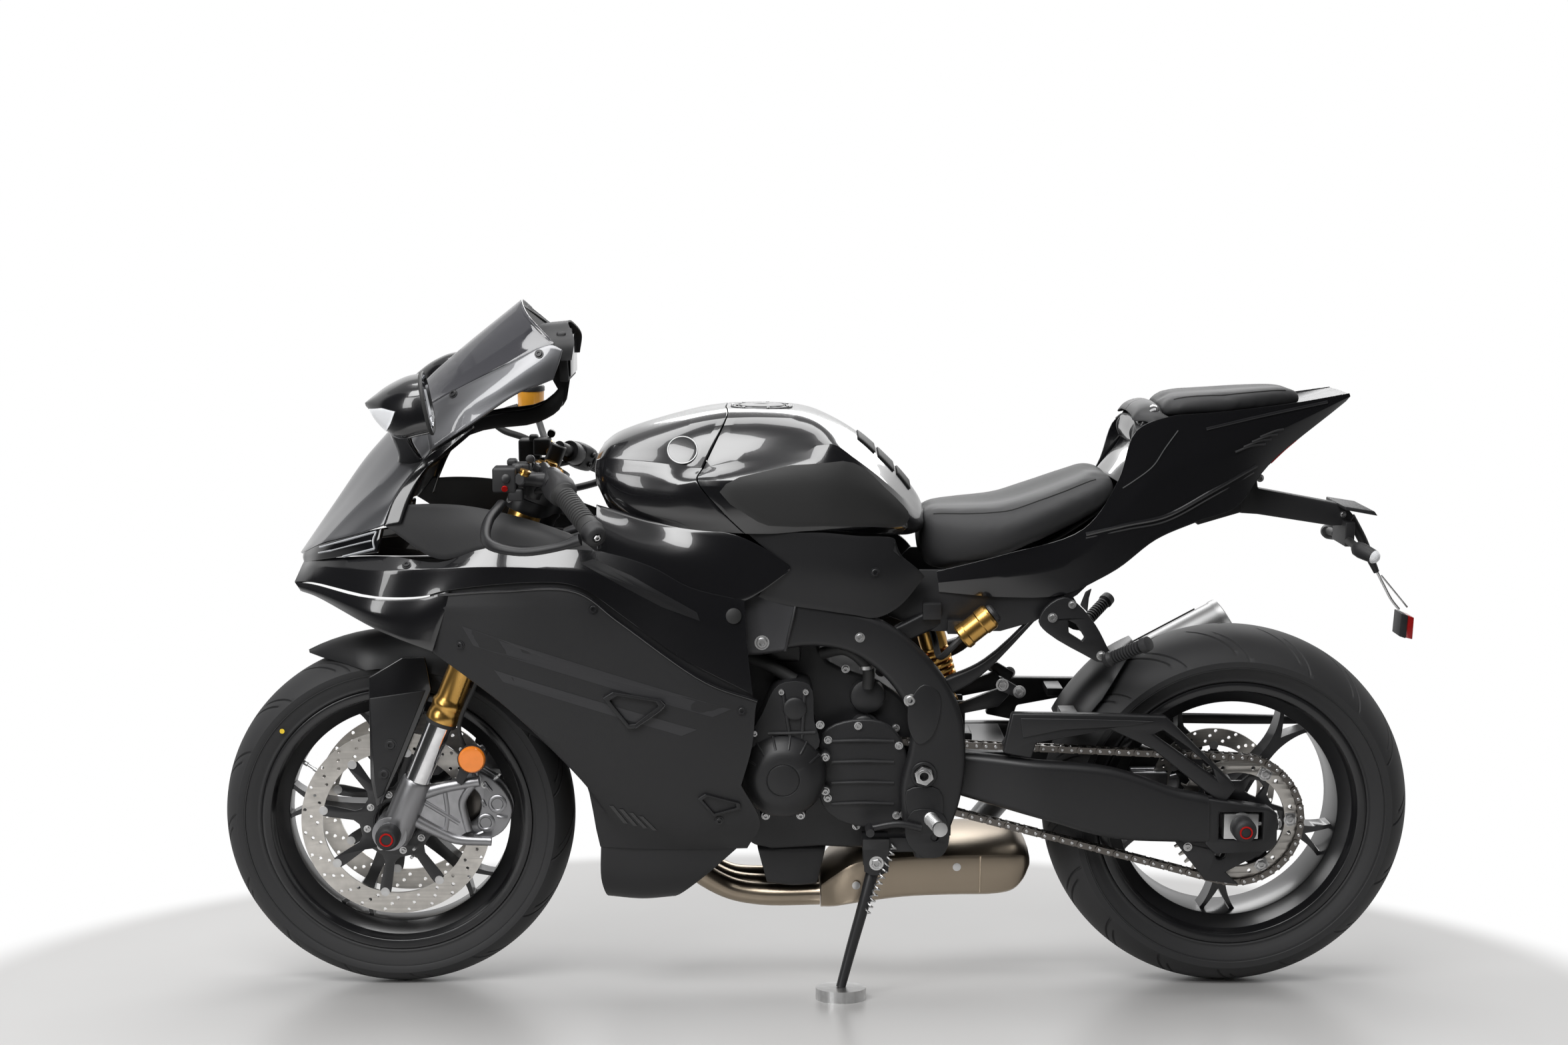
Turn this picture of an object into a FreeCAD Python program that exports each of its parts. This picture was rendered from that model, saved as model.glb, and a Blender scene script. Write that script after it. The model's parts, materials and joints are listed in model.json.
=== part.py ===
# Sport motorcycle, parked on its side stand with a puck under the foot.
# Drawn upright: X forward from the rear axle, Y to the rider's left, Z up from the ground, in millimetres.
# The last step leans every sub-part to the left and moves it so that the middle of the machine is the origin.
import FreeCAD, Part
import math
import os
import Sketcher
from FreeCAD import Placement, Rotation, Vector

os.makedirs("parts", exist_ok=True)
doc = FreeCAD.newDocument("SportMotorcycle")
sheet = doc.addObject("Spreadsheet::Sheet", "Sizes")


class Size:
    """A length or angle that knows its value and the sheet formula behind it."""

    def __init__(self, value, formula):
        self.value = float(value)
        self.formula = formula

    def _pair(self, other):
        if isinstance(other, Size):
            return other
        return Size(other, repr(float(other)))

    def _join(self, other, sign, value):
        return Size(value, "(" + self.formula + " " + sign + " " + other.formula + ")")

    def __add__(self, other):
        other = self._pair(other)
        return self._join(other, "+", self.value + other.value)

    def __sub__(self, other):
        other = self._pair(other)
        return self._join(other, "-", self.value - other.value)

    def __mul__(self, other):
        other = self._pair(other)
        return self._join(other, "*", self.value * other.value)

    def __truediv__(self, other):
        other = self._pair(other)
        return self._join(other, "/", self.value / other.value)

    def __radd__(self, other):
        return self._pair(other) + self

    def __rsub__(self, other):
        return self._pair(other) - self

    def __rmul__(self, other):
        return self._pair(other) * self

    def __rtruediv__(self, other):
        return self._pair(other) / self

    def __neg__(self):
        return Size(-self.value, "(0 - " + self.formula + ")")

    def __float__(self):
        return self.value


cell_row = [0]


def size(alias, value, meaning):
    """A driving dimension in its own cell of the sheet."""
    cell_row[0] += 1
    row = str(cell_row[0])
    sheet.set("A" + row, meaning)
    sheet.set("B" + row, str(value))
    sheet.setAlias("B" + row, alias)
    return Size(value, "Sizes." + alias)


# Whole machine
wheelbase = size("wheelbase", 1420, "front axle to rear axle")
front_axle_x = size("front_axle_station", 1420, "front axle ahead of the drawing's zero station")
lean = size("lean_angle", 9.416, "lean to the left on the side stand, degrees")
rake = size("rake_angle", 22.6, "steering axis from the vertical, degrees")
trail = size("trail", 94, "steering axis ahead of the front contact point, on the ground")
origin_x = size("origin_x", 702.5, "middle of the machine ahead of the rear axle")
origin_y = size("origin_y", 147, "middle of the leaning machine left of the contact line")

# Wheels
front_radius = size("front_tyre_radius", 300, "front tyre outer radius")
front_width = size("front_tyre_width", 120, "front tyre width")
rear_radius = size("rear_tyre_radius", 315, "rear tyre outer radius")
rear_width = size("rear_tyre_width", 182, "rear tyre width")
bead_radius = size("rim_bead_radius", 219, "radius where the tyre seats on the rim")
rim_lip = size("rim_lip_height", 10, "rim flange above the bead seat")
front_rim_width = size("front_rim_width", 92, "front rim width between the flanges")
rear_rim_width = size("rear_rim_width", 142, "rear rim width between the flanges")
rim_wall = size("rim_wall", 6, "rim barrel wall")
crown_turn = size("crown_half_angle", 67.6, "half the angle of the tyre's round crown, degrees")
crown_rise = size("crown_rise", 0.245, "rise of the crown as a share of the tyre width")
seat_gap = size("seat_gap", 0.3, "running or seating gap between two pieces")
axle_radius = size("axle_radius", 12.5, "wheel axle radius")
hub_radius = size("front_hub_radius", 30, "front hub radius")
rear_hub_radius = size("rear_hub_radius", 38, "rear hub radius")
spoke_count = size("spoke_count", 5, "spokes in each wheel")

# Brakes
disc_radius = size("front_disc_radius", 160, "front brake disc radius")
disc_band = size("front_disc_band", 36, "width of the front braking band")
disc_thick = size("disc_thickness", 4.5, "brake disc thickness")
disc_side = size("front_disc_side", 61.6, "front discs left and right of the middle")
rear_disc_radius = size("rear_disc_radius", 110, "rear brake disc radius")
rear_disc_side = size("rear_disc_side", 78, "rear disc right of the middle")
rear_disc_band = size("rear_disc_band", 30, "width of the rear braking band")
disc_arms = size("front_disc_arms", 8, "arms of the front disc carriers")
rear_disc_arms = size("rear_disc_arms", 6, "arms of the rear disc carrier")
carrier_bore = size("carrier_bore", 36, "hole through the disc carriers")
carrier_rim = size("carrier_rim", 58, "outer radius of the carriers' flat face")

# Final drive
chain_pitch = size("chain_pitch", 15.875, "chain pitch")
rear_teeth = size("rear_teeth", 43, "teeth on the rear sprocket")
front_teeth = size("front_teeth", 16, "teeth on the gearbox sprocket")
chain_side = size("chain_side", 102.9, "chain line left of the middle")
chain_width = size("chain_width", 21, "chain over its pins")
chain_height = size("chain_height", 15, "height of the chain side plates")
roller_radius = size("chain_roller_radius", 5, "radius of the chain rollers")
gearbox_x = size("gearbox_sprocket_x", 632, "gearbox sprocket ahead of the rear axle")
gearbox_z = size("gearbox_sprocket_z", 414, "gearbox sprocket above the ground")

# Swingarm and stand
pivot_x = size("pivot_x", 532, "swingarm pivot ahead of the rear axle")
pivot_z = size("pivot_z", 404, "swingarm pivot above the ground")
arm_side = size("swingarm_side", 128, "swingarm beams left and right of the middle")
arm_width = size("swingarm_width", 28, "swingarm beam width")
stand_x = size("stand_pivot_x", 609, "side stand hinge ahead of the rear axle")
stand_z = size("stand_pivot_z", 255, "side stand hinge above the ground")
stand_side = size("stand_side", 128, "side stand hinge left of the middle")
foot_x = size("stand_foot_x", 668, "side stand foot ahead of the rear axle")
foot_side = size("stand_foot_side", 172, "side stand foot left of the middle")
puck_radius = size("puck_radius", 42, "radius of the puck under the stand foot")
puck_height = size("puck_height", 19, "height of the puck")

# Fork
fork_side = size("fork_side", 105, "fork legs left and right of the middle")
axle_offset = size("axle_offset", 28.5, "front axle ahead of the steering axis")
leg_offset = size("leg_offset", 20.6, "fork legs ahead of the steering axis")
slider_radius = size("slider_radius", 21.5, "chromed fork tube radius")
outer_radius = size("outer_tube_radius", 27, "gold fork tube radius")
outer_low = size("outer_tube_low", 209, "lower end of the gold tube above the axle, along the fork")
lower_clamp = size("lower_clamp_height", 432, "lower clamp above the axle, along the fork")
upper_clamp = size("upper_clamp_height", 604, "upper clamp above the axle, along the fork")
fork_proud = size("fork_proud", 36, "fork tubes above the upper clamp")
bar_rise = size("bar_rise", 68, "handlebar root above the upper clamp")
bar_reach = size("bar_reach", 191, "handlebar from its root to its end, sideways")
bar_sweep = size("bar_sweep", 112, "handlebar end behind its root")
bar_drop = size("bar_drop", 30, "handlebar end below its root")
stem_radius = size("stem_radius", 15, "steering stem radius")
stem_bore = size("stem_bore_radius", 9, "hole through the steering stem")
head_wall = size("head_tube_wall", 12, "head tube wall")


def origin_plane(body, role):
    for feature in body.Origin.OriginFeatures:
        if feature.Role == role:
            return feature
    raise ValueError(role)


def new_body(name):
    body = doc.addObject("PartDesign::Body", name)
    body.Label = name
    return body


def bind(thing, path, value):
    """Sets a property from a Size, with its formula kept, or from a bare number."""
    if isinstance(value, Size):
        thing.setExpression(path, value.formula)


def new_sketch(body, role, offset=0.0):
    sketch = body.newObject("Sketcher::SketchObject", "Sketch")
    sketch.AttachmentSupport = [(origin_plane(body, role), "")]
    sketch.MapMode = "FlatFace"
    sketch.AttachmentOffset = Placement(Vector(0, 0, float(offset)), Rotation())
    bind(sketch, ".AttachmentOffset.Base.z", offset)
    return sketch


def fix_point(sketch, geometry, position, a, b):
    for kind, value in (("DistanceX", a), ("DistanceY", b)):
        index = sketch.addConstraint(Sketcher.Constraint(kind, -1, 1, geometry, position, float(value)))
        bind(sketch, "Constraints[%d]" % index, value)


def draw(sketch, outline):
    """A closed outline. A point is (a, b), or (a, b, via_a, via_b) where an arc leads to it."""
    count = len(outline)
    ends = []
    for i in range(count):
        start = outline[i]
        end = outline[(i + 1) % count]
        a = Vector(float(start[0]), float(start[1]), 0)
        b = Vector(float(end[0]), float(end[1]), 0)
        if len(end) == 4:
            via = Vector(float(end[2]), float(end[3]), 0)
            geometry = sketch.addGeometry(Part.Arc(a, via, b), False)
            point = sketch.addGeometry(Part.Point(via), True)
            fix_point(sketch, point, 1, end[2], end[3])
            sketch.addConstraint(Sketcher.Constraint("PointOnObject", point, 1, geometry))
        else:
            geometry = sketch.addGeometry(Part.LineSegment(a, b), False)
        forward = sketch.getPoint(geometry, 1).distanceToPoint(a) < 1e-6
        ends.append((geometry, 1, 2) if forward else (geometry, 2, 1))
    for i in range(count):
        geometry, first, last = ends[i]
        following = ends[(i + 1) % count]
        sketch.addConstraint(Sketcher.Constraint("Coincident", geometry, last, following[0], following[1]))
        fix_point(sketch, geometry, first, outline[i][0], outline[i][1])


def draw_circle(sketch, a, b, radius):
    circle = Part.Circle(Vector(float(a), float(b), 0), Vector(0, 0, 1), float(radius))
    geometry = sketch.addGeometry(circle, False)
    fix_point(sketch, geometry, 3, a, b)
    index = sketch.addConstraint(Sketcher.Constraint("Radius", geometry, float(radius)))
    bind(sketch, "Constraints[%d]" % index, radius)


def pad(body, sketch, length, both_sides=False, reverse=False):
    feature = body.newObject("PartDesign::Pad", "Pad")
    feature.Profile = sketch
    feature.Length = float(length)
    bind(feature, "Length", length)
    feature.SideType = "Symmetric" if both_sides else "One side"
    feature.Reversed = reverse
    return feature


def pocket(body, sketch, length, both_sides=True, reverse=False):
    feature = body.newObject("PartDesign::Pocket", "Pocket")
    feature.Profile = sketch
    feature.Length = float(length)
    bind(feature, "Length", length)
    feature.SideType = "Symmetric" if both_sides else "One side"
    feature.Reversed = reverse
    return feature


def revolve(body, sketch, axis="H_Axis"):
    feature = body.newObject("PartDesign::Revolution", "Revolution")
    feature.Profile = sketch
    feature.ReferenceAxis = (sketch, [axis])
    feature.Angle = 360
    return feature


def polar(body, feature, sketch, count):
    pattern = body.newObject("PartDesign::PolarPattern", "PolarPattern")
    pattern.Originals = [feature]
    pattern.Axis = (sketch, ["N_Axis"])
    pattern.Angle = 360
    pattern.Occurrences = int(float(count))
    bind(pattern, "Occurrences", count)
    body.Tip = pattern
    return pattern


def mirror(body, features, role="XZ_Plane"):
    feature = body.newObject("PartDesign::Mirrored", "Mirrored")
    feature.Originals = features
    feature.MirrorPlane = (origin_plane(body, role), [""])
    body.Tip = feature
    return feature


sub_parts = []
made = {}
lean_cos = math.cos(math.radians(float(lean)))
lean_sin = math.sin(math.radians(float(lean)))


def crown(radius, width):
    """The tread line from one shoulder to the crown, as (side, radius) pairs that keep their formulas."""
    half_turn = math.radians(float(crown_turn))
    points = []
    for share in (1, 0.68, 0.36, 0):
        out = math.sin(share * half_turn) / math.sin(half_turn)
        fall = (1 - math.cos(share * half_turn)) / (1 - math.cos(half_turn))
        points.append((width / 2 * out, radius - width * (crown_rise * fall)))
    return points


def contact_reach(radius, width):
    """From the axle straight down to the ground, with the tyre leant over."""
    return max(float(high) * lean_cos + float(side) * lean_sin for side, high in crown(radius, width))


lift = contact_reach(rear_radius, rear_width) - float(rear_radius) * lean_cos
front_axle_z = (contact_reach(front_radius, front_width) - lift) / lean_cos
rear_x = float(front_axle_x - wheelbase)
rear_z = float(rear_radius)
spoke_turn = {"front": Rotation(Vector(0, 1, 0), -7), "rear": Rotation(Vector(0, 1, 0), 16)}
wheel_frame = {
    "front": Placement(Vector(float(front_axle_x), 0, front_axle_z), spoke_turn["front"]),
    "rear": Placement(Vector(rear_x, 0, rear_z), spoke_turn["rear"]),
}
rake_turn = Rotation(Vector(0, 1, 0), -float(rake))
fork_origin = wheel_frame["front"].Base - rake_turn.multVec(Vector(float(axle_offset), 0, 0))
fork_frame = Placement(fork_origin, rake_turn)
machine = Placement()


def keep(thing, frame=machine):
    """Notes a finished sub-part and the frame that it is drawn in."""
    sub_parts.append((thing, frame))
    return thing


def shaped(name, shape, frame=machine):
    """A sub-part whose form is free: a document object that holds the given shape."""
    feature = doc.addObject("Part::Feature", name)
    feature.Label = name
    feature.Shape = shape
    made[name] = shape
    return keep(feature, frame)


def flipped(shape):
    """The same piece on the other side of the machine."""
    return shape.mirror(Vector(0, 0, 0), Vector(0, 1, 0))


def wire(points):
    return Part.makePolygon([Vector(*p) for p in points] + [Vector(*points[0])])


def beam(stations, chamfer):
    """A bar of eight-sided section. A station is top (x, z), low (x, z), side y and width."""
    wires = []
    for top, low, side, width in stations:
        up = Vector(top[0] - low[0], 0, top[1] - low[1])
        height = up.Length
        up.normalize()
        across = Vector(0, 1, 0)
        foot = Vector(low[0], side, low[1])
        half = width / 2.0
        corners = [
            (half - chamfer, 0), (half, chamfer), (half, height - chamfer), (half - chamfer, height),
            (chamfer - half, height), (-half, height - chamfer), (-half, chamfer), (chamfer - half, 0),
        ]
        points = [foot + across * a + up * b for a, b in corners]
        wires.append(Part.makePolygon(points + [points[0]]))
    return Part.makeLoft(wires, True, True)


def tube(points, radius, inner=0.0):
    """A round pipe along straight runs joined by arcs."""
    path = soft_path([Vector(*p) for p in points])
    start = Vector(*points[0])
    along = Vector(*points[1]) - start
    section = Part.Wire(Part.makeCircle(radius, start, along))
    solid = path.makePipeShell([section], True, False)
    if inner > 0:
        core = path.makePipeShell([Part.Wire(Part.makeCircle(inner, start, along))], True, False)
        solid = solid.cut(core)
    return solid


def soft_path(points):
    """Straight runs with an arc at each corner, as large as its two runs allow."""
    edges = []
    last = points[0]
    for i in range(1, len(points) - 1):
        before = points[i - 1] - points[i]
        after = points[i + 1] - points[i]
        reach = 0.45 * min(before.Length, after.Length)
        before.normalize()
        after.normalize()
        start = points[i] + before * reach
        end = points[i] + after * reach
        half_turn = (math.pi - before.getAngle(after)) / 2
        radius = reach / math.tan(half_turn)
        towards = (before + after).normalize()
        middle = points[i] + towards * (radius / math.cos(half_turn) - radius)
        edges.append(Part.LineSegment(last, start).toShape())
        edges.append(Part.Arc(start, middle, end).toShape())
        last = end
    edges.append(Part.LineSegment(last, points[-1]).toShape())
    return Part.Wire(edges)


def curve(points):
    spline = Part.BSplineCurve()
    spline.interpolate([Vector(*p) for p in points])
    return spline.toShape()


def skin(rows, wall, inward, middle=None):
    """A moulded shell. Each row is a line of points along the panel, and the rows go from edge to edge.

    The wall is laid on the side that inward points to. On a shell that crosses the middle of the machine, inward is
    for its left half, and middle is for the row on the middle line.
    """
    outer = [[Vector(*p) for p in row] for row in rows]
    inner = []
    for i in range(len(outer)):
        line = []
        for j in range(len(outer[i])):
            down = outer[min(i + 1, len(outer) - 1)][j] - outer[max(i - 1, 0)][j]
            along = outer[i][min(j + 1, len(outer[i]) - 1)] - outer[i][max(j - 1, 0)]
            normal = down.cross(along)
            normal.normalize()
            towards = Vector(*inward)
            if middle and outer[i][j].y < 0:
                towards.y = -towards.y
            if middle and outer[i][j].y == 0:
                towards = Vector(*middle)
            if normal.dot(towards) < 0:
                normal = normal * -1
            line.append(outer[i][j] + normal * wall)
        inner.append(line)
    return sewn(outer, inner)


def patch(a, b, c, d):
    """A straight-edged face between four corners, which may be a little twisted."""
    surface = Part.BSplineSurface()
    surface.buildFromPolesMultsKnots([[a, b], [d, c]], [2, 2], [2, 2], [0, 1], [0, 1], False, False, 1, 1)
    return surface.toShape()


def sewn(outer, inner):
    """A closed solid between two matching nets of points."""
    outer_curves = [curve([tuple(p) for p in row]) for row in outer]
    inner_curves = [curve([tuple(p) for p in row]) for row in inner]
    faces = []
    for curves in (outer_curves, inner_curves):
        for i in range(len(curves) - 1):
            faces.append(Part.makeRuledSurface(curves[i], curves[i + 1]))
    for i in (0, -1):
        faces.append(Part.makeRuledSurface(outer_curves[i], inner_curves[i]))
    for j in (0, -1):
        for i in range(len(outer) - 1):
            faces.append(patch(outer[i][j], outer[i + 1][j], inner[i + 1][j], inner[i][j]))
    return closed(faces)


def closed(faces):
    shell = Part.Shell(faces)
    shell.sewShape()
    solid = Part.Solid(shell)
    if solid.Volume < 0:
        solid.reverse()
    return solid


def lump(sections, ruled=False):
    """A solid through closed sections, each a list of points of the same count."""
    return Part.makeLoft([wire(section) for section in sections], True, ruled)


def both(shape):
    """The piece and its twin on the right, as one shape."""
    return Part.makeCompound([shape, flipped(shape)])


def rod(start, end, radius):
    start = Vector(*start)
    along = Vector(*end) - start
    return Part.makeCylinder(radius, along.Length, start, along)


def block(low, high):
    low = Vector(*low)
    high = Vector(*high)
    return Part.makeBox(high.x - low.x, high.y - low.y, high.z - low.z, low)


def slab(outline, low_y, high_y):
    """A flat plate: an outline of (x, z) points between two sides of the machine."""
    face = Part.Face(wire([(x, low_y, z) for x, z in outline]))
    return face.extrude(Vector(0, high_y - low_y, 0))


def boss(start, end, radius, target):
    """A round boss that grows from a piece and stops one seating gap short of another piece's surface."""
    pin = rod(start, end, radius)
    along = (Vector(*end) - Vector(*start)).normalize()
    rest = pin.cut(target)
    first = min(rest.Solids, key=lambda solid: solid.distToShape(Part.Vertex(*start))[0])
    first.translate(along * -float(seat_gap))
    return first.cut(target)


def bosses(pins, target):
    """Mounting bosses on both sides, each given as start, end and radius on the left."""
    return [side for start, end, radius in pins for one in [boss(start, end, radius, target)] for side in (one, flipped(one))]


def seated(solid, under):
    """What is left of a cushion above the shell that it rests on."""
    raised = under.copy()
    raised.translate(Vector(0, 0, float(seat_gap)))
    return max(solid.cut(raised).Solids, key=lambda piece: piece.Volume)


def across(rows):
    """A net from the right edge over the middle to the left edge, from the left half that starts at the middle."""
    right = [[(x, -y, z) for x, y, z in row] for row in reversed(rows[1:])]
    return right + rows


# Wheels, drawn round their own axle


def tyre(name, frame, radius, width, rim_width):
    body = new_body(name)
    sketch = new_sketch(body, "YZ_Plane")
    half = width / 2
    seat = rim_width / 2 - seat_gap
    shoulder = radius - width * crown_rise
    flank = bead_radius + rim_lip
    side = [(seat, bead_radius + seat_gap), (seat + 1, flank), (half - 1, flank + (shoulder - flank) * 0.55)]
    side += crown(radius, width)
    mirrored = [(0 - y, z) for y, z in reversed(side[:-1])]
    draw(sketch, side + mirrored)
    revolve(body, sketch)
    return keep(body, frame)


def rim(name, frame, rim_width, hub_rad, hub_half, spoke_depth):
    """Five spokes that fork towards a drop-centre rim, round a bored hub."""
    body = new_body(name)
    hub = new_sketch(body, "YZ_Plane")
    bore = axle_radius + seat_gap
    draw(hub, [(-hub_half, bore), (hub_half, bore), (hub_half, hub_rad), (-hub_half, hub_rad)])
    revolve(body, hub)
    well = bead_radius - 24
    spoke = new_sketch(body, "XZ_Plane")
    draw(spoke, [
        (hub_rad * 0.6, -17.0), (hub_rad + 26, -11.5), (well - 62, -10.0), (well - 34, -17.0), (well - 1, -31.0),
        (well - 1, 31.0), (well - 34, 17.0), (well - 62, 10.0), (hub_rad + 26, 11.5), (hub_rad * 0.6, 17.0),
    ])
    draw(spoke, [(well - 40, 0.0), (well - 9, -18.0), (well - 9, 18.0)])
    one = pad(body, spoke, spoke_depth, both_sides=True)
    polar(body, one, spoke, spoke_count)
    barrel = new_sketch(body, "YZ_Plane")
    half = rim_width / 2
    lip = bead_radius + rim_lip
    inner = well - rim_wall
    draw(barrel, [
        (-half - 5, lip), (-half, bead_radius), (12 - half, bead_radius), (24 - half, well), (half - 24, well),
        (half - 12, bead_radius), (half, bead_radius), (half + 5, lip),
        (half + 5, bead_radius - rim_wall), (half - 14, bead_radius - rim_wall), (half - 26, inner),
        (26 - half, inner), (14 - half, bead_radius - rim_wall), (-half - 5, bead_radius - rim_wall),
    ])
    revolve(body, barrel)
    return keep(body, frame)


def one_disc(name, radius, band, side, hub_face, arms):
    """A braking ring on a spidered carrier that reaches in to the hub."""
    body = new_body(name)
    low = side - disc_thick / 2
    ring = new_sketch(body, "YZ_Plane")
    inner = radius - band
    draw(ring, [(low, inner), (low + disc_thick, inner), (low + disc_thick, radius), (low, radius)])
    revolve(body, ring)
    hat = new_sketch(body, "YZ_Plane")
    face = size(name + "_hub_face", hub_face, "where the " + name.replace("_", " ") + " meets its hub")
    sign = 1 if float(side) > 0 else -1
    draw(hat, [(face, carrier_bore), (side + sign * 2.5, carrier_bore), (side + sign * 2.5, carrier_rim),
               (side - sign * 2.5, carrier_rim), (side - sign * 2.5, carrier_bore + 8), (face, carrier_bore + 8)])
    revolve(body, hat)
    arm = new_sketch(body, "XZ_Plane", 0 - side + disc_thick / 2)
    draw(arm, [(carrier_rim - 8, -9.0), (inner - 10, -7.0), (inner + 4, -7.0), (inner + 4, 7.0), (inner - 10, 7.0),
               (carrier_rim - 8, 9.0)])
    one = pad(body, arm, disc_thick, reverse=True)
    polar(body, one, arm, arms)
    return body


def disc(name, frame, radius, band, sides, arms):
    """The disc, or the pair of discs, of one wheel."""
    if len(sides) == 1:
        return keep(one_disc(name, radius, band, *sides[0], arms), frame)
    pair = doc.addObject("Part::Compound", name)
    pair.Label = name
    pair.Links = [one_disc(name + "_" + side_name, radius, band, side, face, arms)
                  for side_name, (side, face) in zip(("left", "right"), sides)]
    return keep(pair, frame)


tyre("front_tyre", "front", front_radius, front_width, front_rim_width)
rim("front_rim", "front", front_rim_width, hub_radius + 8, size("front_hub_half", 46, "half the front hub"), 30)
tyre("rear_tyre", "rear", rear_radius, rear_width, rear_rim_width)
rim("rear_rim", "rear", rear_rim_width, rear_hub_radius + 6, size("rear_hub_half", 60, "half the rear hub"), 40)
disc("front_discs", "front", disc_radius, disc_band, [(disc_side, 46.3), (-disc_side, -46.3)], disc_arms)
disc("rear_disc", "rear", rear_disc_radius, rear_disc_band, [(-rear_disc_side, -60.3)], rear_disc_arms)


def sprocket():
    """The toothed ring, its open carrier and the hub that it turns on."""
    body = new_body("rear_sprocket")
    pitch_radius = chain_pitch / (2 * math.sin(math.pi / float(rear_teeth)))
    low = chain_side - 3.5
    web = new_sketch(body, "YZ_Plane")
    draw(web, [(60.3, 30.0), (low, 30.0), (low, pitch_radius - 22), (low + 7, pitch_radius - 22),
               (low + 7, pitch_radius - 5), (low, pitch_radius - 5), (low, pitch_radius - 14), (low - 8, pitch_radius - 14),
               (low - 8, 42.0), (60.3, 42.0)])
    revolve(body, web)
    tooth = new_sketch(body, "XZ_Plane", 0 - low)
    draw(tooth, [(pitch_radius - 7, -4.6), (pitch_radius + 4.5, -1.8), (pitch_radius + 4.5, 1.8), (pitch_radius - 7, 4.6)])
    one = pad(body, tooth, 7, reverse=True)
    polar(body, one, tooth, rear_teeth)
    window = new_sketch(body, "XZ_Plane")
    draw_circle(window, 66, 0, 15)
    hole = pocket(body, window, 400)
    polar(body, hole, window, 6)
    return keep(body, "rear")


sprocket()

# Chain: one loop round both sprockets


def chain():
    rear = (rear_x, rear_z)
    front = (float(gearbox_x), float(gearbox_z))
    big = float(chain_pitch) / 2 / math.sin(math.pi / float(rear_teeth))
    small = float(chain_pitch) / 2 / math.sin(math.pi / float(front_teeth))
    run = math.hypot(front[0] - rear[0], front[1] - rear[1])
    tilt = math.atan2(front[1] - rear[1], front[0] - rear[0])
    lean_in = math.asin((big - small) / run)
    upper = tilt + math.pi / 2 - lean_in
    lower = tilt - math.pi / 2 + lean_in

    def at(centre, radius, angle, side):
        return Vector(centre[0] + radius * math.cos(angle), side, centre[1] + radius * math.sin(angle))

    def loop(offset, side):
        """The closed line round both sprockets at a distance outside the pitch line."""
        a = at(rear, big + offset, upper, side)
        b = at(front, small + offset, upper, side)
        c = at(front, small + offset, tilt, side)
        d = at(front, small + offset, lower, side)
        e = at(rear, big + offset, lower, side)
        f = at(rear, big + offset, tilt + math.pi, side)
        edges = [Part.LineSegment(a, b), Part.Arc(b, c, d), Part.LineSegment(d, e), Part.Arc(e, f, a)]
        return Part.Wire([edge.toShape() for edge in edges])

    def band(half_height, low, high):
        depth = Vector(0, high - low, 0)
        outer = Part.Face(loop(half_height, float(chain_side) + low)).extrude(depth)
        return outer.cut(Part.Face(loop(-half_height, float(chain_side) + low)).extrude(depth))

    half = float(chain_height) / 2
    edge = float(chain_width) / 2
    plates = [band(half, edge - 6.5, edge), band(half, -edge, 6.5 - edge)]
    runs = []
    for turn in (upper, lower):
        corners = []
        for offset in (float(roller_radius), -float(roller_radius)):
            start = at(rear, big + offset, turn, 0)
            end = at(front, small + offset, turn, 0)
            start = start + (end - start).normalize() * tooth_clear
            corners.append((start, end))
        outline = [corners[0][0], corners[0][1], corners[1][1], corners[1][0]]
        runs.append(slab([(p.x, p.z) for p in outline], float(chain_side) + 6.5 - edge, float(chain_side) + edge - 6.5))
    return shaped("chain", runs[0].fuse(runs[1:] + plates))


tooth_clear = 62
chain()

# Frame: twin spars from the head tube down to the pivot plates, with the seat rails

head_low = float(lower_clamp) + 14
head_high = float(upper_clamp) - 14


def on_fork(x, y, z):
    """A point given along the fork, as a place on the machine."""
    return fork_frame.multVec(Vector(x, y, z))


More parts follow.
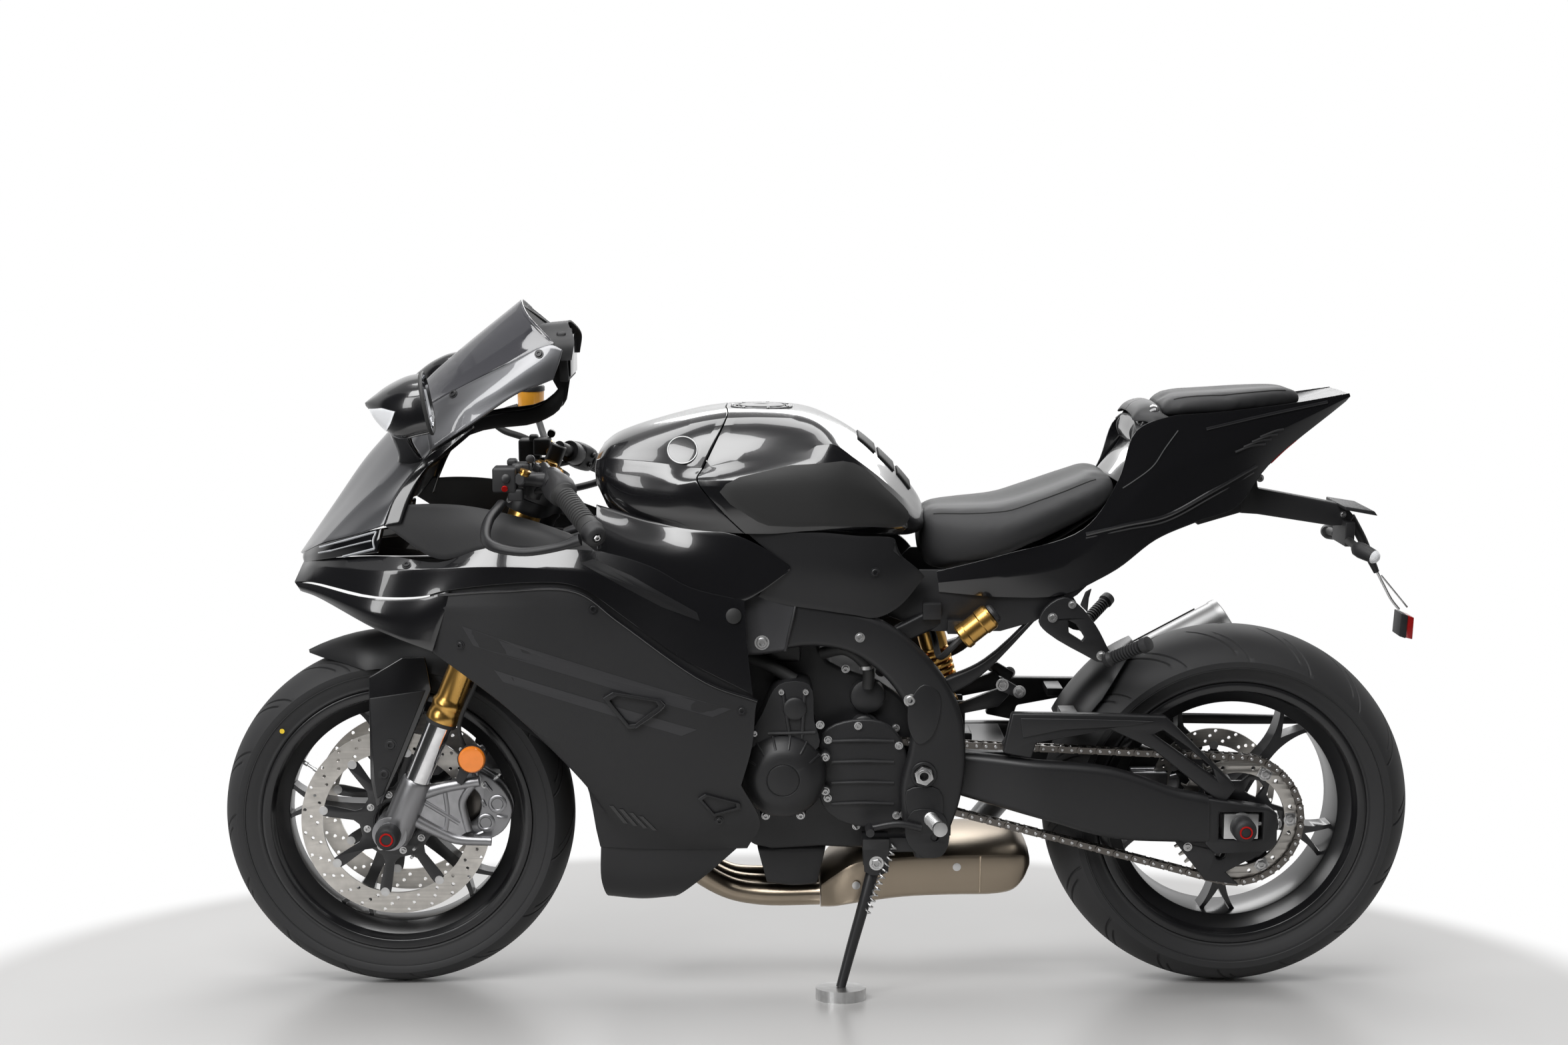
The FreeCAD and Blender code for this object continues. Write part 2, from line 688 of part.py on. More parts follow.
def frame():
    spar = [
        ((1135, 785), (1165, 715), 50, 40), ((1040, 812), (1068, 712), 92, 36), ((930, 780), (960, 655), 124, 28),
        ((800, 716), (832, 612), 136, 28), ((700, 694), (716, 624), 138, 28), ((600, 664), (650, 610), 136, 28),
        ((520, 597), (590, 562), 134, 26), ((474, 520), (556, 500), 132, 24), ((462, 440), (556, 450), 131, 23),
        ((470, 360), (570, 380), 131, 23), ((490, 300), (560, 300), 131, 23), ((506, 262), (545, 262), 131, 23),
    ]
    rail = [((580, 652), (590, 612), 118, 22), ((470, 700), (470, 660), 92, 26), ((330, 740), (330, 690), 90, 26),
            ((160, 850), (150, 800), 80, 24), ((40, 930), (30, 890), 64, 22), ((-60, 960), (-60, 930), 50, 20)]
    strut = [((496, 566), (504, 530), 124, 20), ((430, 594), (444, 560), 110, 20), ((300, 716), (322, 684), 94, 20)]
    clevis = [slab([(588, 296), (632, 296), (629, 240), (616, 234), (602, 234), (589, 240)], *side)
              for side in ((stand_eye_low - 8.3, stand_eye_low - 0.3), (stand_eye_high + 0.3, stand_eye_high + 8.3))]
    clevis.append(block((588, stand_eye_low - 8.3, 278), (632, stand_eye_high + 8.3, 296)))
    clevis.append(block((520, 119.5, 272), (589, 142.5, 296)))
    clevis.append(rod((float(stand_x), stand_eye_low - 8.3, float(stand_z)), (float(stand_x), stand_eye_high + 8.3, float(stand_z)), 6))
    side = [beam(spar, 5), beam(rail, 4), beam(strut, 3)]
    side.append(rod((800, 125, 632), (800, engine_half + float(seat_gap), 632), 13))
    side.append(slab([(600, 650), (650, 650), (630, 764), (606, 764)], 138, 150.2))
    side.append(rod((400, 91, 700), (400, 91, 770.2), 9))
    head = Part.makeCylinder(float(stem_radius + head_wall), head_high - head_low, on_fork(0, 0, head_low), rake_axis)
    gusset = lump([
        [(1190, -22, 790), (1190, 22, 790), (1222, 22, 716), (1222, -22, 716)],
        [(1130, -40, 780), (1130, 40, 780), (1160, 40, 712), (1160, -40, 712)],
    ], True)
    cross = [
        block((484, -130, 296), (510, 130, 318)), block((600, -130, 672), (640, 130, 690)),
        block((1000, -100, 770), (1030, 100, 800)), block((505, -126, 664), (535, 126, 690)),
        block((-60, -52, 934), (-30, 52, 956)), block((400, -92, 678), (440, 92, 700)), block((60, -70, 905), (80, 70, 925)),
    ]
    shock_ears = [block((504, -34, 632), (536, -25, 680)), block((504, 25, 632), (536, 34, 680))]
    pot_bracket = block((458, 98, 640), (494, 127.7, 662))
    whole = side[0].fuse(side[1:] + [flipped(piece) for piece in side] + [head, gusset, pot_bracket] + cross + shock_ears + clevis)
    bore = Part.makeCylinder(float(stem_radius + seat_gap), head_high - head_low + 200,
                             on_fork(0, 0, head_low - 100), rake_axis)
    pivot = rod((float(pivot_x), -200, float(pivot_z)), (float(pivot_x), 200, float(pivot_z)), 13)
    eye_bolt = rod((520, -60, 647.7), (520, 60, 647.7), 6)
    return shaped("frame", whole.cut([bore, pivot]).fuse(eye_bolt))


rake_axis = rake_turn.multVec(Vector(0, 0, 1))
engine_half = 88
stand_eye_low = float(stand_side) - 14
stand_eye_high = float(stand_side) + 14
frame()


def swingarm():
    side = float(arm_side)
    pivot = float(pivot_x)
    tall = rear_z - 315
    pivot_tube = rod((pivot, -108, float(pivot_z)), (pivot, 108, float(pivot_z)), 34)
    arm = beam([
        ((520, 434), (520, 372), 86, 40), ((440, 430), (430, 350), 104, 32), ((344, 424), (332, 326), side, 28),
        ((rear_x + 217, 412 + tall), (rear_x + 217, 294 + tall), side, 28),
        ((rear_x + 60, 366 + tall), (rear_x + 56, 288 + tall), side, 28),
        ((rear_x + 40, 360 + tall), (rear_x + 40, 287 + tall), side, 26),
        ((rear_x - 60, 340 + tall), (rear_x - 60, 290 + tall), side, 20),
    ], 6)
    arm = arm.cut(block((rear_x - 30, 0, rear_z - 19), (rear_x + 34, 300, rear_z + 17)))
    brace = slab([(400, 440), (386, 508), (244, 506), (rear_x + 130, 502 + tall), (rear_x + 19, 392 + tall),
                  (rear_x + 8, 378 + tall), (rear_x + 28, 350 + tall), (rear_x + 60, 372 + tall),
                  (rear_x + 151, 446 + tall), (222, 479), (345, 456), (352, 430)], side - 8, side + 8)
    brace = brace.cut(slab([(rear_x + 150, 471 + tall), (rear_x + 134, 478 + tall), (rear_x + 50, 413 + tall),
                            (rear_x + 44, 396 + tall)], side - 20, side + 20))
    left = arm.fuse(brace)
    web = lump([[(500, -90, 380), (500, 90, 380), (500, 90, 430), (500, -90, 430)],
                [(380, -122, 376), (380, 122, 376), (380, 122, 430), (380, -122, 430)]], True)
    bar = beam([((rear_x + 72, 440 + tall), (rear_x + 72, 422 + tall), -side, 12),
                ((rear_x - 176, 434 + tall), (rear_x - 176, 420 + tall), -side, 12)], 2)
    axle = rod((rear_x, -side - 22, rear_z), (rear_x, side + 22, rear_z), float(axle_radius))
    blocks = []
    for sign in (1, -1):
        blocks.append(block((rear_x - 24, sign * side - 12, rear_z - 25), (rear_x + 22, sign * side + 12, rear_z + 25)))
        blocks.append(rod((rear_x, sign * (side + 10), rear_z), (rear_x, sign * (side + 44), rear_z), 22))
        spacer_end = 60.3 if sign < 0 else float(chain_side) + 4
        blocks.append(rod((rear_x, sign * spacer_end, rear_z), (rear_x, sign * (side - 5), rear_z), spacer_radius))
    ears = [block((452, low, 440), (498, low + 10, 501)) for low in (-26.3, 16.3)]
    link_bolt = rod((476, -34, 492.3), (476, 34, 492.3), 6)
    fin = slab([(110, 279), (-50, 279), (-50, 261), (20.5, 222), (-3, 200), (54.5, 208)], side - 4, side + 4)
    fin.translate(Vector(rear_x, 0, tall + 9))
    ears.append(block((440, -30, 425), (500, 30, 445)))
    whole = pivot_tube.fuse([left, flipped(left), web, bar, axle, link_bolt, fin] + ears + blocks)
    clear = rod((pivot, -150, float(pivot_z)), (pivot, 150, float(pivot_z)), 13)
    return shaped("swingarm", whole.cut(clear))


spacer_radius = 20
swingarm()

# Engine


def engine():
    case = slab([(540, 300), (548, 500), (640, 560), (700, 590), (730, 650), (958, 650), (940, 560), (920, 420),
                 (850, 330), (815, 263), (600, 263)], -engine_half, engine_half)
    case = case.cut(rod((float(pivot_x), -150, float(pivot_z)), (float(pivot_x), 150, float(pivot_z)), 36))
    return shaped("engine_block", case)


def covers():
    generator = rod((765, 88.3, 405), (765, 165, 405), 72).fuse(rod((765, 165, 405), (765, 184, 405), 64))
    neck = slab([(772, 560), (722, 560), (710, 470), (820, 470)], 88.3, 150)
    clutch = rod((690, -88.3, 420), (690, -170, 420), 92).fuse(rod((690, -170, 420), (690, -186, 420), 74))
    pan = slab([(808, 262.7), (790, 192), (706, 189), (690, 262.7)], -80, 80)
    return shaped("engine_covers", Part.makeCompound([generator.fuse(neck), clutch, pan]))


def radiator():
    core = lump([[(1020, -160, 360), (1020, 160, 360), (1050, 160, 350), (1050, -160, 350)],
                 [(1090, -165, 640), (1090, 165, 640), (1118, 165, 628), (1118, -165, 628)]], True)
    arms = bosses([((1078, 76, 556), (940, 76, 556), 7)], made["engine_block"])
    return shaped("radiator", core.fuse(arms))


engine()
covers()
radiator()


def headers():
    pipes = []
    for side in (-46, 0, 46):
        pipes.append(tube([(948.4, side, 600), (1004, side, 588), (1000, side, 370), (925, side, 242),
                           (800, side, 166), (696.5, side, 166)], 19))
    return shaped("exhaust_headers", pipes[0].fuse(pipes[1:]))


def chamber():
    sections = []
    for x, top, low, half in ((696, 188, 142, 72), (640, 230, 144, 100), (400, 242, 150, 104), (350, 240, 190, 90),
                              (338, 230, 205, 70)):
        sections.append([(x, -half, low + 12), (x, -half + 14, low), (x, half - 14, low), (x, half, low + 12),
                         (x, half, top - 12), (x, half - 14, top), (x, -half + 14, top), (x, -half, top - 12)])
    hanger = boss((600, 0, 222), (600, 0, 280), 14, made["engine_block"])
    return shaped("exhaust_chamber", lump(sections, True).fuse(hanger))


def silencer():
    link = tube([(430, -104.3, 205), (430, -170, 205), (330, -196, 300), (215, -204, 400), (172, -205, 446)], 24)
    centre = Vector(130, -206, 478)
    along = Vector(-0.883, -0.04, 0.469)
    can = Part.makeCone(46, 60, 110, centre + along * -110, along).fuse(
        Part.makeCylinder(60, 200, centre, along))
    can = can.cut(Part.makeCylinder(30, 60, centre + along * 150, along))
    return shaped("silencer", can.fuse(link))


headers()
chamber()
silencer()

# Bodywork: the point nets run from the nose to the tail


lamp_slot = lump([[(1530, 92, 752), (1530, 92, 786), (1530, 126, 786), (1530, 126, 752)],
                  [(1418, 140, 782), (1418, 140, 816), (1418, 184, 816), (1418, 184, 782)]], True)


def upper_cowl():
    top = [
        [(1577, 0, 757), (1515, 0, 846), (1465, 0, 916), (1424, 0, 962)],
        [(1560, 60, 764), (1490, 62, 850), (1430, 66, 925), (1345, 84, 1018)],
        [(1520, 118, 772), (1462, 122, 850), (1390, 128, 920), (1262, 118, 1018)],
        [(1460, 158, 782), (1404, 156, 850), (1352, 152, 920), (1200, 134, 1036)],
        [(1404, 172, 790), (1380, 166, 840), (1340, 156, 905), (1196, 132, 1030)],
    ]
    shell = skin(across(top), 4, (-0.3, -1, -0.2), (-1, 0, -0.3))
    return shaped("upper_cowl", shell.cut([lamp_slot, flipped(lamp_slot)]))


def windscreen():
    net = [
        [(1421, 0, 970), (1364, 0, 1043), (1309, 0, 1093), (1198, 0, 1183)],
        [(1406, 46, 972), (1352, 52, 1032), (1290, 58, 1084), (1190, 60, 1168)],
        [(1352, 84, 1022), (1308, 94, 1038), (1252, 102, 1062), (1152, 104, 1112)],
    ]
    shell = skin(across(net), 3, (-0.3, -1, -0.2), (-1, 0, -0.5))
    bolts = bosses([((1300, 93, 1039), (1300, 106, 1000), 5)], made["upper_cowl"])
    return shaped("windscreen", shell.fuse(bolts))


def halves(left, pins):
    """A left panel and its twin, each joined to its own mounting bosses."""
    own = [pin for pin in pins if pin.BoundBox.YMin > 0]
    whole = left.fuse(own)
    return [whole, flipped(whole)]


def side_panels():
    rows = [
        [(1302, 208, 700), (1220, 214, 728), (1100, 214, 730), (1020, 210, 676), (895, 204, 580), (806, 192, 545)],
        [(1298, 206, 650), (1220, 214, 640), (1110, 216, 610), (1020, 214, 570), (920, 208, 520), (815, 196, 490)],
        [(1290, 196, 583), (1223, 204, 530), (1130, 208, 500), (1040, 208, 470), (940, 204, 430), (834, 194, 403)],
        [(1106, 172, 441), (1090, 178, 410), (1060, 182, 380), (1000, 184, 350), (900, 180, 320), (800, 172, 310)],
        [(1068, 148, 290), (1040, 150, 288), (1010, 152, 286), (960, 152, 284), (900, 150, 282), (830, 146, 278)],
    ]
    pins = bosses([((1074, 210, 520), (1074, 150, 520), 7)], made["radiator"])
    return shaped("side_panels", Part.makeCompound(halves(skin(rows, 4, (0, -1, 0)), pins)))


def upper_panels():
    rows = [
        [(1518, 110, 768), (1400, 166, 776), (1243, 186, 792), (1064, 190, 788), (916, 186, 730), (828, 176, 706)],
        [(1545, 110, 752), (1410, 186, 745), (1250, 202, 755), (1070, 204, 755), (930, 196, 690), (826, 184, 650)],
        [(1568, 112, 722), (1420, 192, 690), (1306, 204, 704), (1096, 208, 734), (1016, 204, 680), (815, 188, 552)],
    ]
    pins = bosses([((1070, 200, 765), (1070, 100, 765), 8)], made["frame"])
    panel = skin(rows, 4, (0, -1, 0)).cut(lamp_slot)
    return shaped("upper_panels", Part.makeCompound(halves(panel, pins)))


def belly_pan():
    rows = [
        [(1050, 0, 190), (975, 0, 187), (930, 0, 196)],
        [(1064, 104, 200), (975, 108, 192), (925, 104, 203)],
        [(1066, 136, 240), (960, 140, 236), (826, 134, 240)],
        [(1066, 146, 284), (960, 150, 281), (830, 144, 275)],
    ]
    shell = skin(across(rows), 4, (0, -0.6, 1), (0, 0, 1))
    pins = bosses([((960, 143.5, 262), (960, 151.5, 300), 4)], made["side_panels"])
    return shaped("belly_pan", shell.fuse(pins))


upper_cowl()
windscreen()
side_panels()
upper_panels()
belly_pan()


def headlamps():
    """Two slit lamps in their slots, on the housing behind the nose."""
    slots = lump([[(1529.6, 92.4, 752.4), (1529.6, 92.4, 785.6), (1529.6, 125.6, 785.6), (1529.6, 125.6, 752.4)],
                  [(1418.4, 140.4, 782.4), (1418.4, 140.4, 815.6), (1418.4, 183.6, 815.6), (1418.4, 183.6, 782.4)]], True)
    housing = lump([[(1510, -100, 760), (1510, 100, 760), (1510, 100, 782), (1510, -100, 782)],
                    [(1430, -140, 786), (1430, 140, 786), (1430, 126, 830), (1430, -126, 830)]], True)
    return shaped("headlamps", housing.fuse([slots, flipped(slots)]))


headlamps()


def tank_section(x, top, low, wide, shoulder):
    """Twelve points round the tank at one station, symmetrical about the middle."""
    side = [(wide * 0.75, low), (wide, low + (shoulder - low) * 0.18), (wide, low + (shoulder - low) * 0.72),
            (wide * 0.82, shoulder), (wide * 0.45, top - (top - shoulder) * 0.14)]
    right = [(-y, z) for y, z in reversed(side)]
    return [(x, y, z) for y, z in [(0, low)] + side + [(0, top)] + right]


def tank():
    stations = [(868, 996, 824, 172, 930), (800, 1001, 822, 176, 935), (700, 985, 820, 176, 925),
                (620, 945, 812, 160, 890), (560, 890, 802, 122, 850), (529, 845, 800, 80, 826)]
    feet = bosses([((620, 60, 820), (620, 60, 670), 9)], made["frame"])
    return shaped("fuel_tank", lump([tank_section(*station) for station in stations], True).fuse(feet))


def tank_cover():
    stations = [(1070, 915, 870, 90, 900), (1030, 968, 830, 130, 930), (960, 990, 822, 160, 935),
                (868.3, 1001, 824, 172, 935)]
    feet = bosses([((1015, 60, 850), (1015, 60, 780), 8)], made["frame"])
    return shaped("tank_cover", lump([tank_section(*station) for station in stations], True).fuse(feet))


def fuel_cap():
    cap = Part.makeCylinder(50, 8, Vector(800, 0, 1001.3), Vector(0, 0, 1))
    return shaped("fuel_cap", cap)


tank()
tank_cover()
fuel_cap()


def rider_seat():
    sections = []
    for x, top, low, wide in ((524, 830, 760, 60), (470, 832, 764, 105), (400, 846, 772, 135), (320, 872, 800, 125),
                              (226, 896, 846, 100)):
        sections.append([(x, -wide + 12, low), (x, wide - 12, low), (x, wide, low + 20), (x, wide * 0.7, top - 6),
                         (x, 0, top), (x, -wide * 0.7, top - 6), (x, -wide, low + 20)])
    return shaped("rider_seat", lump(sections, True))


def passenger_seat():
    sections = []
    for x, top, low, wide in ((140, 1008, 984, 70), (90, 1024, 986, 80), (0, 1034, 992, 72), (-90, 1036, 1000, 46)):
        sections.append([(x, -wide + 8, low), (x, wide - 8, low), (x, wide, low + 12), (x, wide * 0.8, top - 3),
                         (x, 0, top), (x, -wide * 0.8, top - 3), (x, -wide, low + 12)])
    return shaped("passenger_seat", seated(lump(sections, True), made["tail_cowl"]))


def tail_cowl():
    side = skin([
        [(505, 116, 738), (400, 118, 770), (270, 112, 812), (214, 106, 892), (186, 98, 972), (60, 92, 1000),
         (-60, 76, 1012), (-172, 60, 1032)],
        [(505, 118, 720), (400, 120, 730), (290, 116, 752), (216, 112, 812), (168, 108, 872), (60, 98, 906),
         (-46, 76, 944), (-170, 60, 1026)],
        [(505, 116, 700), (400, 116, 690), (300, 112, 700), (212, 106, 742), (150, 102, 782), (60, 90, 822),
         (-25, 70, 880), (-166, 58, 1018)],
    ], 3, (0, -1, 0))
    deck = skin([
        [(186, 94, 972), (60, 88, 999), (-60, 72, 1008), (-170, 56, 1028)],
        [(180, 60, 984), (60, 56, 992), (-60, 46, 1002), (-172, 36, 1029)],
        [(178, 0, 988), (60, 0, 994), (-60, 0, 1003), (-172, 0, 1030)],
        [(180, -60, 984), (60, -56, 992), (-60, -46, 1002), (-172, -36, 1029)],
        [(186, -94, 972), (60, -88, 999), (-60, -72, 1008), (-170, -56, 1028)],
    ], 3, (0, 0, -1))
    nose = skin([
        [(212, 98, 896), (200, 94, 940), (184, 88, 980)],
        [(216, 0, 898), (204, 0, 944), (176, 0, 1000)],
        [(212, -98, 896), (200, -94, 940), (184, -88, 980)],
    ], 3, (-1, 0, 0))
    posts = bosses([((-45, 30, 1001), (-45, 30, 940), 7), ((70, 30, 992), (70, 30, 910), 7)], made["frame"])
    pins = bosses([((300, 112, 722), (300, 80, 722), 6)], made["frame"])
    deck = deck.fuse(posts)
    return shaped("tail_cowl", Part.makeCompound(halves(side, pins) + [deck, nose]))


def side_covers():
    cover = slab([(820, 812), (700, 812), (570, 796), (530, 790), (500, 764), (530, 735), (590, 700), (740, 700), (806, 720),
                  (755, 757)], 150.5, 156)
    return shaped("side_covers", both(cover))


rider_seat()
tail_cowl()
passenger_seat()
side_covers()


def plate_bracket():
    """The arm from the end of the seat rails down to the blank plate holder, with the lamp hangers."""
    arm = slab([(-30, 933.7), (-22, 872), (-24, 832), (-176, 806), (-190, 806), (-178, 838), (-58, 866), (-58, 933.7)], -14, 14)
    plate = block((-232, -60, 822), (-172, 60, 834))
    hanger = block((-198, -39.7, 770), (-180, 39.7, 822.5))
    stem = beam([((-196, 822), (-204, 820), 0, 14), ((-270, 690), (-278, 688), 0, 8), ((-286, 620), (-292, 620), 0, 8)], 2)
    return shaped("plate_bracket", arm.fuse([plate, hanger, stem]))


def rear_lights():
    tail = slab([(-60.3, 954), (-150, 1000), (-150, 992), (-60.3, 942)], -48, 48)
    stalks = []
    for sign in (1, -1):
        stalks.append(rod((-189, sign * 40, 780), (-189, sign * 86, 778), 7).fuse(
            rod((-180, sign * 84, 776), (-212, sign * 128, 762), 13)))
    reflector = block((-300, -20, 614), (-292.3, 20, 654))
    return shaped("rear_lights", Part.makeCompound([tail, reflector] + stalks))


plate_bracket()
rear_lights()


def footrests():
    plate = slab([(500, 340), (560, 330), (560, 290), (530, 264), (490, 270)], 142.8, 152)
    peg = rod((520, 150, 332), (510, 226, 336), 11)
    bracket = slab([(300, 700), (250, 655), (226, 605), (236, 594), (330, 644), (342, 660)], 120, 130)
    bracket = bracket.cut(slab([(296, 664), (282, 656), (268, 632), (294, 644)], 100, 140))
    bolt = boss((314, 122, 684), (314, 80, 690), 6, made["frame"])
    perch = rod((236, 126, 600), (180, 196, 630), 11)
    left = Part.makeCompound([plate.fuse(peg), bracket.fuse([perch, bolt])])
    return shaped("footrests", both(left))


def instrument():
    """The display on its stay, which stands on the front of the head tube."""
    display = lump([[(1118, -70, 1120), (1118, 70, 1120), (1134, 70, 1136), (1134, -70, 1136)],
                    [(1104, -66, 1050), (1104, 66, 1050), (1130, 66, 1050), (1130, -66, 1050)]], True)
    foot = on_fork(float(stem_radius + head_wall + seat_gap), 0, (head_low + head_high) / 2)
    out = on_fork(150, 0, (head_low + head_high) / 2)
    stay = tube([tuple(foot), tuple(out), (1300, 0, 960), (1125, 0, 1060)], 11)
    return shaped("instrument", display.fuse(stay))


def mirrors():
    head = lump([[(1410, 226, 1022), (1410, 254, 1022), (1410, 254, 1034), (1410, 226, 1034)],
                 [(1350, 190, 996), (1350, 290, 990), (1350, 290, 1066), (1350, 200, 1066)],
                 [(1316, 180, 992), (1316, 300, 988), (1316, 300, 1074), (1316, 190, 1074)]], True)
    stalk = boss((1370, 216, 1006), (1366, 120, 924), 11, made["upper_cowl"])
    return shaped("mirrors", both(head.fuse(stalk)))


footrests()
instrument()
mirrors()


def shock():
    """Coil-over unit between its two bolts, with the separate reservoir on the left."""
    foot = (476, 0, 492.3)
    top = (520, 0, 647.7)
    eyes = [Part.makeCylinder(16, 32, Vector(x, -16, z), Vector(0, 1, 0)) for x, y, z in (foot, top)]
    body = rod(foot, top, 12)
    spring = rod((482, 0, 512), (514, 0, 626), 24)
    unit = body.fuse(eyes + [spring])
    unit = unit.cut([rod((x, -60, z), (x, 60, z), 6 + float(seat_gap)) for x, y, z in (foot, top)])
    reservoir = rod((474, 150, 638), (424, 150, 678), 22)
    return shaped("shock", Part.makeCompound([unit, reservoir]))


def hugger():
    """The mudguard over the front of the rear tyre, on two ears that meet the swingarm."""
    centre = Vector(rear_x, 0, rear_z)
    outer = Part.makeCylinder(rear_clear + 4, 150, centre + Vector(0, -75, 0), Vector(0, 1, 0))
    inner = Part.makeCylinder(rear_clear, 150, centre + Vector(0, -75, 0), Vector(0, 1, 0))
    sector = slab([(0, 315), (420, 560), (260, 900), (140, 900)], -75, 75)
    sector.translate(Vector(rear_x, 0, rear_z - 315))
    guard = outer.cut(inner).common(sector)
    ear_low = rear_z + 173
    ear_x = rear_x + math.sqrt((rear_clear + 2) ** 2 - (ear_low + 7 - rear_z) ** 2)
    ear = block((ear_x - 11, 60, ear_low), (ear_x + 17, float(arm_side) - 8 - float(seat_gap), ear_low + 14))
    ear = ear.cut(inner)
    return shaped("hugger", guard.fuse([ear, flipped(ear)]))


rear_clear = float(rear_radius) + 18
shock()
hugger()


def rear_caliper():
    """The caliper on its carrier plate, which hangs on the axle spacer."""
    plate = slab([(96, 330), (40, 345), (-10, 343), (-29, 326), (-29, 304), (-10, 287), (60, 280), (110, 300)], -96, -88)
    body = block((84, -100, 290), (146, -58, 350)).cut(block((60, -84, 270), (118, -72, 370)))
    for piece in (plate, body):
        piece.translate(Vector(rear_x, 0, rear_z - 315))
    plate = plate.cut(rod((rear_x, -120, rear_z), (rear_x, -60, rear_z), spacer_radius + float(seat_gap)))
    return shaped("rear_caliper", plate.fuse(body))


rear_caliper()

# Steering, drawn along the fork


def clamps():
    pieces = []
    half = float(fork_side)
    front = float(leg_offset)
    for low, high in ((float(lower_clamp) - 14, float(lower_clamp) + 14 - 0.3),
                      (float(upper_clamp) - 14 + 0.3, float(upper_clamp) + 10)):
        outline = [(-34, 0), (-20, 34), (front - 34, half - 10), (front - 8, half + 36), (front + 22, half + 36),
                   (front + 36, half), (30, 26)]
        outline += [(x, -y) for x, y in reversed(outline[1:])]
        pieces.append(Part.Face(wire([(x, y, low) for x, y in outline])).extrude(Vector(0, 0, high - low)))
    stem = Part.makeCylinder(float(stem_radius), float(upper_clamp - lower_clamp) + 34,
                             Vector(0, 0, float(lower_clamp) - 24), Vector(0, 0, 1))
    whole = stem.fuse(pieces)
    legs = [Part.makeCylinder(float(outer_radius + seat_gap), float(upper_clamp), Vector(front, sign * half, float(outer_low)),
                              Vector(0, 0, 1)) for sign in (1, -1)]
    bore = Part.makeCylinder(float(stem_bore), 2 * float(upper_clamp), Vector(0, 0, 0), Vector(0, 0, 1))
    return shaped("fork_clamps", whole.cut([bore] + legs), fork_frame)


def fork_tubes():
    x = float(leg_offset)
    y = float(fork_side)
    low = float(outer_low)
    top = float(upper_clamp + fork_proud)
    leg = Part.makeCylinder(float(outer_radius), top - low, Vector(x, y, low), Vector(0, 0, 1))
    leg = leg.cut(Part.makeCylinder(float(slider_radius + seat_gap), 120, Vector(x, y, low - 10), Vector(0, 0, 1)))
    return shaped("fork_tubes", both(leg), fork_frame)


def fork_sliders():
    """The chromed tubes with their cast feet, which hold the axle, the calipers and the mudguard."""
    x = float(leg_offset)
    y = float(fork_side)
    tube_part = Part.makeCylinder(float(slider_radius), float(outer_low) + 60, Vector(x, y, 40), Vector(0, 0, 1))
    foot = Part.makeCylinder(27, 96, Vector(x, y, 0), Vector(0, 0, 1))
    eye = Part.makeCylinder(27, 40, Vector(float(axle_offset), y - 20, 0), Vector(0, 1, 0))
    caliper = caliper_outline().makeOffset2D(float(seat_gap)).extrude(Vector(0, 200, 0))
    lugs = []
    for outline in ([(8, 92), (10, 66), (-62, 112), (-58, 140)], [(10, 36), (12, 10), (-84, 20), (-80, 56)]):
        lug = Part.Face(wire([(a, y - 20, c) for a, c in outline])).extrude(Vector(0, 16, 0))
        lugs.append(max(lug.cut(caliper).Solids, key=lambda piece: piece.Volume))
    web = Part.Face(wire([(0, y - 14, 96), (0, y - 14, 14), (-52, y - 14, 30), (-30, y - 14, 70), (-40, y - 14, 116)]))
    lugs.append(max(web.extrude(Vector(0, 5, 0)).cut(caliper).Solids, key=lambda piece: piece.Volume))
    lugs.append(Part.makeBox(34, y - 8 - 74.3, 30, Vector(26, 74.3, 140)))
    leg = tube_part.fuse([foot, eye] + lugs)
    axle = Part.makeCylinder(float(axle_radius), 2 * y + 60, Vector(float(axle_offset), -y - 30, 0), Vector(0, 1, 0))
    spacer = Part.makeCylinder(20, y - 20 - 46.3, Vector(float(axle_offset), 46.3, 0), Vector(0, 1, 0))
    whole = leg.fuse([flipped(leg), axle, spacer, flipped(spacer)])
    return shaped("fork_sliders", whole, fork_frame)


def caliper_outline():
    return Part.Face(wire([(x, 0, z) for x, z in ((-50, 133), (-77, 140), (-122, 128), (-148, 100), (-142, 58), (-112, 30), (-82, 20))]))


def handlebars():
    y = float(fork_side)
    x = float(leg_offset)
    base = float(upper_clamp) + 10 + 0.6
    ring = Part.makeCylinder(38, 24, Vector(x, y, base), Vector(0, 0, 1))
    riser = Part.makeCylinder(15, float(bar_rise), Vector(x, y + 34, base), Vector(0, 0, 1))
    ring = ring.fuse(riser)
    ring = ring.cut(Part.makeCylinder(float(outer_radius + seat_gap), 60, Vector(x, y, base - 15), Vector(0, 0, 1)))
    run = grip_end - bar_start
    along = Vector(run).normalize()
    bar = Part.makeCylinder(11, run.Length, bar_start, run)
    grip = Part.makeCylinder(17, run.Length * 0.58, bar_start + run * 0.42, run)
    weight = Part.makeCylinder(19, 26, grip_end, along)
    return shaped("handlebars", both(ring.fuse([bar, grip, weight])), fork_frame)


def bar_controls():
    run = grip_end - bar_start
    along = Vector(run).normalize()
    perch = bar_start + run * 0.24
    clamp = Part.makeCylinder(20, 34, perch, along)
    clamp = clamp.cut(Part.makeCylinder(11.3, 60, perch - along * 10, along))
    lever = tube([tuple(perch + Vector(14, 4, -6)), tuple(perch + Vector(50, 20, -14)),
                  tuple(perch + Vector(56, 80, -24)), tuple(perch + Vector(30, 160, -38))], 6)
    left = clamp.fuse(lever)
    pot = rod((perch.x + 44, perch.y + 34, perch.z + 70), (perch.x + 44, perch.y + 34, perch.z + 110), 21)
    post = rod((perch.x + 12, perch.y + 6, perch.z + 4), (perch.x + 44, perch.y + 34, perch.z + 71), 6)
    right = flipped(left.fuse([post, pot]))
    return shaped("bar_controls", Part.makeCompound([left, right]), fork_frame)


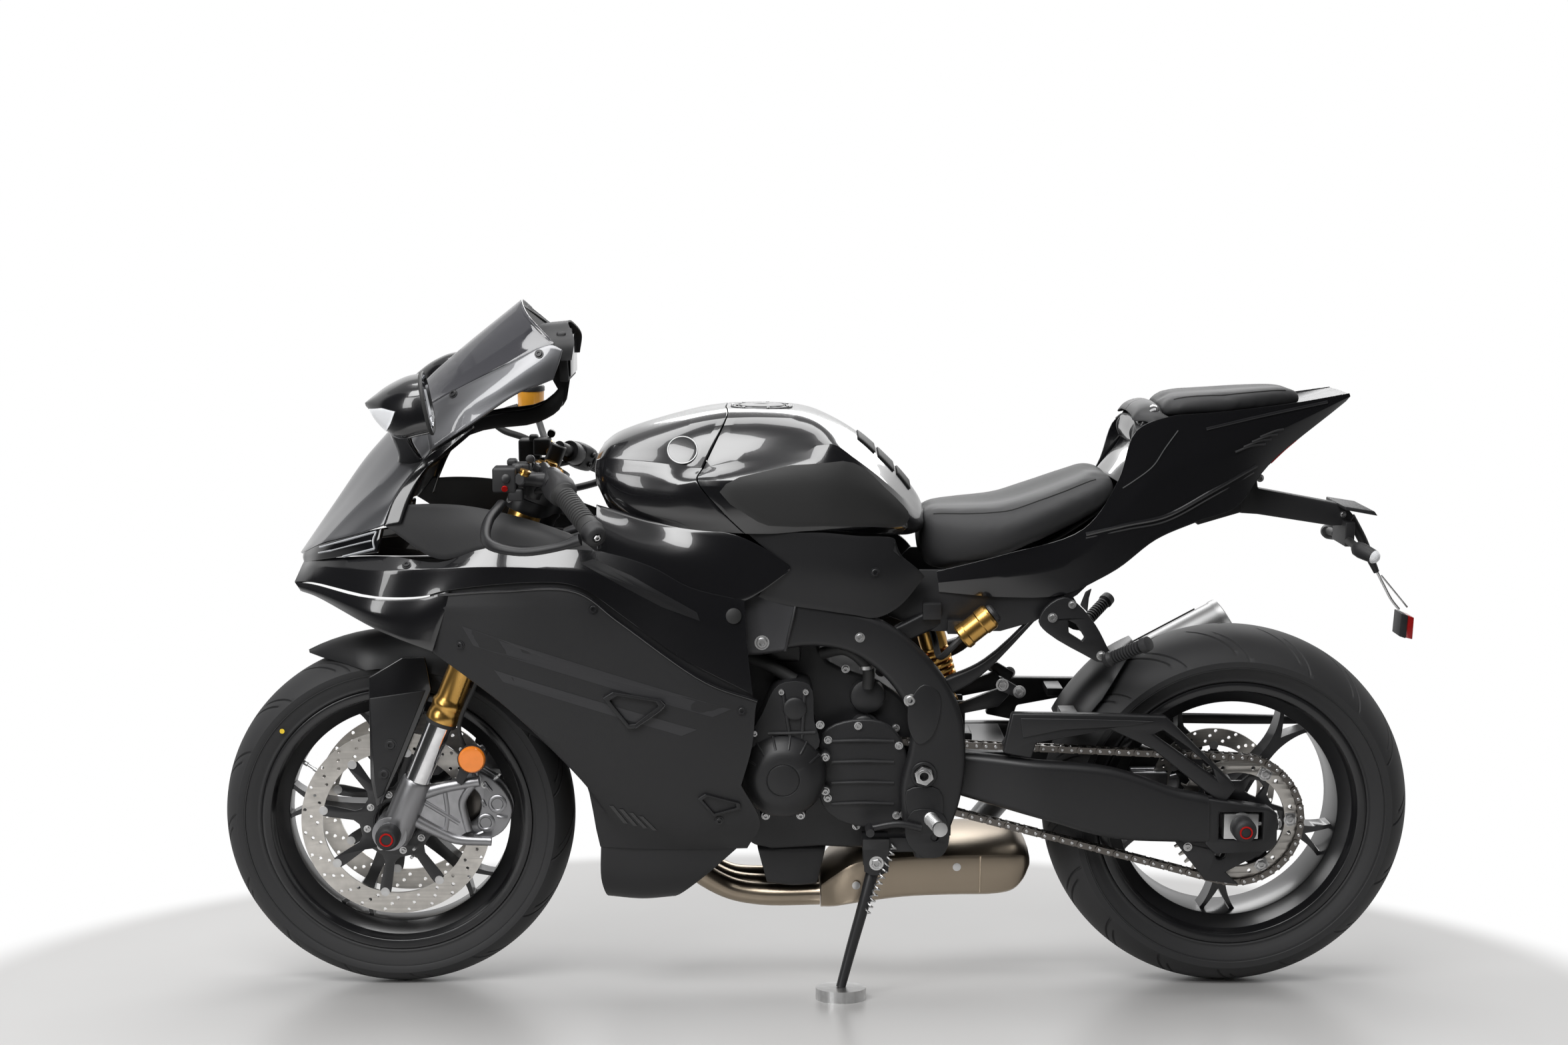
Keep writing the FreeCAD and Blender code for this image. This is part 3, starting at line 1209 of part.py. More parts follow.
bar_start = Vector(20, float(fork_side) + 34, float(upper_clamp + bar_rise))
grip_end = bar_start + Vector(-float(bar_sweep), float(bar_reach), -float(bar_drop))
clamps()
fork_tubes()
fork_sliders()
handlebars()
bar_controls()


def front_fender():
    centre = Vector(float(axle_offset), 0, 0)
    outer = Part.makeCylinder(324, 140, centre + Vector(0, -70, 0), Vector(0, 1, 0))
    inner = Part.makeCylinder(320, 140, centre + Vector(0, -70, 0), Vector(0, 1, 0))
    wedge = Part.Face(wire([(28, -70, 0), (360, -70, 330), (-60, -70, 420), (-160, -70, 330)])).extrude(Vector(0, 140, 0))
    guard = outer.cut(inner).common(wedge)
    leg = Part.Face(wire([(50, 70, 100), (90, 70, 120), (78, 70, 300), (60, 70, 330), (-30, 70, 330), (-10, 70, 300)]))
    leg = leg.extrude(Vector(0, 4, 0))
    return shaped("front_fender", guard.fuse([leg, flipped(leg)]), fork_frame)


def front_calipers():
    """Radial calipers: two halves joined past the edge of the disc."""
    low = float(disc_side) - 22
    body = caliper_outline().extrude(Vector(0, 46, 0))
    body.translate(Vector(0, low, 0))
    slot = Part.makeCylinder(float(disc_radius) + 6, 15, Vector(float(axle_offset), float(disc_side) - 7.5, 0), Vector(0, 1, 0))
    return shaped("front_calipers", both(body.cut(slot)), fork_frame)


front_fender()
front_calipers()

# Side stand and the puck under its foot


def side_stand():
    """The stand's eye, its bent leg and its pad, which lies level on the puck while the machine leans."""
    pivot = Vector(float(stand_x), float(stand_side), float(stand_z))
    sole = (float(puck_height) + 6 - lift) / lean_cos
    foot = Vector(float(foot_x), float(foot_side), sole + float(foot_side) * lean_sin / lean_cos)
    knee = Vector(pivot.x + (foot.x - pivot.x) * 0.3, pivot.y, pivot.z + (foot.z - pivot.z) * 0.3)
    eye = rod((pivot.x, stand_eye_low, pivot.z), (pivot.x, stand_eye_high, pivot.z), 18)
    leg = rod(tuple(pivot), tuple(knee), 10)
    shin = rod(tuple(knee), tuple(foot), 10)
    bend = Part.makeSphere(10, knee)
    pin = rod((pivot.x, stand_eye_low - 20, pivot.z), (pivot.x, stand_eye_high + 20, pivot.z), 6 + float(seat_gap))
    down = Rotation(Vector(1, 0, 0), float(lean)).multVec(Vector(0, 0, -1))
    sole_plate = Part.makeCylinder(26, 8, foot + down * -2, down)
    shaped("side_stand", eye.fuse([leg, shin, bend, sole_plate]).cut(pin))
    puck = Part.makeCylinder(float(puck_radius), float(puck_height), foot + down * 6, down)
    return shaped("stand_puck", puck)


side_stand()

# Every sub-part is leant and moved to the machine's own origin

lean_turn = Rotation(Vector(1, 0, 0), -float(lean))
stand = Placement(Vector(-float(origin_x), -float(origin_y), lift), lean_turn)
doc.recompute()
for thing, frame_of in sub_parts:
    local = wheel_frame.get(frame_of, frame_of) if isinstance(frame_of, str) else frame_of
    thing.Placement = stand.multiply(local)
doc.recompute()

for thing in doc.Objects:
    bad = [state for state in thing.State if state in ("Invalid", "Error")]
    if bad:
        raise RuntimeError(thing.Name + " " + " ".join(bad))
for thing, frame_of in sub_parts:
    if thing.Shape.isNull() or not thing.Shape.isValid():
        raise RuntimeError(thing.Label + " has no valid shape")
box = FreeCAD.BoundBox()
for thing, frame_of in sub_parts:
    thing.Shape.exportStep("parts/" + thing.Label + ".step")
    box.add(thing.Shape.BoundBox)
    print(thing.Label, len(thing.Shape.Solids), round(thing.Shape.Volume / 1000))
print("box", box)
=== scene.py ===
# %% [markdown]
# A sport motorcycle, dressed for a studio picture.
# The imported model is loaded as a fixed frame, and everything that is made here is put where that frame says.
# The machine is drawn upright, so two helper frames are worked out from its joints: one for the machine and
# one for the fork.

# %% Load the frame
import bmesh
import bpy
import json
from math import asin, atan2, copysign, cos, degrees, hypot, pi, radians, sin, sqrt
from mathutils import Matrix, Vector
from mathutils.bvhtree import BVHTree
from mathutils.geometry import tessellate_polygon


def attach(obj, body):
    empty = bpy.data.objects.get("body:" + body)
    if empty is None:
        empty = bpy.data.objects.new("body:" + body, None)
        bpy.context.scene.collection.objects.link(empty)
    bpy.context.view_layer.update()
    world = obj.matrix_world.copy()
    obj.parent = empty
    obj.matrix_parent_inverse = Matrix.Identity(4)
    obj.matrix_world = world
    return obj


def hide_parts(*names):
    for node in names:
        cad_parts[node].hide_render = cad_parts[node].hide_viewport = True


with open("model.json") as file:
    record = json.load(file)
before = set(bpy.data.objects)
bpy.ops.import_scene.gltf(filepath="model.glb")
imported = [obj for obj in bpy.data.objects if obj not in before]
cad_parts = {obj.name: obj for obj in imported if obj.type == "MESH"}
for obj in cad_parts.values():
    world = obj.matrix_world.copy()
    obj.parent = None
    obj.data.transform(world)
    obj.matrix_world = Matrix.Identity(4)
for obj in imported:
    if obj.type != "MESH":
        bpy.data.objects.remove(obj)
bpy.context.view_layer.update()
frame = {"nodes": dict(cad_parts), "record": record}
nodes = frame["nodes"]
joints = {joint["name"]: joint for joint in frame["record"]["behaviour"]["joints"]}

# %% [markdown]
# The rear axle gives the direction of the rider's left, and so the lean. The wheel's radius under it gives
# the ground line. Lengths in this file are millimetres, and one matrix turns them into the frame's metres.

# %% The machine's frame and the fork's frame


def spot(*numbers):
    return Vector(numbers)


REAR_RADIUS = 315.0
FRONT_RADIUS = 300.0
STEM_POINT = 520.0
left = Vector(joints["rear_axle"]["axis"])
forward = spot(1, 0, 0)
up = forward.cross(left)
rear_hub = Vector(joints["rear_axle"]["pos_m"])
front_hub = Vector(joints["front_axle"]["pos_m"])
stem = Vector(joints["steering_axis"]["axis"])


def frame_matrix(x_axis, y_axis, z_axis, origin):
    """Millimetres along three directions from an origin, as metres in the shared frame."""
    return Matrix.Translation(origin) @ Matrix((x_axis, y_axis,
        z_axis)).transposed().to_4x4() @ Matrix.Scale(0.001, 4)


bike = frame_matrix(forward, left, up, rear_hub - up * REAR_RADIUS / 1000)
rear_wheel = frame_matrix(forward, left, up, rear_hub)
front_wheel = frame_matrix(forward, left, up, front_hub)
fork = frame_matrix(left.cross(stem), left, stem,
    Vector(joints["steering_axis"]["pos_m"]) - stem * STEM_POINT / 1000)
print("lean", round(degrees(asin(abs(left.z))), 2), "degrees")

# %% [markdown]
# The camera stands where the photograph was taken from: on the left side, a little under four metres away,
# and just below the height of the handlebars.

# %% Camera
SENSOR = 36
LENS = 47.36
YAW = -0.91
PITCH = 0.25
camera_place = spot(0.115, 3.477, 0.7798)
camera = bpy.data.objects.new("camera", bpy.data.cameras.new("camera"))
bpy.context.scene.collection.objects.link(camera)
camera.data.sensor_width = SENSOR
camera.data.lens = LENS
camera.rotation_mode = "XYZ"
camera.location = camera_place
camera.rotation_euler = (pi / 2 + radians(PITCH), 0, pi + radians(YAW))
bpy.context.scene.camera = camera
bpy.context.scene.view_settings.view_transform = "Standard"

# %% [markdown]
# Every finish is a plain shader with the same two effects laid over it, so that a new one is a single line. An
# effect is a node group: it gives out a colour or a value, and the shader itself keeps its constants.

# %% Node helpers


def new_material(name):
    material = bpy.data.materials.new(name)
    material.use_nodes = True
    tree = material.node_tree
    return material, tree, tree.nodes["Principled BSDF"]


def node(tree, kind, **values):
    made = tree.nodes.new("ShaderNode" + kind)
    for key, value in values.items():
        setattr(made, key, value)
    return made


def wire(source, outlet, target, inlet):
    target.id_data.links.new(source.outputs[outlet], target.inputs[inlet])


def put(target, **values):
    for key, value in values.items():
        target.inputs[key.replace("_", " ")].default_value = value


def group(name, inputs, outputs):
    """A shared effect as a node group: inputs are (name, default), outputs are (name, socket type)."""
    tree = bpy.data.node_groups.new(name, "ShaderNodeTree")
    for label, default in inputs:
        kind = "NodeSocketColor" if isinstance(default, tuple) else "NodeSocketFloat"
        tree.interface.new_socket(label, in_out="INPUT", socket_type=kind).default_value = default
    for label, kind in outputs:
        tree.interface.new_socket(label, in_out="OUTPUT", socket_type=kind)
    return tree, tree.nodes.new("NodeGroupInput"), tree.nodes.new("NodeGroupOutput")


def use_group(tree, made, **values):
    placed = node(tree, "Group", node_tree=made)
    put(placed, **values)
    return placed


# %% Shared effects: grain, and lighter edges, partly rubbing and partly painted highlight


def make_grain():
    """Fine moulded grain: a height for bump and a roughness that varies round a base value."""
    tree, start, end = group("Grain", [("Scale", 800), ("Base", 0.4), ("Spread", 0.1)],
                             [("Height", "NodeSocketFloat"), ("Roughness", "NodeSocketFloat")])
    place = node(tree, "TexCoord")
    fine = node(tree, "TexNoise")
    put(fine, Detail=3)
    broad = node(tree, "TexNoise")
    put(broad, Scale=9, Detail=4)
    wire(place, "Object", fine, "Vector")
    wire(place, "Object", broad, "Vector")
    wire(start, "Scale", fine, "Scale")
    shift = node(tree, "Math", operation="SUBTRACT")
    shift.inputs[1].default_value = 0.5
    wire(broad, "Fac", shift, 0)
    spread = node(tree, "Math", operation="MULTIPLY_ADD")
    wire(shift, 0, spread, 0)
    wire(start, "Spread", spread, 1)
    wire(start, "Base", spread, 2)
    wire(fine, "Fac", end, "Height")
    wire(spread, 0, end, "Roughness")
    return tree


def make_wear_and_highlight():
    """Edges a little lighter, partly from rubbing and partly a painted highlight: mixes a lighter colour in where
    the surface turns sharply.
    """
    tree, start, end = group("Edge wear and painted highlight", [("Color", (0.02, 0.02, 0.02, 1)), ("Worn", (0.1, 0.1, 0.1, 1)),
        ("Amount", 0.4)],
                             [("Color", "NodeSocketColor")])
    shape = node(tree, "NewGeometry")
    place = node(tree, "TexCoord")
    noise = node(tree, "TexNoise")
    put(noise, Scale=60)
    wire(place, "Object", noise, "Vector")
    # Sharp edges take the lighter colour from pointiness: a painted highlight, partly standing for rubbing.
    edge = node(tree, "MapRange")
    put(edge, From_Min=0.52, From_Max=0.62)
    wire(shape, "Pointiness", edge, "Value")
    patchy = node(tree, "Math", operation="MULTIPLY")
    wire(edge, 0, patchy, 0)
    wire(noise, "Fac", patchy, 1)
    amount = node(tree, "Math", operation="MULTIPLY")
    wire(patchy, 0, amount, 0)
    wire(start, "Amount", amount, 1)
    mix = node(tree, "Mix", data_type="RGBA")
    wire(amount, 0, mix, "Factor")
    wire(start, "Color", mix, "A")
    wire(start, "Worn", mix, "B")
    wire(mix, "Result", end, "Color")
    return tree


grain = make_grain()
wear_and_highlight = make_wear_and_highlight()
print("groups", len(bpy.data.node_groups))

# %% Finishes


def finish(name, color, rough, spread=0.06, grain_scale=900.0, bump=0.02, metallic=0.0, coat=0.0, coat_rough=0.04):
    """A solid finish: edges painted lighter (partly rubbing, partly a painted highlight), roughness that drifts,
    fine grain, and a clear coat if it has one.
    """
    material, tree, shader = new_material(name)
    grained = use_group(tree, grain, Scale=grain_scale, Base=rough, Spread=spread)
    wire(grained, "Roughness", shader, "Roughness")
    # The edge colour is 2.5 times lighter: a painted highlight on every edge, partly rubbing.
    rubbed_and_highlighted = use_group(tree, wear_and_highlight, Color=(*color, 1), Worn=(*[c * 2.5 + 0.02 for c in color], 1), Amount=0.5)
    wire(rubbed_and_highlighted, "Color", shader, "Base Color")
    if bump:
        relief = node(tree, "Bump")
        put(relief, Strength=bump, Distance=0.0004)
        wire(grained, "Height", relief, "Height")
        wire(relief, "Normal", shader, "Normal")
    put(shader, Metallic=metallic, Coat_Weight=coat, Coat_Roughness=coat_rough)
    return material


materials = {
    "gloss_black": finish("gloss black lacquer", (0.006, 0.006, 0.007), 0.22, 0.05, 2400, 0.03, coat=1.0,
    coat_rough=0.02),
    "graphite": finish("graphite lacquer", (0.105, 0.106, 0.112), 0.34, 0.05, 2400, 0.04, metallic=0.55, coat=1.0,
    coat_rough=0.03),
    "satin_black": finish("satin black lacquer", (0.0085, 0.0085, 0.0095), 0.42, 0.08, 1500, 0.05),
    "frame_black": finish("satin black frame paint", (0.011, 0.011, 0.012), 0.42, 0.1, 700, 0.25),
    "engine_black": finish("engine black", (0.012, 0.012, 0.013), 0.45, 0.12, 900, 0.35),
    "matte_plastic": finish("matte black plastic", (0.013, 0.013, 0.014), 0.55, 0.1, 1200, 0.35),
    "radiator_black": finish("radiator black", (0.012, 0.012, 0.012), 0.6, 0.1, 900, 0.3),
    "seat_cover": finish("seat cover", (0.014, 0.014, 0.015), 0.62, 0.1, 1400, 0.5),
    "titanium": finish("heat tinted titanium", (0.36, 0.30, 0.23), 0.3, 0.1, 500, 0.1, metallic=1.0),
    "smoked_screen": finish("smoked screen", (0.05, 0.05, 0.058), 0.06, 0.02, 900, 0, coat=1.0, coat_rough=0.01),
    "lamp_glass": finish("lamp glass", (0.5, 0.52, 0.55), 0.08, 0.02, 900, 0),
    "lamp_dark": finish("lamp housing", (0.004, 0.004, 0.005), 0.12, 0.03, 900, 0, coat=1.0, coat_rough=0.01),
    "light_guide": finish("light guide", (0.42, 0.43, 0.45), 0.14, 0.03, 900, 0, coat=0.6),
    "clear_lens": finish("clear lens", (0.75, 0.76, 0.78), 0.1, 0.03, 300, 0.15, coat=1.0, coat_rough=0.02),
    "amber_fluid": finish("brake fluid pot", (0.72, 0.32, 0.03), 0.25, 0.05, 300, 0.05, coat=0.8, coat_rough=0.05),
    "amber_lens": finish("amber lens", (0.75, 0.2, 0.015), 0.15, 0.03, 500, 0.1, coat=1.0),
    "tonal_print": finish("tonal print", (0.028, 0.028, 0.030), 0.45, 0.05, 1200, 0.05),
    "paint_yellow": finish("yellow paint", (0.6, 0.42, 0.02), 0.6, 0.05, 900, 0),
    "rubber": finish("moulded rubber", (0.016, 0.016, 0.016), 0.6, 0.1, 1600, 0.3),
    "chrome": finish("chrome", (0.72, 0.72, 0.73), 0.1, 0.04, 300, 0, metallic=1.0),
    "seat_thread": finish("seat thread", (0.008, 0.008, 0.008), 0.7, 0.05, 2000, 0.2),
    "satin_metal": finish("satin metal", (0.25, 0.25, 0.25), 0.35, 0.1, 900, 0.1, metallic=1.0),
    "red_lens": finish("red lens", (0.3, 0.006, 0.006), 0.1, 0.02, 900, 0, coat=1.0),
    "gold_anodised": finish("gold anodised", (0.62, 0.36, 0.1), 0.28, 0.08, 900, 0.05, metallic=1.0),
    "chain_steel": finish("chain steel", (0.13, 0.12, 0.11), 0.35, 0.15, 500, 0.2, metallic=1.0),
    "bare_aluminium": finish("bare aluminium", (0.5, 0.5, 0.5), 0.36, 0.1, 700, 0.2, metallic=1.0),
    "caliper_grey": finish("caliper grey", (0.32, 0.32, 0.33), 0.38, 0.1, 900, 0.3, metallic=1.0),
    "wheel_black": finish("wheel black", (0.009, 0.009, 0.01), 0.3, 0.08, 900, 0.1, coat=0.3, coat_rough=0.15),
    "tyre": finish("tyre rubber", (0.022, 0.022, 0.023), 0.66, 0.12, 1500, 0.4),
    "frame_grey": finish("grey frame casting", (0.05, 0.05, 0.053), 0.4, 0.1, 600, 0.4, metallic=0.4),
    "red_anodised": finish("red anodised ring", (0.5, 0.012, 0.01), 0.3, 0.05, 900, 0, metallic=0.8),
    "mirror_glass": finish("mirror glass", (0.75, 0.76, 0.78), 0.03, 0.01, 300, 0, metallic=1.0),
    "disc_steel": finish("ground disc steel", (0.5, 0.48, 0.45), 0.34, 0.1, 700, 0.1, metallic=1.0),
}
put(materials["smoked_screen"].node_tree.nodes["Principled BSDF"], Alpha=0.62)
slots = {entry["node"]: entry["material_slot"] for entry in frame["record"]["subparts"]}
for name, thing in nodes.items():
    thing.data.materials.clear()
    thing.data.materials.append(materials[slots[name]])
print("finishes", len(materials))

# %% [markdown]
# Bodywork of this kind is injection moulded, castings are poured and then machined at their faces, and tubes are
# drawn and bent. The helpers follow those three ways: a net of points becomes a moulded sheet with a wall, an
# outline becomes a plate with rounded edges, and a line becomes a tube. Points are millimetres on the machine.

# %% Mesh helpers


def line_of(table):
    """The points of a table: a comma stands after each point. A list stays as it is."""
    if not isinstance(table, str):
        return table
    return [tuple(float(n) if "." in n else int(n) for n in point.split()) for point in table.split(",")]


def rows_of(table):
    """Rows of points, each on its own line. A row goes on in the next line after a comma."""
    if not isinstance(table, str):
        return table
    return [line_of(row) for row in table.strip().replace(",\n", ", ").split("\n")]


def stations_of(table):
    """Stations of a bar: the (x, z) of its upper and its lower edge, the side and the width."""
    if not isinstance(table, str):
        return table
    return [((s[0], s[1]), (s[2], s[3]), s[4], s[5]) for s in line_of(table)]


def join(*meshes):
    points = []
    faces = []
    for more_points, more_faces in meshes:
        first = len(points)
        points += [Vector(p) for p in more_points]
        faces += [[first + i for i in face] for face in more_faces]
    return points, faces


def moved(mesh, matrix):
    return [matrix @ Vector(p) for p in mesh[0]], mesh[1]


def mirrored(mesh):
    return [spot(p[0], -p[1], p[2]) for p in mesh[0]], [face[::-1] for face in mesh[1]]


def both(*meshes):
    """The pieces and their twins on the right."""
    mesh = join(*meshes)
    return join(mesh, mirrored(mesh))


def spun(mesh, count, start=0.0):
    """Copies of a piece round the Y axis."""
    return join(*[moved(mesh, Matrix.Rotation(-radians(start + 360 * i / count), 4, "Y")) for i in range(count)])


def caps(points, wide):
    """The two end faces of a closed grid."""
    return [list(range(wide)), [len(points) - wide + k for k in range(wide)][::-1]]


def grid(rows, closed=False):
    """Quads over rows of points. A closed grid joins each row's end to its start."""
    wide = len(rows[0])
    points = [Vector(p) for row in rows for p in row]
    faces = []
    for i in range(len(rows) - 1):
        for j in range(wide if closed else wide - 1):
            k = (j + 1) % wide
            faces.append([i * wide + j, i * wide + k, (i + 1) * wide + k, (i + 1) * wide + j])
    return points, faces


def spline(points, count, closed=False):
    """A smooth line through the points, with count steps in each span."""
    points = line_of(points)
    points = [Vector(p) for p in points]
    total = len(points)
    line = []
    for i in range(total if closed else total - 1):
        b = points[i]
        c = points[(i + 1) % total]
        a = points[i - 1] if closed or i else b * 2 - c
        d = points[(i + 2) % total] if closed or i + 2 < total else c * 2 - b
        t1 = max((b - a).length, 1e-6) ** 0.5
        t2 = t1 + max((c - b).length, 1e-6) ** 0.5
        t3 = t2 + max((d - c).length, 1e-6) ** 0.5
        for k in range(count):
            t = t1 + (t2 - t1) * k / count
            ab = a.lerp(b, t / t1)
            bc = b.lerp(c, (t - t1) / (t2 - t1))
            cd = c.lerp(d, (t - t2) / (t3 - t2))
            low = ab.lerp(bc, t / t2)
            high = bc.lerp(cd, (t - t1) / (t3 - t1))
            line.append(low.lerp(high, (t - t1) / (t2 - t1)))
    if not closed:
        line.append(points[-1])
    return line


def smooth_outline(outline, count):
    """A closed (x, z) outline with its corners drawn round."""
    return [(p.x, p.y) for p in spline([(x, z, 0) for x, z in line_of(outline)], count, True)]


def net(rows, along=6, across=5, creases=()):
    """A fine net through rows of points, smooth but for the rows that are creases."""
    rows = rows_of(rows)
    fine = [spline(row, along) for row in rows]
    marks = [0, *creases, len(rows) - 1]
    columns = []
    for j in range(len(fine[0])):
        line = [fine[0][j]]
        for first, last in zip(marks, marks[1:]):
            line += spline([row[j] for row in fine[first:last + 1]], across)[1:]
        columns.append(line)
    return grid(columns)


def faced(mesh, out):
    """A sheet with its faces turned outwards. The direction is for the left half of the machine."""
    points, faces = mesh
    total = 0
    for face in faces:
        a, b, c = points[face[0]], points[face[1]], points[face[2]]
        total += (b - a).cross(c - a).dot(spot(out[0], out[1] * (1 if a.y + c.y >= 0 else -1), out[2]))
    return mesh if total > 0 else (points, [face[::-1] for face in faces])


def across(rows):
    """A net from the right edge over the middle to the left edge, from its left half."""
    return [[(x, -y, z) for x, y, z in row] for row in reversed(rows[1:])] + rows


def plate(loops, low, high):
    """A flat piece with holes: (x, z) outlines between two sides, as a closed mesh."""
    loops = rows_of(loops)
    flat = [spot(a, c, 0) for loop in loops for a, c in loop]
    triangles = tessellate_polygon([[spot(a, c, 0) for a, c in loop] for loop in loops])
    total = len(flat)
    points = [spot(p.x, low, p.y) for p in flat] + [spot(p.x, high, p.y) for p in flat]
    if len(loops) == 1:
        faces = [list(range(total)), [total + i for i in range(total)][::-1]]
    else:
        faces = [list(t) for t in triangles] + [[total + i for i in t][::-1] for t in triangles]
    first = 0
    for loop in loops:
        for i in range(len(loop)):
            a = first + i
            b = first + (i + 1) % len(loop)
            faces.append([a, b, total + b, total + a])
        first += len(loop)
    return points, faces


def circle(x, z, radius, count=24):
    return [(x + radius * cos(2 * pi * i / count), z + radius * sin(2 * pi * i / count)) for i in range(count)]


def lathe(profile, start, end, steps=32):
    """A turned piece. The profile is (distance along the axis, radius), and a zero radius closes an end."""
    profile = line_of(profile)
    start = Vector(start)
    axis = (Vector(end) - start).normalized()
    side = axis.orthogonal().normalized()
    third = axis.cross(side)
    rows = []
    for along, radius in profile:
        rows.append([start + axis * along + (side * cos(2 * pi * i / steps)
            + third * sin(2 * pi * i / steps)) * radius
                     for i in range(steps)])
    points, faces = grid(rows, closed=True)
    return points, faces


def hub(profile, place, steps=32):
    """A turned part that points to the rider's left."""
    return lathe(profile, place, Vector(place) + spot(0, 1, 0), steps)


def turned(profile, steps=96):
    """A ring round the wheel's axle. The profile is a closed line of (side, radius)."""
    rows = []
    for side, radius in list(profile) + [profile[0]]:
        rows.append([(radius * cos(2 * pi * i / steps), side, radius * sin(2 * pi * i / steps))
                     for i in range(steps)])
    return grid(rows, closed=True)


def sweep(points, radius, sides=12, smooth=4, flat=1.0, closed=False):
    """A tube along a line. The radius is one number, or one for each given point."""
    points = line_of(points)
    line = spline(points, smooth, closed) if smooth > 1 else [Vector(p) for p in points]
    if isinstance(radius, (int, float)):
        radii = [radius] * len(line)
    else:
        radii = [p.x for p in spline([(r, 0, 0) for r in radius], smooth)]
    rows = []
    side = None
    for i, place in enumerate(line):
        before = line[i - 1] if i else line[-1 if closed else 0]
        after = line[(i + 1) % len(line)] if closed else line[min(i + 1, len(line) - 1)]
        along = (after - before).normalized()
        side = along.orthogonal() if side is None else side - along * side.dot(along)
        side.normalize()
        third = along.cross(side)
        rows.append([place + (side * cos(2 * pi * k / sides) + third * sin(2 * pi * k / sides) * flat) * radii[i]
                     for k in range(sides)])
    if closed:
        return grid(rows + [rows[0]], closed=True)
    points, faces = grid(rows, closed=True)
    faces += caps(points, sides)
    return points, faces


def loft(stations, rounding=6, steps=4, corner=3):
    """A bar with rounded corners. A station is top (x, z), low (x, z), side and width."""
    stations = stations_of(stations)
    keys = [(spot(top[0], 0, top[1]), spot(low[0], 0, low[1]), spot(side, width, 0)) for top, low, side,
        width in stations]
    tops, lows, sides = (spline([key[i] for key in keys], steps) for i in range(3))
    rows = []
    for top, low, data in zip(tops, lows, sides):
        up_line = top - low
        height = up_line.length
        up_line.normalize()
        half = data.y / 2
        radius = min(rounding, half * 0.95, height * 0.45)
        ring = []
        for centre_a, centre_b, turn in ((half - radius, height - radius, 0), (radius - half, height - radius, 1),
                                         (radius - half, radius, 2), (half - radius, radius, 3)):
            for k in range(corner + 1):
                angle = pi / 2 * (turn + k / corner)
                ring.append(low + spot(0, data.x, 0) + spot(0, 1, 0) * (centre_a + radius * cos(angle))
                            + up_line * (centre_b + radius * sin(angle)))
        rows.append(ring)
    points, faces = grid(rows, closed=True)
    return points, faces + caps(points, len(rows[0]))


def box_mesh(low, high):
    return plate([[(low[0], low[2]), (high[0], low[2]), (high[0], high[2]), (low[0], high[2])]], low[1], high[1])


def bolt(place, out, radius=6.0, height=5.0, sides=6, washer=True):
    """A bolt head: a washer, a chamfered head with that many sides, and a socket in it."""
    place = Vector(place)
    out = Vector(out).normalized()
    parts = []
    if washer:
        parts.append(lathe([(0, 0), (0, radius * 1.35), (1.2, radius * 1.35), (1.2, 0)], place, place + out, 20))
    parts.append(lathe([(0.5, 0), (0.5, radius), (height * 0.8, radius), (height, radius * 0.86),
        (height, radius * 0.5), (height * 0.45, radius * 0.5), (height * 0.45, 0)], place, place + out,
        6 if sides == 6 else 20))
    return join(*parts)


def side_bolt(place, radius, height, sides=6):
    return bolt(place, (0, 1, 0), radius, height, sides)


def side_cap(place, radius, height):
    return side_bolt(place, radius, height, 20)


class Surface:
    """A sheet that stickers, pads, bolts and trims are laid on, seen from the left."""

    def __init__(self, mesh):
        self.tree = BVHTree.FromPolygons(mesh[0], mesh[1])

    def at(self, x, z, proud=0.0, way=(0, -1, 0), start=None):
        origin = Vector(start) if start else spot(x, 500, z)
        hit, normal, index, distance = self.tree.ray_cast(origin, Vector(way))
        if hit is None:
            hit, normal, index, distance = self.tree.find_nearest(spot(x, 180, z))
        if normal.y < 0 and not start:
            normal = -normal
        return hit + normal * proud, normal


def laid(surface, outline, proud, steps=6, rings=4):
    """A patch laid on a surface: (x, z) corners joined by straight runs and filled towards their middle."""
    edge = []
    for i in range(len(outline)):
        a = spot(*outline[i], 0)
        b = spot(*outline[(i + 1) % len(outline)], 0)
        edge += [a.lerp(b, k / steps) for k in range(steps)]
    middle = sum(edge, spot(0, 0, 0)) / len(edge)
    rows = []
    for r in range(rings + 1):
        share = 1 - r / rings * 0.98
        rows.append([surface.at(*(middle.lerp(p, share)).xy, proud)[0] for p in edge])
    points, faces = grid(rows, closed=True)
    wide = len(edge)
    faces.append([len(points) - wide + k for k in range(wide)])
    return points, faces


def piece(name, mesh, finish_name, body="root", where=bike, stands_for=(), bevel=0, wall=0, segments=2, sharp=32,
          angle=30):
    """Puts a mesh in place, gives it its wall and rounded edges, and lets it ride on a body of the frame."""
    data = bpy.data.meshes.new(name)
    data.from_pydata([where @ Vector(p) for p in mesh[0]], [], mesh[1])
    if not wall:
        kit = bmesh.new()
        kit.from_mesh(data)
        bmesh.ops.remove_doubles(kit, verts=kit.verts, dist=0.00001)
        bmesh.ops.recalc_face_normals(kit, faces=kit.faces)
        kit.to_mesh(data)
        kit.free()
    thing = bpy.data.objects.new(name, data)
    bpy.context.scene.collection.objects.link(thing)
    data.materials.append(materials[finish_name])
    if wall:
        solid = thing.modifiers.new("wall", "SOLIDIFY")
        solid.thickness = wall / 1000
        solid.offset = -1
    if bevel:
        edge = thing.modifiers.new("edge", "BEVEL")
        edge.width = bevel / 1000
        edge.segments = segments
        edge.limit_method = "ANGLE"
        edge.angle_limit = radians(angle)
    settle(thing, sharp)
    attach(thing, body)
    stands_for = stands_for or (name,) * (name in nodes)
    if stands_for:
        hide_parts(*stands_for)
    return thing


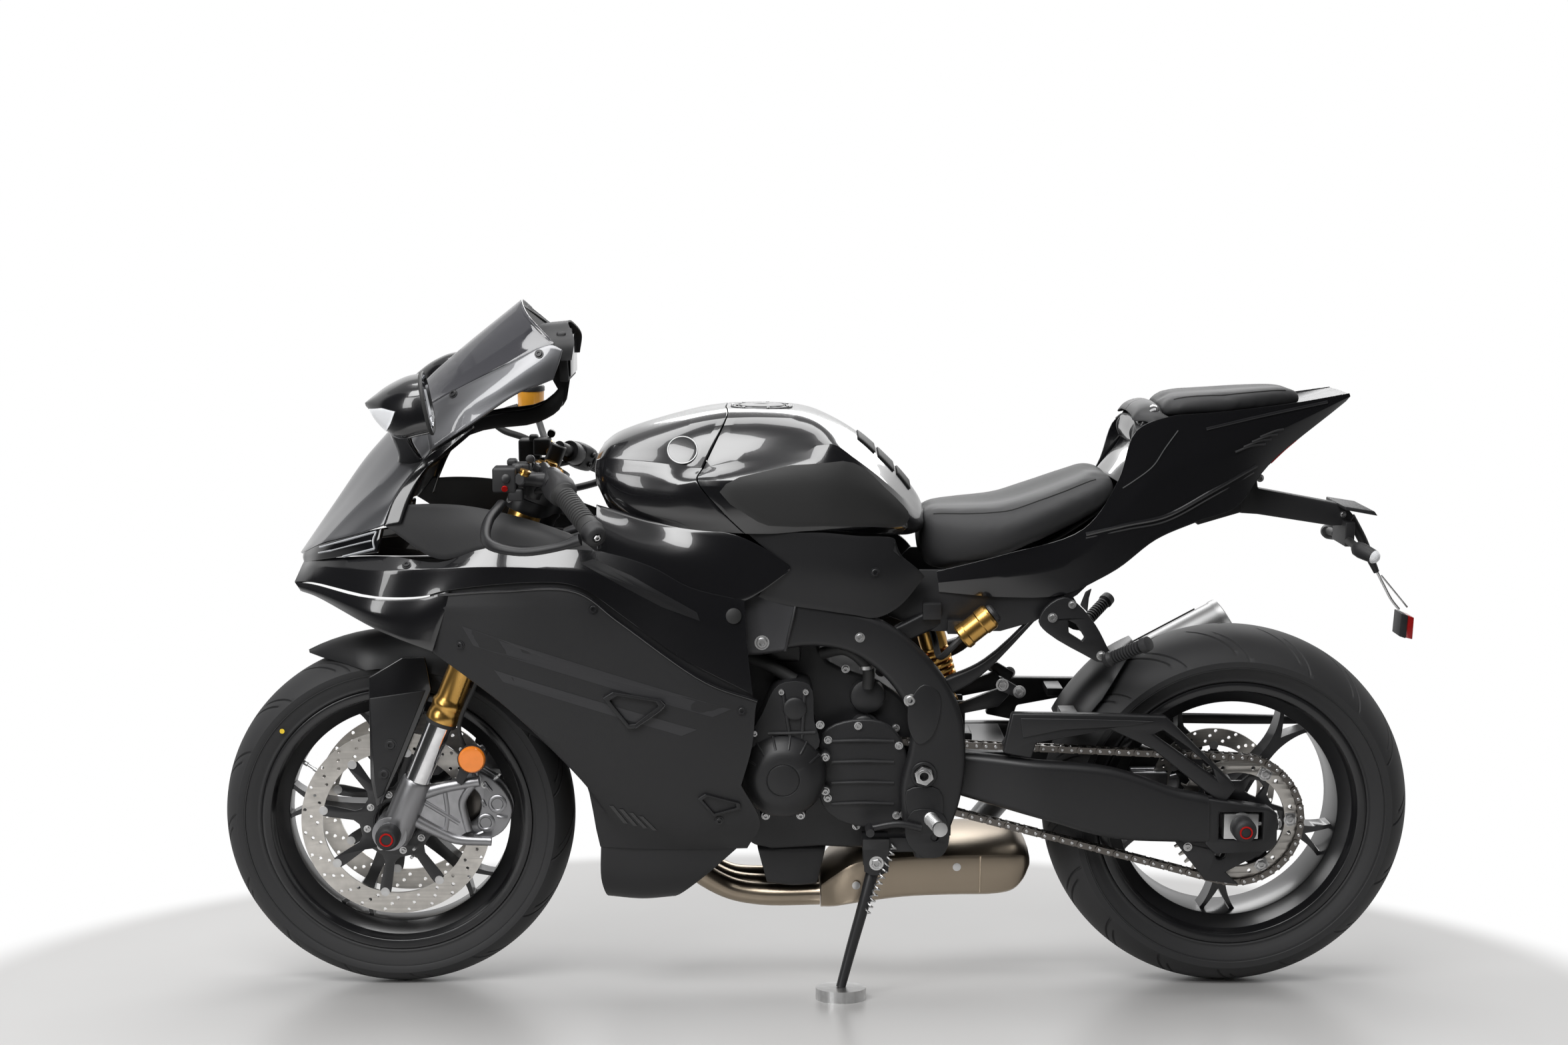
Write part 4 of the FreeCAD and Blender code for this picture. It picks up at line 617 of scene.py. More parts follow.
def settle(thing, sharp):
    """Applies the modifiers, and keeps only the sharper edges crisp."""
    if thing.modifiers:
        done = bpy.data.meshes.new_from_object(thing.evaluated_get(bpy.context.evaluated_depsgraph_get()))
        thing.modifiers.clear()
        thing.data = done
    for face in thing.data.polygons:
        face.use_smooth = True
    thing.data.set_sharp_from_angle(angle=radians(sharp))


def fork_point(x, y, z):
    """A point on the fork, as a point on the machine at rest."""
    return bike.inverted() @ (fork @ spot(x, y, z))


print("helpers ready, stem at", [round(v) for v in fork_point(0, 0, 520)])

# %% [markdown]
# Tyres are moulded, with the grooves left by ribs in the mould. The grid of the tread is sheared so that its own
# lines run along the grooves. Each groove is then four lines of the grid, with the middle two sunk, and it stays
# crisp without a fine mesh. Grooves come in pairs, and the pairs of the two halves are half a step apart.

# %% Tyres
TREAD_SAG = 1.5


def tread_point(share, radius, width):
    """A point of the tread line, with share from -1 at the right shoulder to 1 at the left one."""
    half_turn = radians(67.6)
    turn = share * half_turn
    drop = width * 0.245 * (1 - cos(turn)) / (1 - cos(half_turn))
    return width / 2 * sin(turn) / sin(half_turn), radius - TREAD_SAG - drop


def tyre(name, where, body, radius, width, rim_width, repeats):
    half = width / 2
    bead = rim_width / 2 - 0.3
    shoulder = tread_point(1, radius, width)[1]
    flank = [(bead, 219.3), (bead, 228.6), (bead + 1.6, 230), (bead + 3.6, 231.2), (bead + 4.6, 233.4),
        (bead + 3.9, 236), (bead + 4.6, 238)]
    flank += [(bead + 4.6 + (half - bead - 5.6) * share ** 0.7, 238 + (shoulder - 238) * share)
        for share in (0.2, 0.4, 0.58)]
    flank += [(half - 1.7, 238 + (shoulder - 238) * 0.6), (half - 1.9, 238 + (shoulder - 238) * 0.64),
        (half - 0.8, 238 + (shoulder - 238) * 0.68), (half - 0.3, shoulder - 2)]
    shares = [1 - i / 20 for i in range(41)]
    line = [(side, high, 1) for side, high in flank]
    line += [(*tread_point(share, radius, width), share) for share in shares]
    line += [(-side, high, -1) for side, high in reversed(flank)]
    sunk = []
    for centre, side in line_of("0.25 1, 0.4 1, 0.75 -1, 0.9 -1"):
        gap = 3.2 * repeats / (2 * pi * radius)
        sunk += [(centre - gap, 0, side), (centre - gap * 0.62, 1, side), (centre + gap * 0.62, 1, side),
            (centre + gap, 0, side)]
    sunk += [(at, 0, 0) for at in (0, 0.08, 0.16, 0.325, 0.5, 0.58, 0.66, 0.825)]
    sunk.sort()
    columns = []
    for k in range(repeats):
        for at, deep, side in sunk:
            column = []
            for across_at, high, share in line:
                lean_back = 0.3 * (1 - (1 - min(abs(share), 1)) ** 1.5)
                angle = (k + at) / repeats * 2 * pi + lean_back
                low = 0.0
                span = abs(share)
                start, stop = (0.1, 0.82) if at in (sunk[0][0],) or at % 0.5 < 0.33 else (0.3, 0.97)
                if deep and share * side > 0 and start < span < stop:
                    low = 3.4 * min(1, (span - start) / 0.07, (stop - span) / 0.07)
                r = high - low
                column.append((r * cos(angle), across_at, r * sin(angle)))
            columns.append(column)
    columns.append(columns[0])
    points, faces = grid([list(row) for row in zip(*columns)])
    made = piece(name, join((points, faces),
        grid([[(219.3 * cos(2 * pi * i / 96), side, 219.3 * sin(2 * pi * i / 96)) for side in (bead, -bead)]
        for i in range(97)])), "tyre", body, where, stands_for=(name,), sharp=38)
    made.location = (0, 0, 0)
    mark = lathe("0 0, 0 4.2, 0.5 4.2, 0.5 0", (246, half - 3.2, 0), (246, half, 0), 20)
    piece(name + "_balance_mark", moved(mark, Matrix.Rotation(-radians(40), 4, "Y")), "paint_yellow", body, where)
    return made


tyre("front_tyre", front_wheel, "front_wheel", FRONT_RADIUS, 120, 92, 15)
tyre("rear_tyre", rear_wheel, "rear_wheel", REAR_RADIUS, 182, 142, 16)

# %% [markdown]
# The wheels are cast in one piece and painted: a rim with a drop centre, five slim spokes that fork near the rim,
# and a hub. A spoke is an outline with a window, given the depth of the casting and round edges.

# %% Rims


def rim(name, where, body, rim_width, hub_radius, hub_half, depth, start):
    half = rim_width / 2
    barrel = turned([
        (-half - 5, 229), (-half - 1, 229.4), (-half, 219), (12 - half, 219), (24 - half, 195), (half - 24, 195),
        (half - 12, 219), (half, 219), (half + 1, 229.4), (half + 5, 229), (half + 5.2, 224), (half + 3, 214.5),
        (half - 6, 212.5), (half - 14, 210), (half - 27, 189), (27 - half, 189), (14 - half, 210),
        (6 - half, 212.5), (-half - 3, 214.5), (-half - 5.2, 224)], 120)
    edge = line_of("24 -19, 58 -13, 100 -9.5, 132 -10, 158 -16, 179 -25.5, 192 -35")
    edge = [(p.x, p.y) for p in spline([(a, b, 0) for a, b in edge], 3)]
    outline = edge + [(a, -b) for a, b in reversed(edge)]
    window = line_of("""
        151 0, 161 -5.5, 176 -15, 186.5 -22, 188.5 -20, 190 0, 188.5 20, 186.5 22, 176 15, 161 5.5""")
    points, faces = plate([outline, window], -depth / 2, depth / 2)
    spokes = spun(([spot(p.x, p.y * (1.25 - 0.35 * p.x / 190), p.z) for p in points], faces), 5, start)
    core = turned([
        (-hub_half, 13), (hub_half, 13), (hub_half, hub_radius - 8), (hub_half - 6, hub_radius - 3),
        (depth / 2 + 4, hub_radius), (-depth / 2 - 4, hub_radius), (6 - hub_half, hub_radius - 3),
        (-hub_half, hub_radius - 8)], 48)
    piece(name, join(barrel, core), "wheel_black", body, where, stands_for=(name,), bevel=1.2, sharp=35)
    piece(name + "_spokes", spokes, "wheel_black", body, where, bevel=4.0, segments=3, sharp=40)
    piece(name + "_valve", moved(lathe("0 0, 0 4, 10 4, 11 2.6, 24 2.6, 24 3.6, 31 3.6, 32 0", (190, 8, 0),
        (160, 17, 0), 16),
                  Matrix.Rotation(-radians(start + 22), 4, "Y")), "bare_aluminium", body, where)


rim("front_rim", front_wheel, "front_wheel", 92, 38, 46, 30, 7)
rim("rear_rim", rear_wheel, "rear_wheel", 142, 44, 60, 40, -16)
piece("rear_rim_balance_weights", moved(plate("191 -17, 194.5 -17, 194.5 17, 191 17", 34, 44),
    Matrix.Rotation(-radians(94), 4, "Y")), "bare_aluminium", "rear_wheel", rear_wheel, bevel=0.8)

# %% [markdown]
# Brake discs are stamped from steel plate, drilled, and ground flat. The braking ring floats on a black carrier
# through small turned bobbins, so that it can grow when it is hot.

# %% Discs


def brake_disc(name, where, body, radius, band, side, arms, holes, start):
    inner = radius - band
    loops = [circle(0, 0, radius, 120), circle(0, 0, inner, 96)]
    for k in range(holes):
        for step, (share, shift) in enumerate(((0.16, 0), (0.5, 0.28), (0.84, 0.56))):
            turn = 2 * pi * (k + shift) / holes
            r = inner + 4 + (band - 4) * share
            loops.append(circle(r * cos(turn), r * sin(turn), 3.1, 10))
    low = side - 2.25
    ring = plate(loops, low, low + 4.5)
    star = []
    for k in range(arms):
        for r, turn in ((62, -13), (72, -6.5), (inner - 9, -5), (inner + 3, -4.2),
                        (inner + 3, 4.2), (inner - 9, 5), (72, 6.5), (62, 13)):
            a = radians(360 * k / arms + turn + start)
            star.append((r * cos(a), r * sin(a)))
    carrier = plate([star, circle(0, 0, 38, 48)], low + 0.4, low + 4.1)
    sign = 1 if side > 0 else -1
    face = 46.3 if radius > 130 else 60.3
    hat = turned([(sign * face, 36), (side, 36), (side, 46), (sign * face, 42)], 48)
    bobbins = []
    screws = []
    for k in range(arms):
        a = radians(360 * k / arms + start)
        place = spot(inner * cos(a), side - sign * 3.2, inner * sin(a))
        bobbins.append(lathe("0 0, 0 7.6, 1.2 7.8, 1.2 4.4, 5.2 4.4, 5.2 7.8, 6.4 7.6, 6.4 0", place,
            place + spot(0, sign, 0), 20))
        a += pi / arms
        screws.append(bolt((50 * cos(a), side + sign * 1.8, 50 * sin(a)), (0, sign, 0), radius=4.6, height=4))
    return ring, join(carrier, hat), join(*bobbins), join(*screws)


front_parts = [brake_disc("front", front_wheel, "front_wheel", 160, 36, side, 8, 24, 10) for side in (61.6, -61.6)]
rear_parts = [brake_disc("rear", rear_wheel, "rear_wheel", 110, 30, -78, 6, 18, 30)]
for name, where, body, parts in (("front_discs", front_wheel, "front_wheel", front_parts),
                                 ("rear_disc", rear_wheel, "rear_wheel", rear_parts)):
    piece(name, join(*[p[0] for p in parts]), "disc_steel", body, where, stands_for=(name,), sharp=30)
    piece(name + "_carriers", join(*[p[1] for p in parts]), "wheel_black", body, where, bevel=0.8)
    piece(name + "_bobbins", join(*[p[2] for p in parts]), "bare_aluminium", body, where)
    piece(name + "_screws", join(*[p[3] for p in parts]), "bare_aluminium", body, where)

# %% [markdown]
# The final drive. The sprocket is a hardened steel ring on a carrier. The chain is 15.875 mm pitch: pairs of inner
# and outer plates on pins and rollers, laid here one by one on the line that the two sprockets set.

# %% Sprocket and chain
CHAIN_SIDE = 102.9
PITCH = 15.875
big = PITCH / 2 / sin(pi / 43)
small = PITCH / 2 / sin(pi / 16)
teeth = []
for k in range(43):
    for r, share in ((big - 4.8, -0.36), (big - 4.8, -0.2), (big - 1, -0.13), (big + 4.2, -0.07),
                     (big + 4.2, 0.07), (big - 1, 0.13), (big - 4.8, 0.2)):
        a = 2 * pi * (k + share) / 43
        teeth.append((r * cos(a), r * sin(a)))
piece("rear_sprocket", plate([teeth, circle(0, 0, 82, 72)] + [circle(93 * cos(radians(60 * k + turn)),
    93 * sin(radians(60 * k + turn)), 3.6, 12) for k in range(6) for turn in (-14, 14)], CHAIN_SIDE - 3.4,
    CHAIN_SIDE + 3.4), "disc_steel", "rear_wheel", rear_wheel, bevel=0.6)
star = []
for k in range(6):
    for r, turn in line_of("66 -22, 80 -14, 94 -9, 97 0, 94 9, 80 14, 66 22"):
        a = radians(60 * k + turn)
        star.append((r * cos(a), r * sin(a)))
windows = [[(r * cos(radians(60 * k + turn)), r * sin(radians(60 * k + turn)))
    for r, turn in line_of("50 -14, 72 -11, 76 0, 72 11, 50 14, 47 0")] for k in range(6)]
holder = join(plate([star, circle(0, 0, 26, 48)] + windows, CHAIN_SIDE - 12, CHAIN_SIDE - 3.6),
    turned([(60.5, 26), (CHAIN_SIDE - 12, 26), (CHAIN_SIDE - 12, 44), (60.5, 44)], 48))
piece("sprocket_carrier", holder, "wheel_black", "rear_wheel", rear_wheel, bevel=1.2)
nuts = [side_bolt((91 * cos(radians(60 * k)), CHAIN_SIDE + 3.4, 91 * sin(radians(60 * k))), 8, 3) for k in range(6)]
tabs = [spun(plate("82 -12, 100 -12, 100 10, 86 12", CHAIN_SIDE + 3.4, CHAIN_SIDE + 4.6), 1, 60 * k)
    for k in range(6)]
piece("sprocket_nuts", join(*nuts), "bare_aluminium", "rear_wheel", rear_wheel)
piece("sprocket_lock_tabs", join(*tabs), "bare_aluminium", "rear_wheel", rear_wheel, bevel=0.4)

drive = spot(632, 0, 414)
back = spot(0, 0, 315)
reach = hypot(drive.x - back.x, drive.z - back.z)
tilt = atan2(drive.z - back.z, drive.x - back.x)
slope = asin((big - small) / reach)
upper_turn = tilt + pi / 2 - slope
lower_turn = tilt - pi / 2 + slope


def chain_at(distance):
    """The place on the chain line at a distance along it, from the top of the rear sprocket forwards."""
    straight = sqrt(reach ** 2 - (big - small) ** 2)
    front_arc = small * (upper_turn - lower_turn)
    if distance < straight:
        share = distance / straight
        start = back + spot(cos(upper_turn), 0, sin(upper_turn)) * big
        end = drive + spot(cos(upper_turn), 0, sin(upper_turn)) * small
        return start.lerp(end, share)
    distance -= straight
    if distance < front_arc:
        a = upper_turn - distance / small
        return drive + spot(cos(a), 0, sin(a)) * small
    distance -= front_arc
    if distance < straight:
        start = drive + spot(cos(lower_turn), 0, sin(lower_turn)) * small
        end = back + spot(cos(lower_turn), 0, sin(lower_turn)) * big
        return start.lerp(end, distance / straight)
    a = lower_turn - (distance - straight) / big
    return back + spot(cos(a), 0, sin(a)) * big


chain_length = (2 * sqrt(reach ** 2 - (big - small) ** 2) + small * (upper_turn - lower_turn)
                + big * (2 * pi - upper_turn + lower_turn))
links = 2 * round(chain_length / PITCH / 2)
stops = [chain_at(chain_length * i / links) for i in range(links)]
plates = []
pins = []
for i, a in enumerate(stops):
    b = stops[(i + 1) % links]
    middle = (a + b) / 2
    along = atan2(b.z - a.z, b.x - a.x)
    outline = []
    for k in range(16):
        turn = 2 * pi * k / 16 + pi / 16
        x = 7 * cos(turn) + (PITCH / 2 if cos(turn) > 0 else -PITCH / 2)
        z = 7 * sin(turn) * (0.78 if abs(cos(turn)) < 0.3 else 1)
        outline.append((x, z))
    near, far = (4.4, 6.6) if i % 2 else (6.9, 9.1)
    turn = Matrix.Translation(middle) @ Matrix.Rotation(-along, 4, "Y")
    for low, high in ((near, far), (-far, -near)):
        plates.append(moved(plate([outline], CHAIN_SIDE + low, CHAIN_SIDE + high), turn))
    end = (a.x, CHAIN_SIDE, a.z)
    pins += [lathe("0 0, 0 2.2, 0.6 2.8, 20.2 2.8, 20.8 2.2, 20.8 0", (a.x, CHAIN_SIDE - 10.4, a.z), end, 10),
        lathe("0 5, 8.6 5", (a.x, CHAIN_SIDE - 4.3, a.z), end, 10)]
piece("chain", join(*plates), "chain_steel")
piece("chain_pins", join(*pins), "bare_aluminium")
small_teeth = []
for k in range(16):
    for r, share in ((small - 4.8, -0.3), (small + 4, -0.08), (small + 4, 0.08), (small - 4.8, 0.3)):
        a = 2 * pi * (k + share) / 16
        small_teeth.append((drive.x + r * cos(a), drive.z + r * sin(a)))
piece("gearbox_sprocket", plate([small_teeth], CHAIN_SIDE - 3.4, CHAIN_SIDE + 3.4), "disc_steel", bevel=0.5)
cover = spline([(a, b, 0) for a, b in line_of("""
    700 470, 700 350, 660 316, 590 312, 560 350, 560 440, 590 486, 650 494""")], 4, True)
piece("sprocket_cover", plate([[(p.x, p.y) for p in cover]], CHAIN_SIDE + 14, CHAIN_SIDE + 22), "engine_black",
    bevel=5, segments=3, sharp=40)
piece("sprocket_cover_ribs", join(*[sweep([(580, CHAIN_SIDE + 22, 350 + 36 * k), (630, CHAIN_SIDE + 24,
    352 + 36 * k), (684, CHAIN_SIDE + 22, 350 + 36 * k)], 3, 8, 4) for k in range(4)]), "engine_black", sharp=40)
piece("sprocket_cover_bolts", join(*[side_cap((x, CHAIN_SIDE + 22, z), 5, 5) for x, z in line_of("""
    690 460, 690 360, 575 330, 572 450, 640 484""")]), "bare_aluminium")
print("links", links)

# %% [markdown]
# The fairing is moulded in parts, each about 3 mm thick with turned edges: a graphite nose with a band under the
# screen, a dark inner strip behind it, gloss upper sides and matte lower sides. Each is a net of points read from
# the outline, smooth along the machine, with a crease where the real moulding has one.

# %% Nose, band and screen
nose_rows = rows_of("""
    1577 0 757, 1515 0 846, 1465 0 916, 1424 0 962
    1561 60 766, 1490 62 850, 1430 66 925, 1352 84 1015
    1518 116 791, 1462 121 850, 1393 126 916, 1340 108 992
    1462 150 809, 1414 150 860, 1374 147 904, 1334 136 950
    1408 168 828, 1394 163 866, 1376 158 896, 1338 146 940""")
piece("upper_cowl", faced(net(across(nose_rows), 8, 6, creases=(2, 6)), (0.4, 1, 0.3)), "graphite", wall=4,
    bevel=1.0, sharp=24, angle=22)
band_rows = rows_of("""
    1350 87 1009, 1303 97 1037, 1230 104 1074, 1142 107 1114, 1122 110 1106
    1346 112 984, 1290 120 1012, 1230 123 1041, 1160 119 1076, 1128 114 1084
    1334 145 947, 1265 136 990, 1192 127 1038, 1158 122 1050, 1137 116 1058""")
band_mesh = faced(net(band_rows, 8, 6), (0, 1, 0.2))
piece("cowl_bands", both(band_mesh), "graphite", wall=4, bevel=1.2, sharp=28)
strip_rows = rows_of("""
    1408 166 826, 1392 160 868, 1374 155 896, 1346 148 930, 1304 134 962, 1266 127 985
    1380 170 832, 1366 164 872, 1344 158 914, 1318 146 938, 1290 135 962, 1264 128 981
    1377 160 832, 1361 152 872, 1339 146 914, 1313 134 935, 1286 126 957, 1264 123 976""")
piece("cowl_inner_strips", both(faced(net(strip_rows, 8, 5, creases=(1,)), (0, 1, 0))), "gloss_black", wall=3,
    bevel=0.8, sharp=26)
piece("windscreen", faced(net(across(rows_of("""
    1421 0 970, 1364 0 1043, 1309 0 1093, 1198 0 1182.2
    1406 46 972, 1352 52 1031, 1286 60 1086, 1182 62 1160
    1354 84 1012, 1303 94 1038, 1230 101 1075, 1136 103 1116""")), 10, 8), (0.3, 1, 0.5)), "smoked_screen", wall=3,
    bevel=0.8, sharp=30)
rim_line = spline("1201 0 1174, 1184 62 1154, 1138 102 1112", 10)
rim_line = [spot(p.x, -p.y, p.z) for p in reversed(rim_line[1:])] + rim_line
piece("windscreen_edge", sweep(rim_line, 2.4, 8, 1), "gloss_black")
band_surface = Surface(band_mesh)
screws = []
for x, z in ((1301, 1033), (1160, 1099)):
    place, out = band_surface.at(x, z, 0.2)
    screws.append(bolt(place, out, radius=5.5, height=3.4, sides=20))
piece("windscreen_bolts", both(*screws), "satin_black")

# %% [markdown]
# The lamps sit in dark slots under the nose, two light guides in each.

# %% Lamps
slot_rows = rows_of("""
    1562 60 764, 1518 117 789, 1462 151 807, 1411 168 824
    1562 64 757, 1522 119 776, 1465 154 793, 1414 172 808
    1560 66 750, 1528 112 761, 1474 148 774, 1420 172 784""")
slot_mesh = faced(net(slot_rows, 8, 5), (0.3, 1, 0))
piece("headlamps", both(slot_mesh), "lamp_dark", wall=8, bevel=1.0, sharp=30)
slot_surface = Surface(slot_mesh)
bars = []
for line, width in (([(1521, 783), (1470, 801), (1420, 817)], 2.6), ([(1523, 774), (1500, 781)], 2.2),
    ([(1496, 768), (1460, 779), (1423, 790)], 2.6),
                    ([(1420, 817), (1425, 803), (1423, 790)], 1.8), ([(1500, 781), (1450, 797), (1428, 803)], 1.6)):
    bars.append(sweep([slot_surface.at(x, z, 0.6)[0] for x, z in line], width, 8, 6, flat=0.6))
piece("headlamp_guides", both(*bars), "light_guide")

# %% [markdown]
# Side panels. The upper ones are gloss black with a long crease from the nose to the tank. The lower ones are matt,
# with a scoop for hot air and a slotted outlet with a bright edge. Where the real ones carry lettering, these have
# a plain tonal stripe.

# %% Side panels
upper_rows = rows_of("""
    1560 62 752, 1522 112 764, 1400 168 778, 1319 180 770, 1243 187 794, 1141 190 793, 1064 191 790,
    979 190 765, 916 186 730, 828 176 706
    1563 70 744, 1530 116 752, 1410 186 757, 1325 196 762, 1250 203 766, 1145 205 764, 1070 205 756,
    985 203 730, 930 197 692, 826 184 650
    1568 104 724, 1536 124 727, 1420 190 716, 1345 200 718, 1306 205 728, 1170 209 742, 1096 209 736,
    1020 206 684, 940 199 622, 815 189 553""")
upper_mesh = faced(net(upper_rows, 5, 7, creases=(1,)), (0, 1, 0.1))
piece("upper_panels", both(upper_mesh), "gloss_black", wall=4, bevel=1.2, sharp=20, angle=18)
upper_surface = Surface(upper_mesh)
wing_rows = rows_of("""
    1568 104 723, 1536 124 724, 1430 192 714, 1345 202 716, 1300 207 728
    1560 112 715, 1530 134 712, 1430 200 692, 1360 208 688, 1306 209 700
    1558 108 709, 1528 130 704, 1420 198 664, 1370 207 645, 1329 205 629
    1545 100 706, 1516 120 700, 1412 180 660, 1366 190 642, 1327 192 629""")
piece("winglets", both(faced(net(wing_rows, 6, 5, creases=(2,)), (0, 1, 0))), "gloss_black", wall=4, bevel=1.0,
    sharp=24)
side_rows = rows_of("""
    1326 204 722, 1215 213 730, 1097 214 729, 1029 210 679, 891 203 578, 808 191 543
    1330 207 700, 1216 217 702, 1102 217 696, 1026 214 650, 895 208 556, 811 195 528
    1334 201 660, 1225 217 640, 1110 218 610, 1020 216 570, 920 210 505, 816 197 470
    1329 195 624, 1240 203 560, 1150 208 488, 1050 208 452, 940 204 424, 834 194 402
    1108 172 443, 1092 178 412, 1070 182 378, 1000 184 350, 900 180 322, 803 172 332
    1068 148 284, 1040 150 283, 1010 152 282, 960 152 281, 900 150 280, 824 146 280""")
side_mesh = faced(net(side_rows, 8, 5, creases=(1, 3)), (0, 1, 0))
piece("side_panels", both(side_mesh), "matte_plastic", wall=4, bevel=1.2, sharp=20, angle=18)
side_surface = Surface(side_mesh)
piece("belly_pan", faced(net(across(rows_of("""
    1048 0 180, 1000 0 178, 944 0 181
    1060 104 184, 1000 108 180, 944 104 183
    1068 138 226, 985 141 222, 900 136 224
    1067 147 290, 960 150 286, 836 145 284""")), 8, 5), (0, 1, -1)), "matte_plastic", wall=4, bevel=1.0, sharp=24)

piece("side_stripes", both(*[laid(side_surface, line_of("1280 672, 1262 640, 880 520, 850 532"), 0.5, 14, 3),
          laid(side_surface, line_of("1230 600, 1216 580, 930 490, 905 500"), 0.5, 14, 3)]), "tonal_print")
piece("panel_seams", both(sweep([side_surface.at(x, z, 0.8)[0] for x, z in line_of("""
    1318 721, 1215 729, 1097 728, 1029 678, 891 577, 808 542""")], 2.2, 8, 8)), "gloss_black")


def scoop(outline, depth, lip):
    """A raised scoop: a lip round an outline and a dark hollow behind it."""
    outline = line_of(outline)
    top = [side_surface.at(x, z, lip)[0] for x, z in outline]
    foot = [side_surface.at(x, z, -1)[0] for x, z in outline]
    centre = sum(top, spot(0, 0, 0)) / len(top)
    inside = [centre.lerp(p, 0.78) for p in top]
    points, faces = grid([foot, top, inside, [p - spot(0, depth, 0) for p in inside]], closed=True)
    faces.append([len(points) - len(outline) + k for k in range(len(outline))])
    return points, faces


piece("side_scoops", both(*[scoop("1056 556, 1040 566, 962 552, 956 543, 1004 505, 1016 504", 12, 7),
         scoop("905 382, 893 390, 836 372, 834 362, 880 350", 10, 5)]), "satin_black", bevel=1.6, segments=3,
         sharp=30)
piece("scoop_edges", both(sweep([side_surface.at(x, z, 7.6)[0] for x, z in ((962, 551), (957, 544), (1004, 507))],
    1.6, 8, 6)), "gloss_black")
outlet = []
for k in range(4):
    outlet.append(laid(side_surface, [(1050 - 16 * k, 366 - 6 * k), (1043 - 16 * k, 366 - 6 * k),
        (1020 - 16 * k, 332 - 4 * k), (1027 - 16 * k, 332 - 4 * k)], 0.9, 4, 2))
piece("lower_outlets", both(*outlet), "gloss_black", sharp=60)
screws = []
for surface, x, z in ((side_surface, 833, 529), (side_surface, 1070, 700), (side_surface, 1284, 640),
    (side_surface, 870, 340), (upper_surface, 1370, 766)):
    place, out = surface.at(x, z, 0.2)
    screws.append(bolt(place, out, radius=5.5, height=3.4, sides=20))
piece("panel_bolts", both(*screws), "satin_black")
place, out = upper_surface.at(846, 682, 0.2)
piece("panel_plugs", both(lathe("0 0, 0 13, 2.5 12.5, 4 10, 4.6 0", place, place + out, 28)), "rubber")
piece("panel_recesses", both(laid(upper_surface, line_of("1090 772, 1070 778, 1010 752, 905 690, 900 676, 960 700"),
    0.6, 8, 3)), "satin_black", sharp=60)

# %% [markdown]
# The tank is pressed steel with a gloss lacquer. Its front is a separate cover, and the joint between them slants.
# Flat facets run along the shoulder between two creases.

# %% Tank and its cover
tank_rows = rows_of("""
    859 0 1003, 800 0 1003, 730 0 1000, 680 0 984, 636 0 958, 590 0 917, 563 0 889, 538 0 856, 527 0 834
    857 97 994, 800 104 996, 722 104 991, 690 102 978, 644 92 944, 596 70 905, 566 54 876, 540 36 848,
    528 26 832
    894 142 918, 820 150 935, 700 150 957, 684 149 957, 652 143 935, 608 126 900, 572 106 866, 546 84 836,
    532 66 826
    903 171 901, 820 177 903, 728 177 905, 690 174 902, 640 161 884, 596 141 860, 564 120 838, 544 98 824,
    532 76 820
    864 175 852, 810 177 848, 728 176 845, 690 172 842, 636 156 836, 592 137 826, 562 118 818, 544 96 813,
    532 74 812
    827 167 814, 780 166 814, 728 164 818, 690 160 818, 636 145 812, 592 125 806, 562 108 803, 544 88 804,
    532 66 805
    827 0 812, 780 0 812, 728 0 814, 690 0 814, 636 0 808, 592 0 803, 562 0 802, 544 0 803, 532 0 804""")
tank_mesh = faced(net(across(tank_rows), 7, 5, creases=(1, 4, 8, 11)), (0, 1, 0.6))
piece("fuel_tank", tank_mesh, "gloss_black", wall=3, bevel=1.6, segments=3, sharp=20, angle=14)
tank_surface = Surface(tank_mesh)
cover_rows = rows_of("""
    1066 0 938, 1046 0 954, 1019 0 967, 960 0 984, 900 0 997, 861 0 1003
    1069 58 934, 1050 70 948, 1019 82 958, 960 92 974, 900 98 988, 859 97 994
    1072 90 924, 1056 113 930, 1019 132 930, 960 147 926, 920 144 920, 896 142 918
    1073 98 906, 1056 126 902, 1019 146 894, 960 163 890, 930 169 895, 905 171 901
    1071 94 886, 1054 122 866, 1019 142 852, 960 160 846, 910 171 848, 866 175 852
    1064 84 872, 1050 106 846, 1019 126 830, 960 146 820, 900 158 815, 829 167 814
    1060 0 872, 1050 0 846, 1019 0 830, 960 0 820, 900 0 815, 829 0 812""")
cover_mesh = faced(net(across(cover_rows), 7, 5, creases=(1, 4, 8, 11)), (0, 1, 0.6))
piece("tank_cover", cover_mesh, "gloss_black", wall=3, bevel=1.4, segments=3, sharp=20, angle=16)
cover_surface = Surface(cover_mesh)
piece("tank_cover_front", faced(net("""
    1064 -84 872, 1070 0 868, 1064 84 872
    1073 -98 906, 1080 0 906, 1073 98 906
    1066 -56 935, 1066 0 938, 1066 56 935""", 8, 6), (1, 0, 0)), "satin_black", wall=3)
place, out = cover_surface.at(929, 945, 0.1)
ring = lathe("0 22.8, 0 25, 1.6 25, 2.2 24.4, 2.2 23.2, 1.6 22.8, 0 22.8", place, place + out, 48)
disc_of = lathe("0.4 0, 0.4 23, 1.4 22.8, 2 18, 2.3 0", place, place + out, 48)
piece("badge_rings", both(ring), "satin_metal")
piece("badge_fields", both(disc_of), "gloss_black")
piece("fuel_cap", join(*[lathe("0 52, 3 52, 4 50.5, 4 45, 2.6 44, 2.6 38, 4.6 37, 5.4 35, 5.4 14, 4.6 12, 4.6 0",
    (800, 0, 1001.5), (800, 0, 1010), 64)], *[moved(plate("39 -5, 43.5 -5, 43.5 5, 39 5", -0.1, 1.6),
    Matrix.Translation((800, 0, 1004.5)) @ Matrix.Rotation(2 * pi * k / 6, 4, "Z") @ Matrix.Rotation(pi / 2, 4,
    "X")) for k in range(6)]), "satin_black", bevel=0.5)
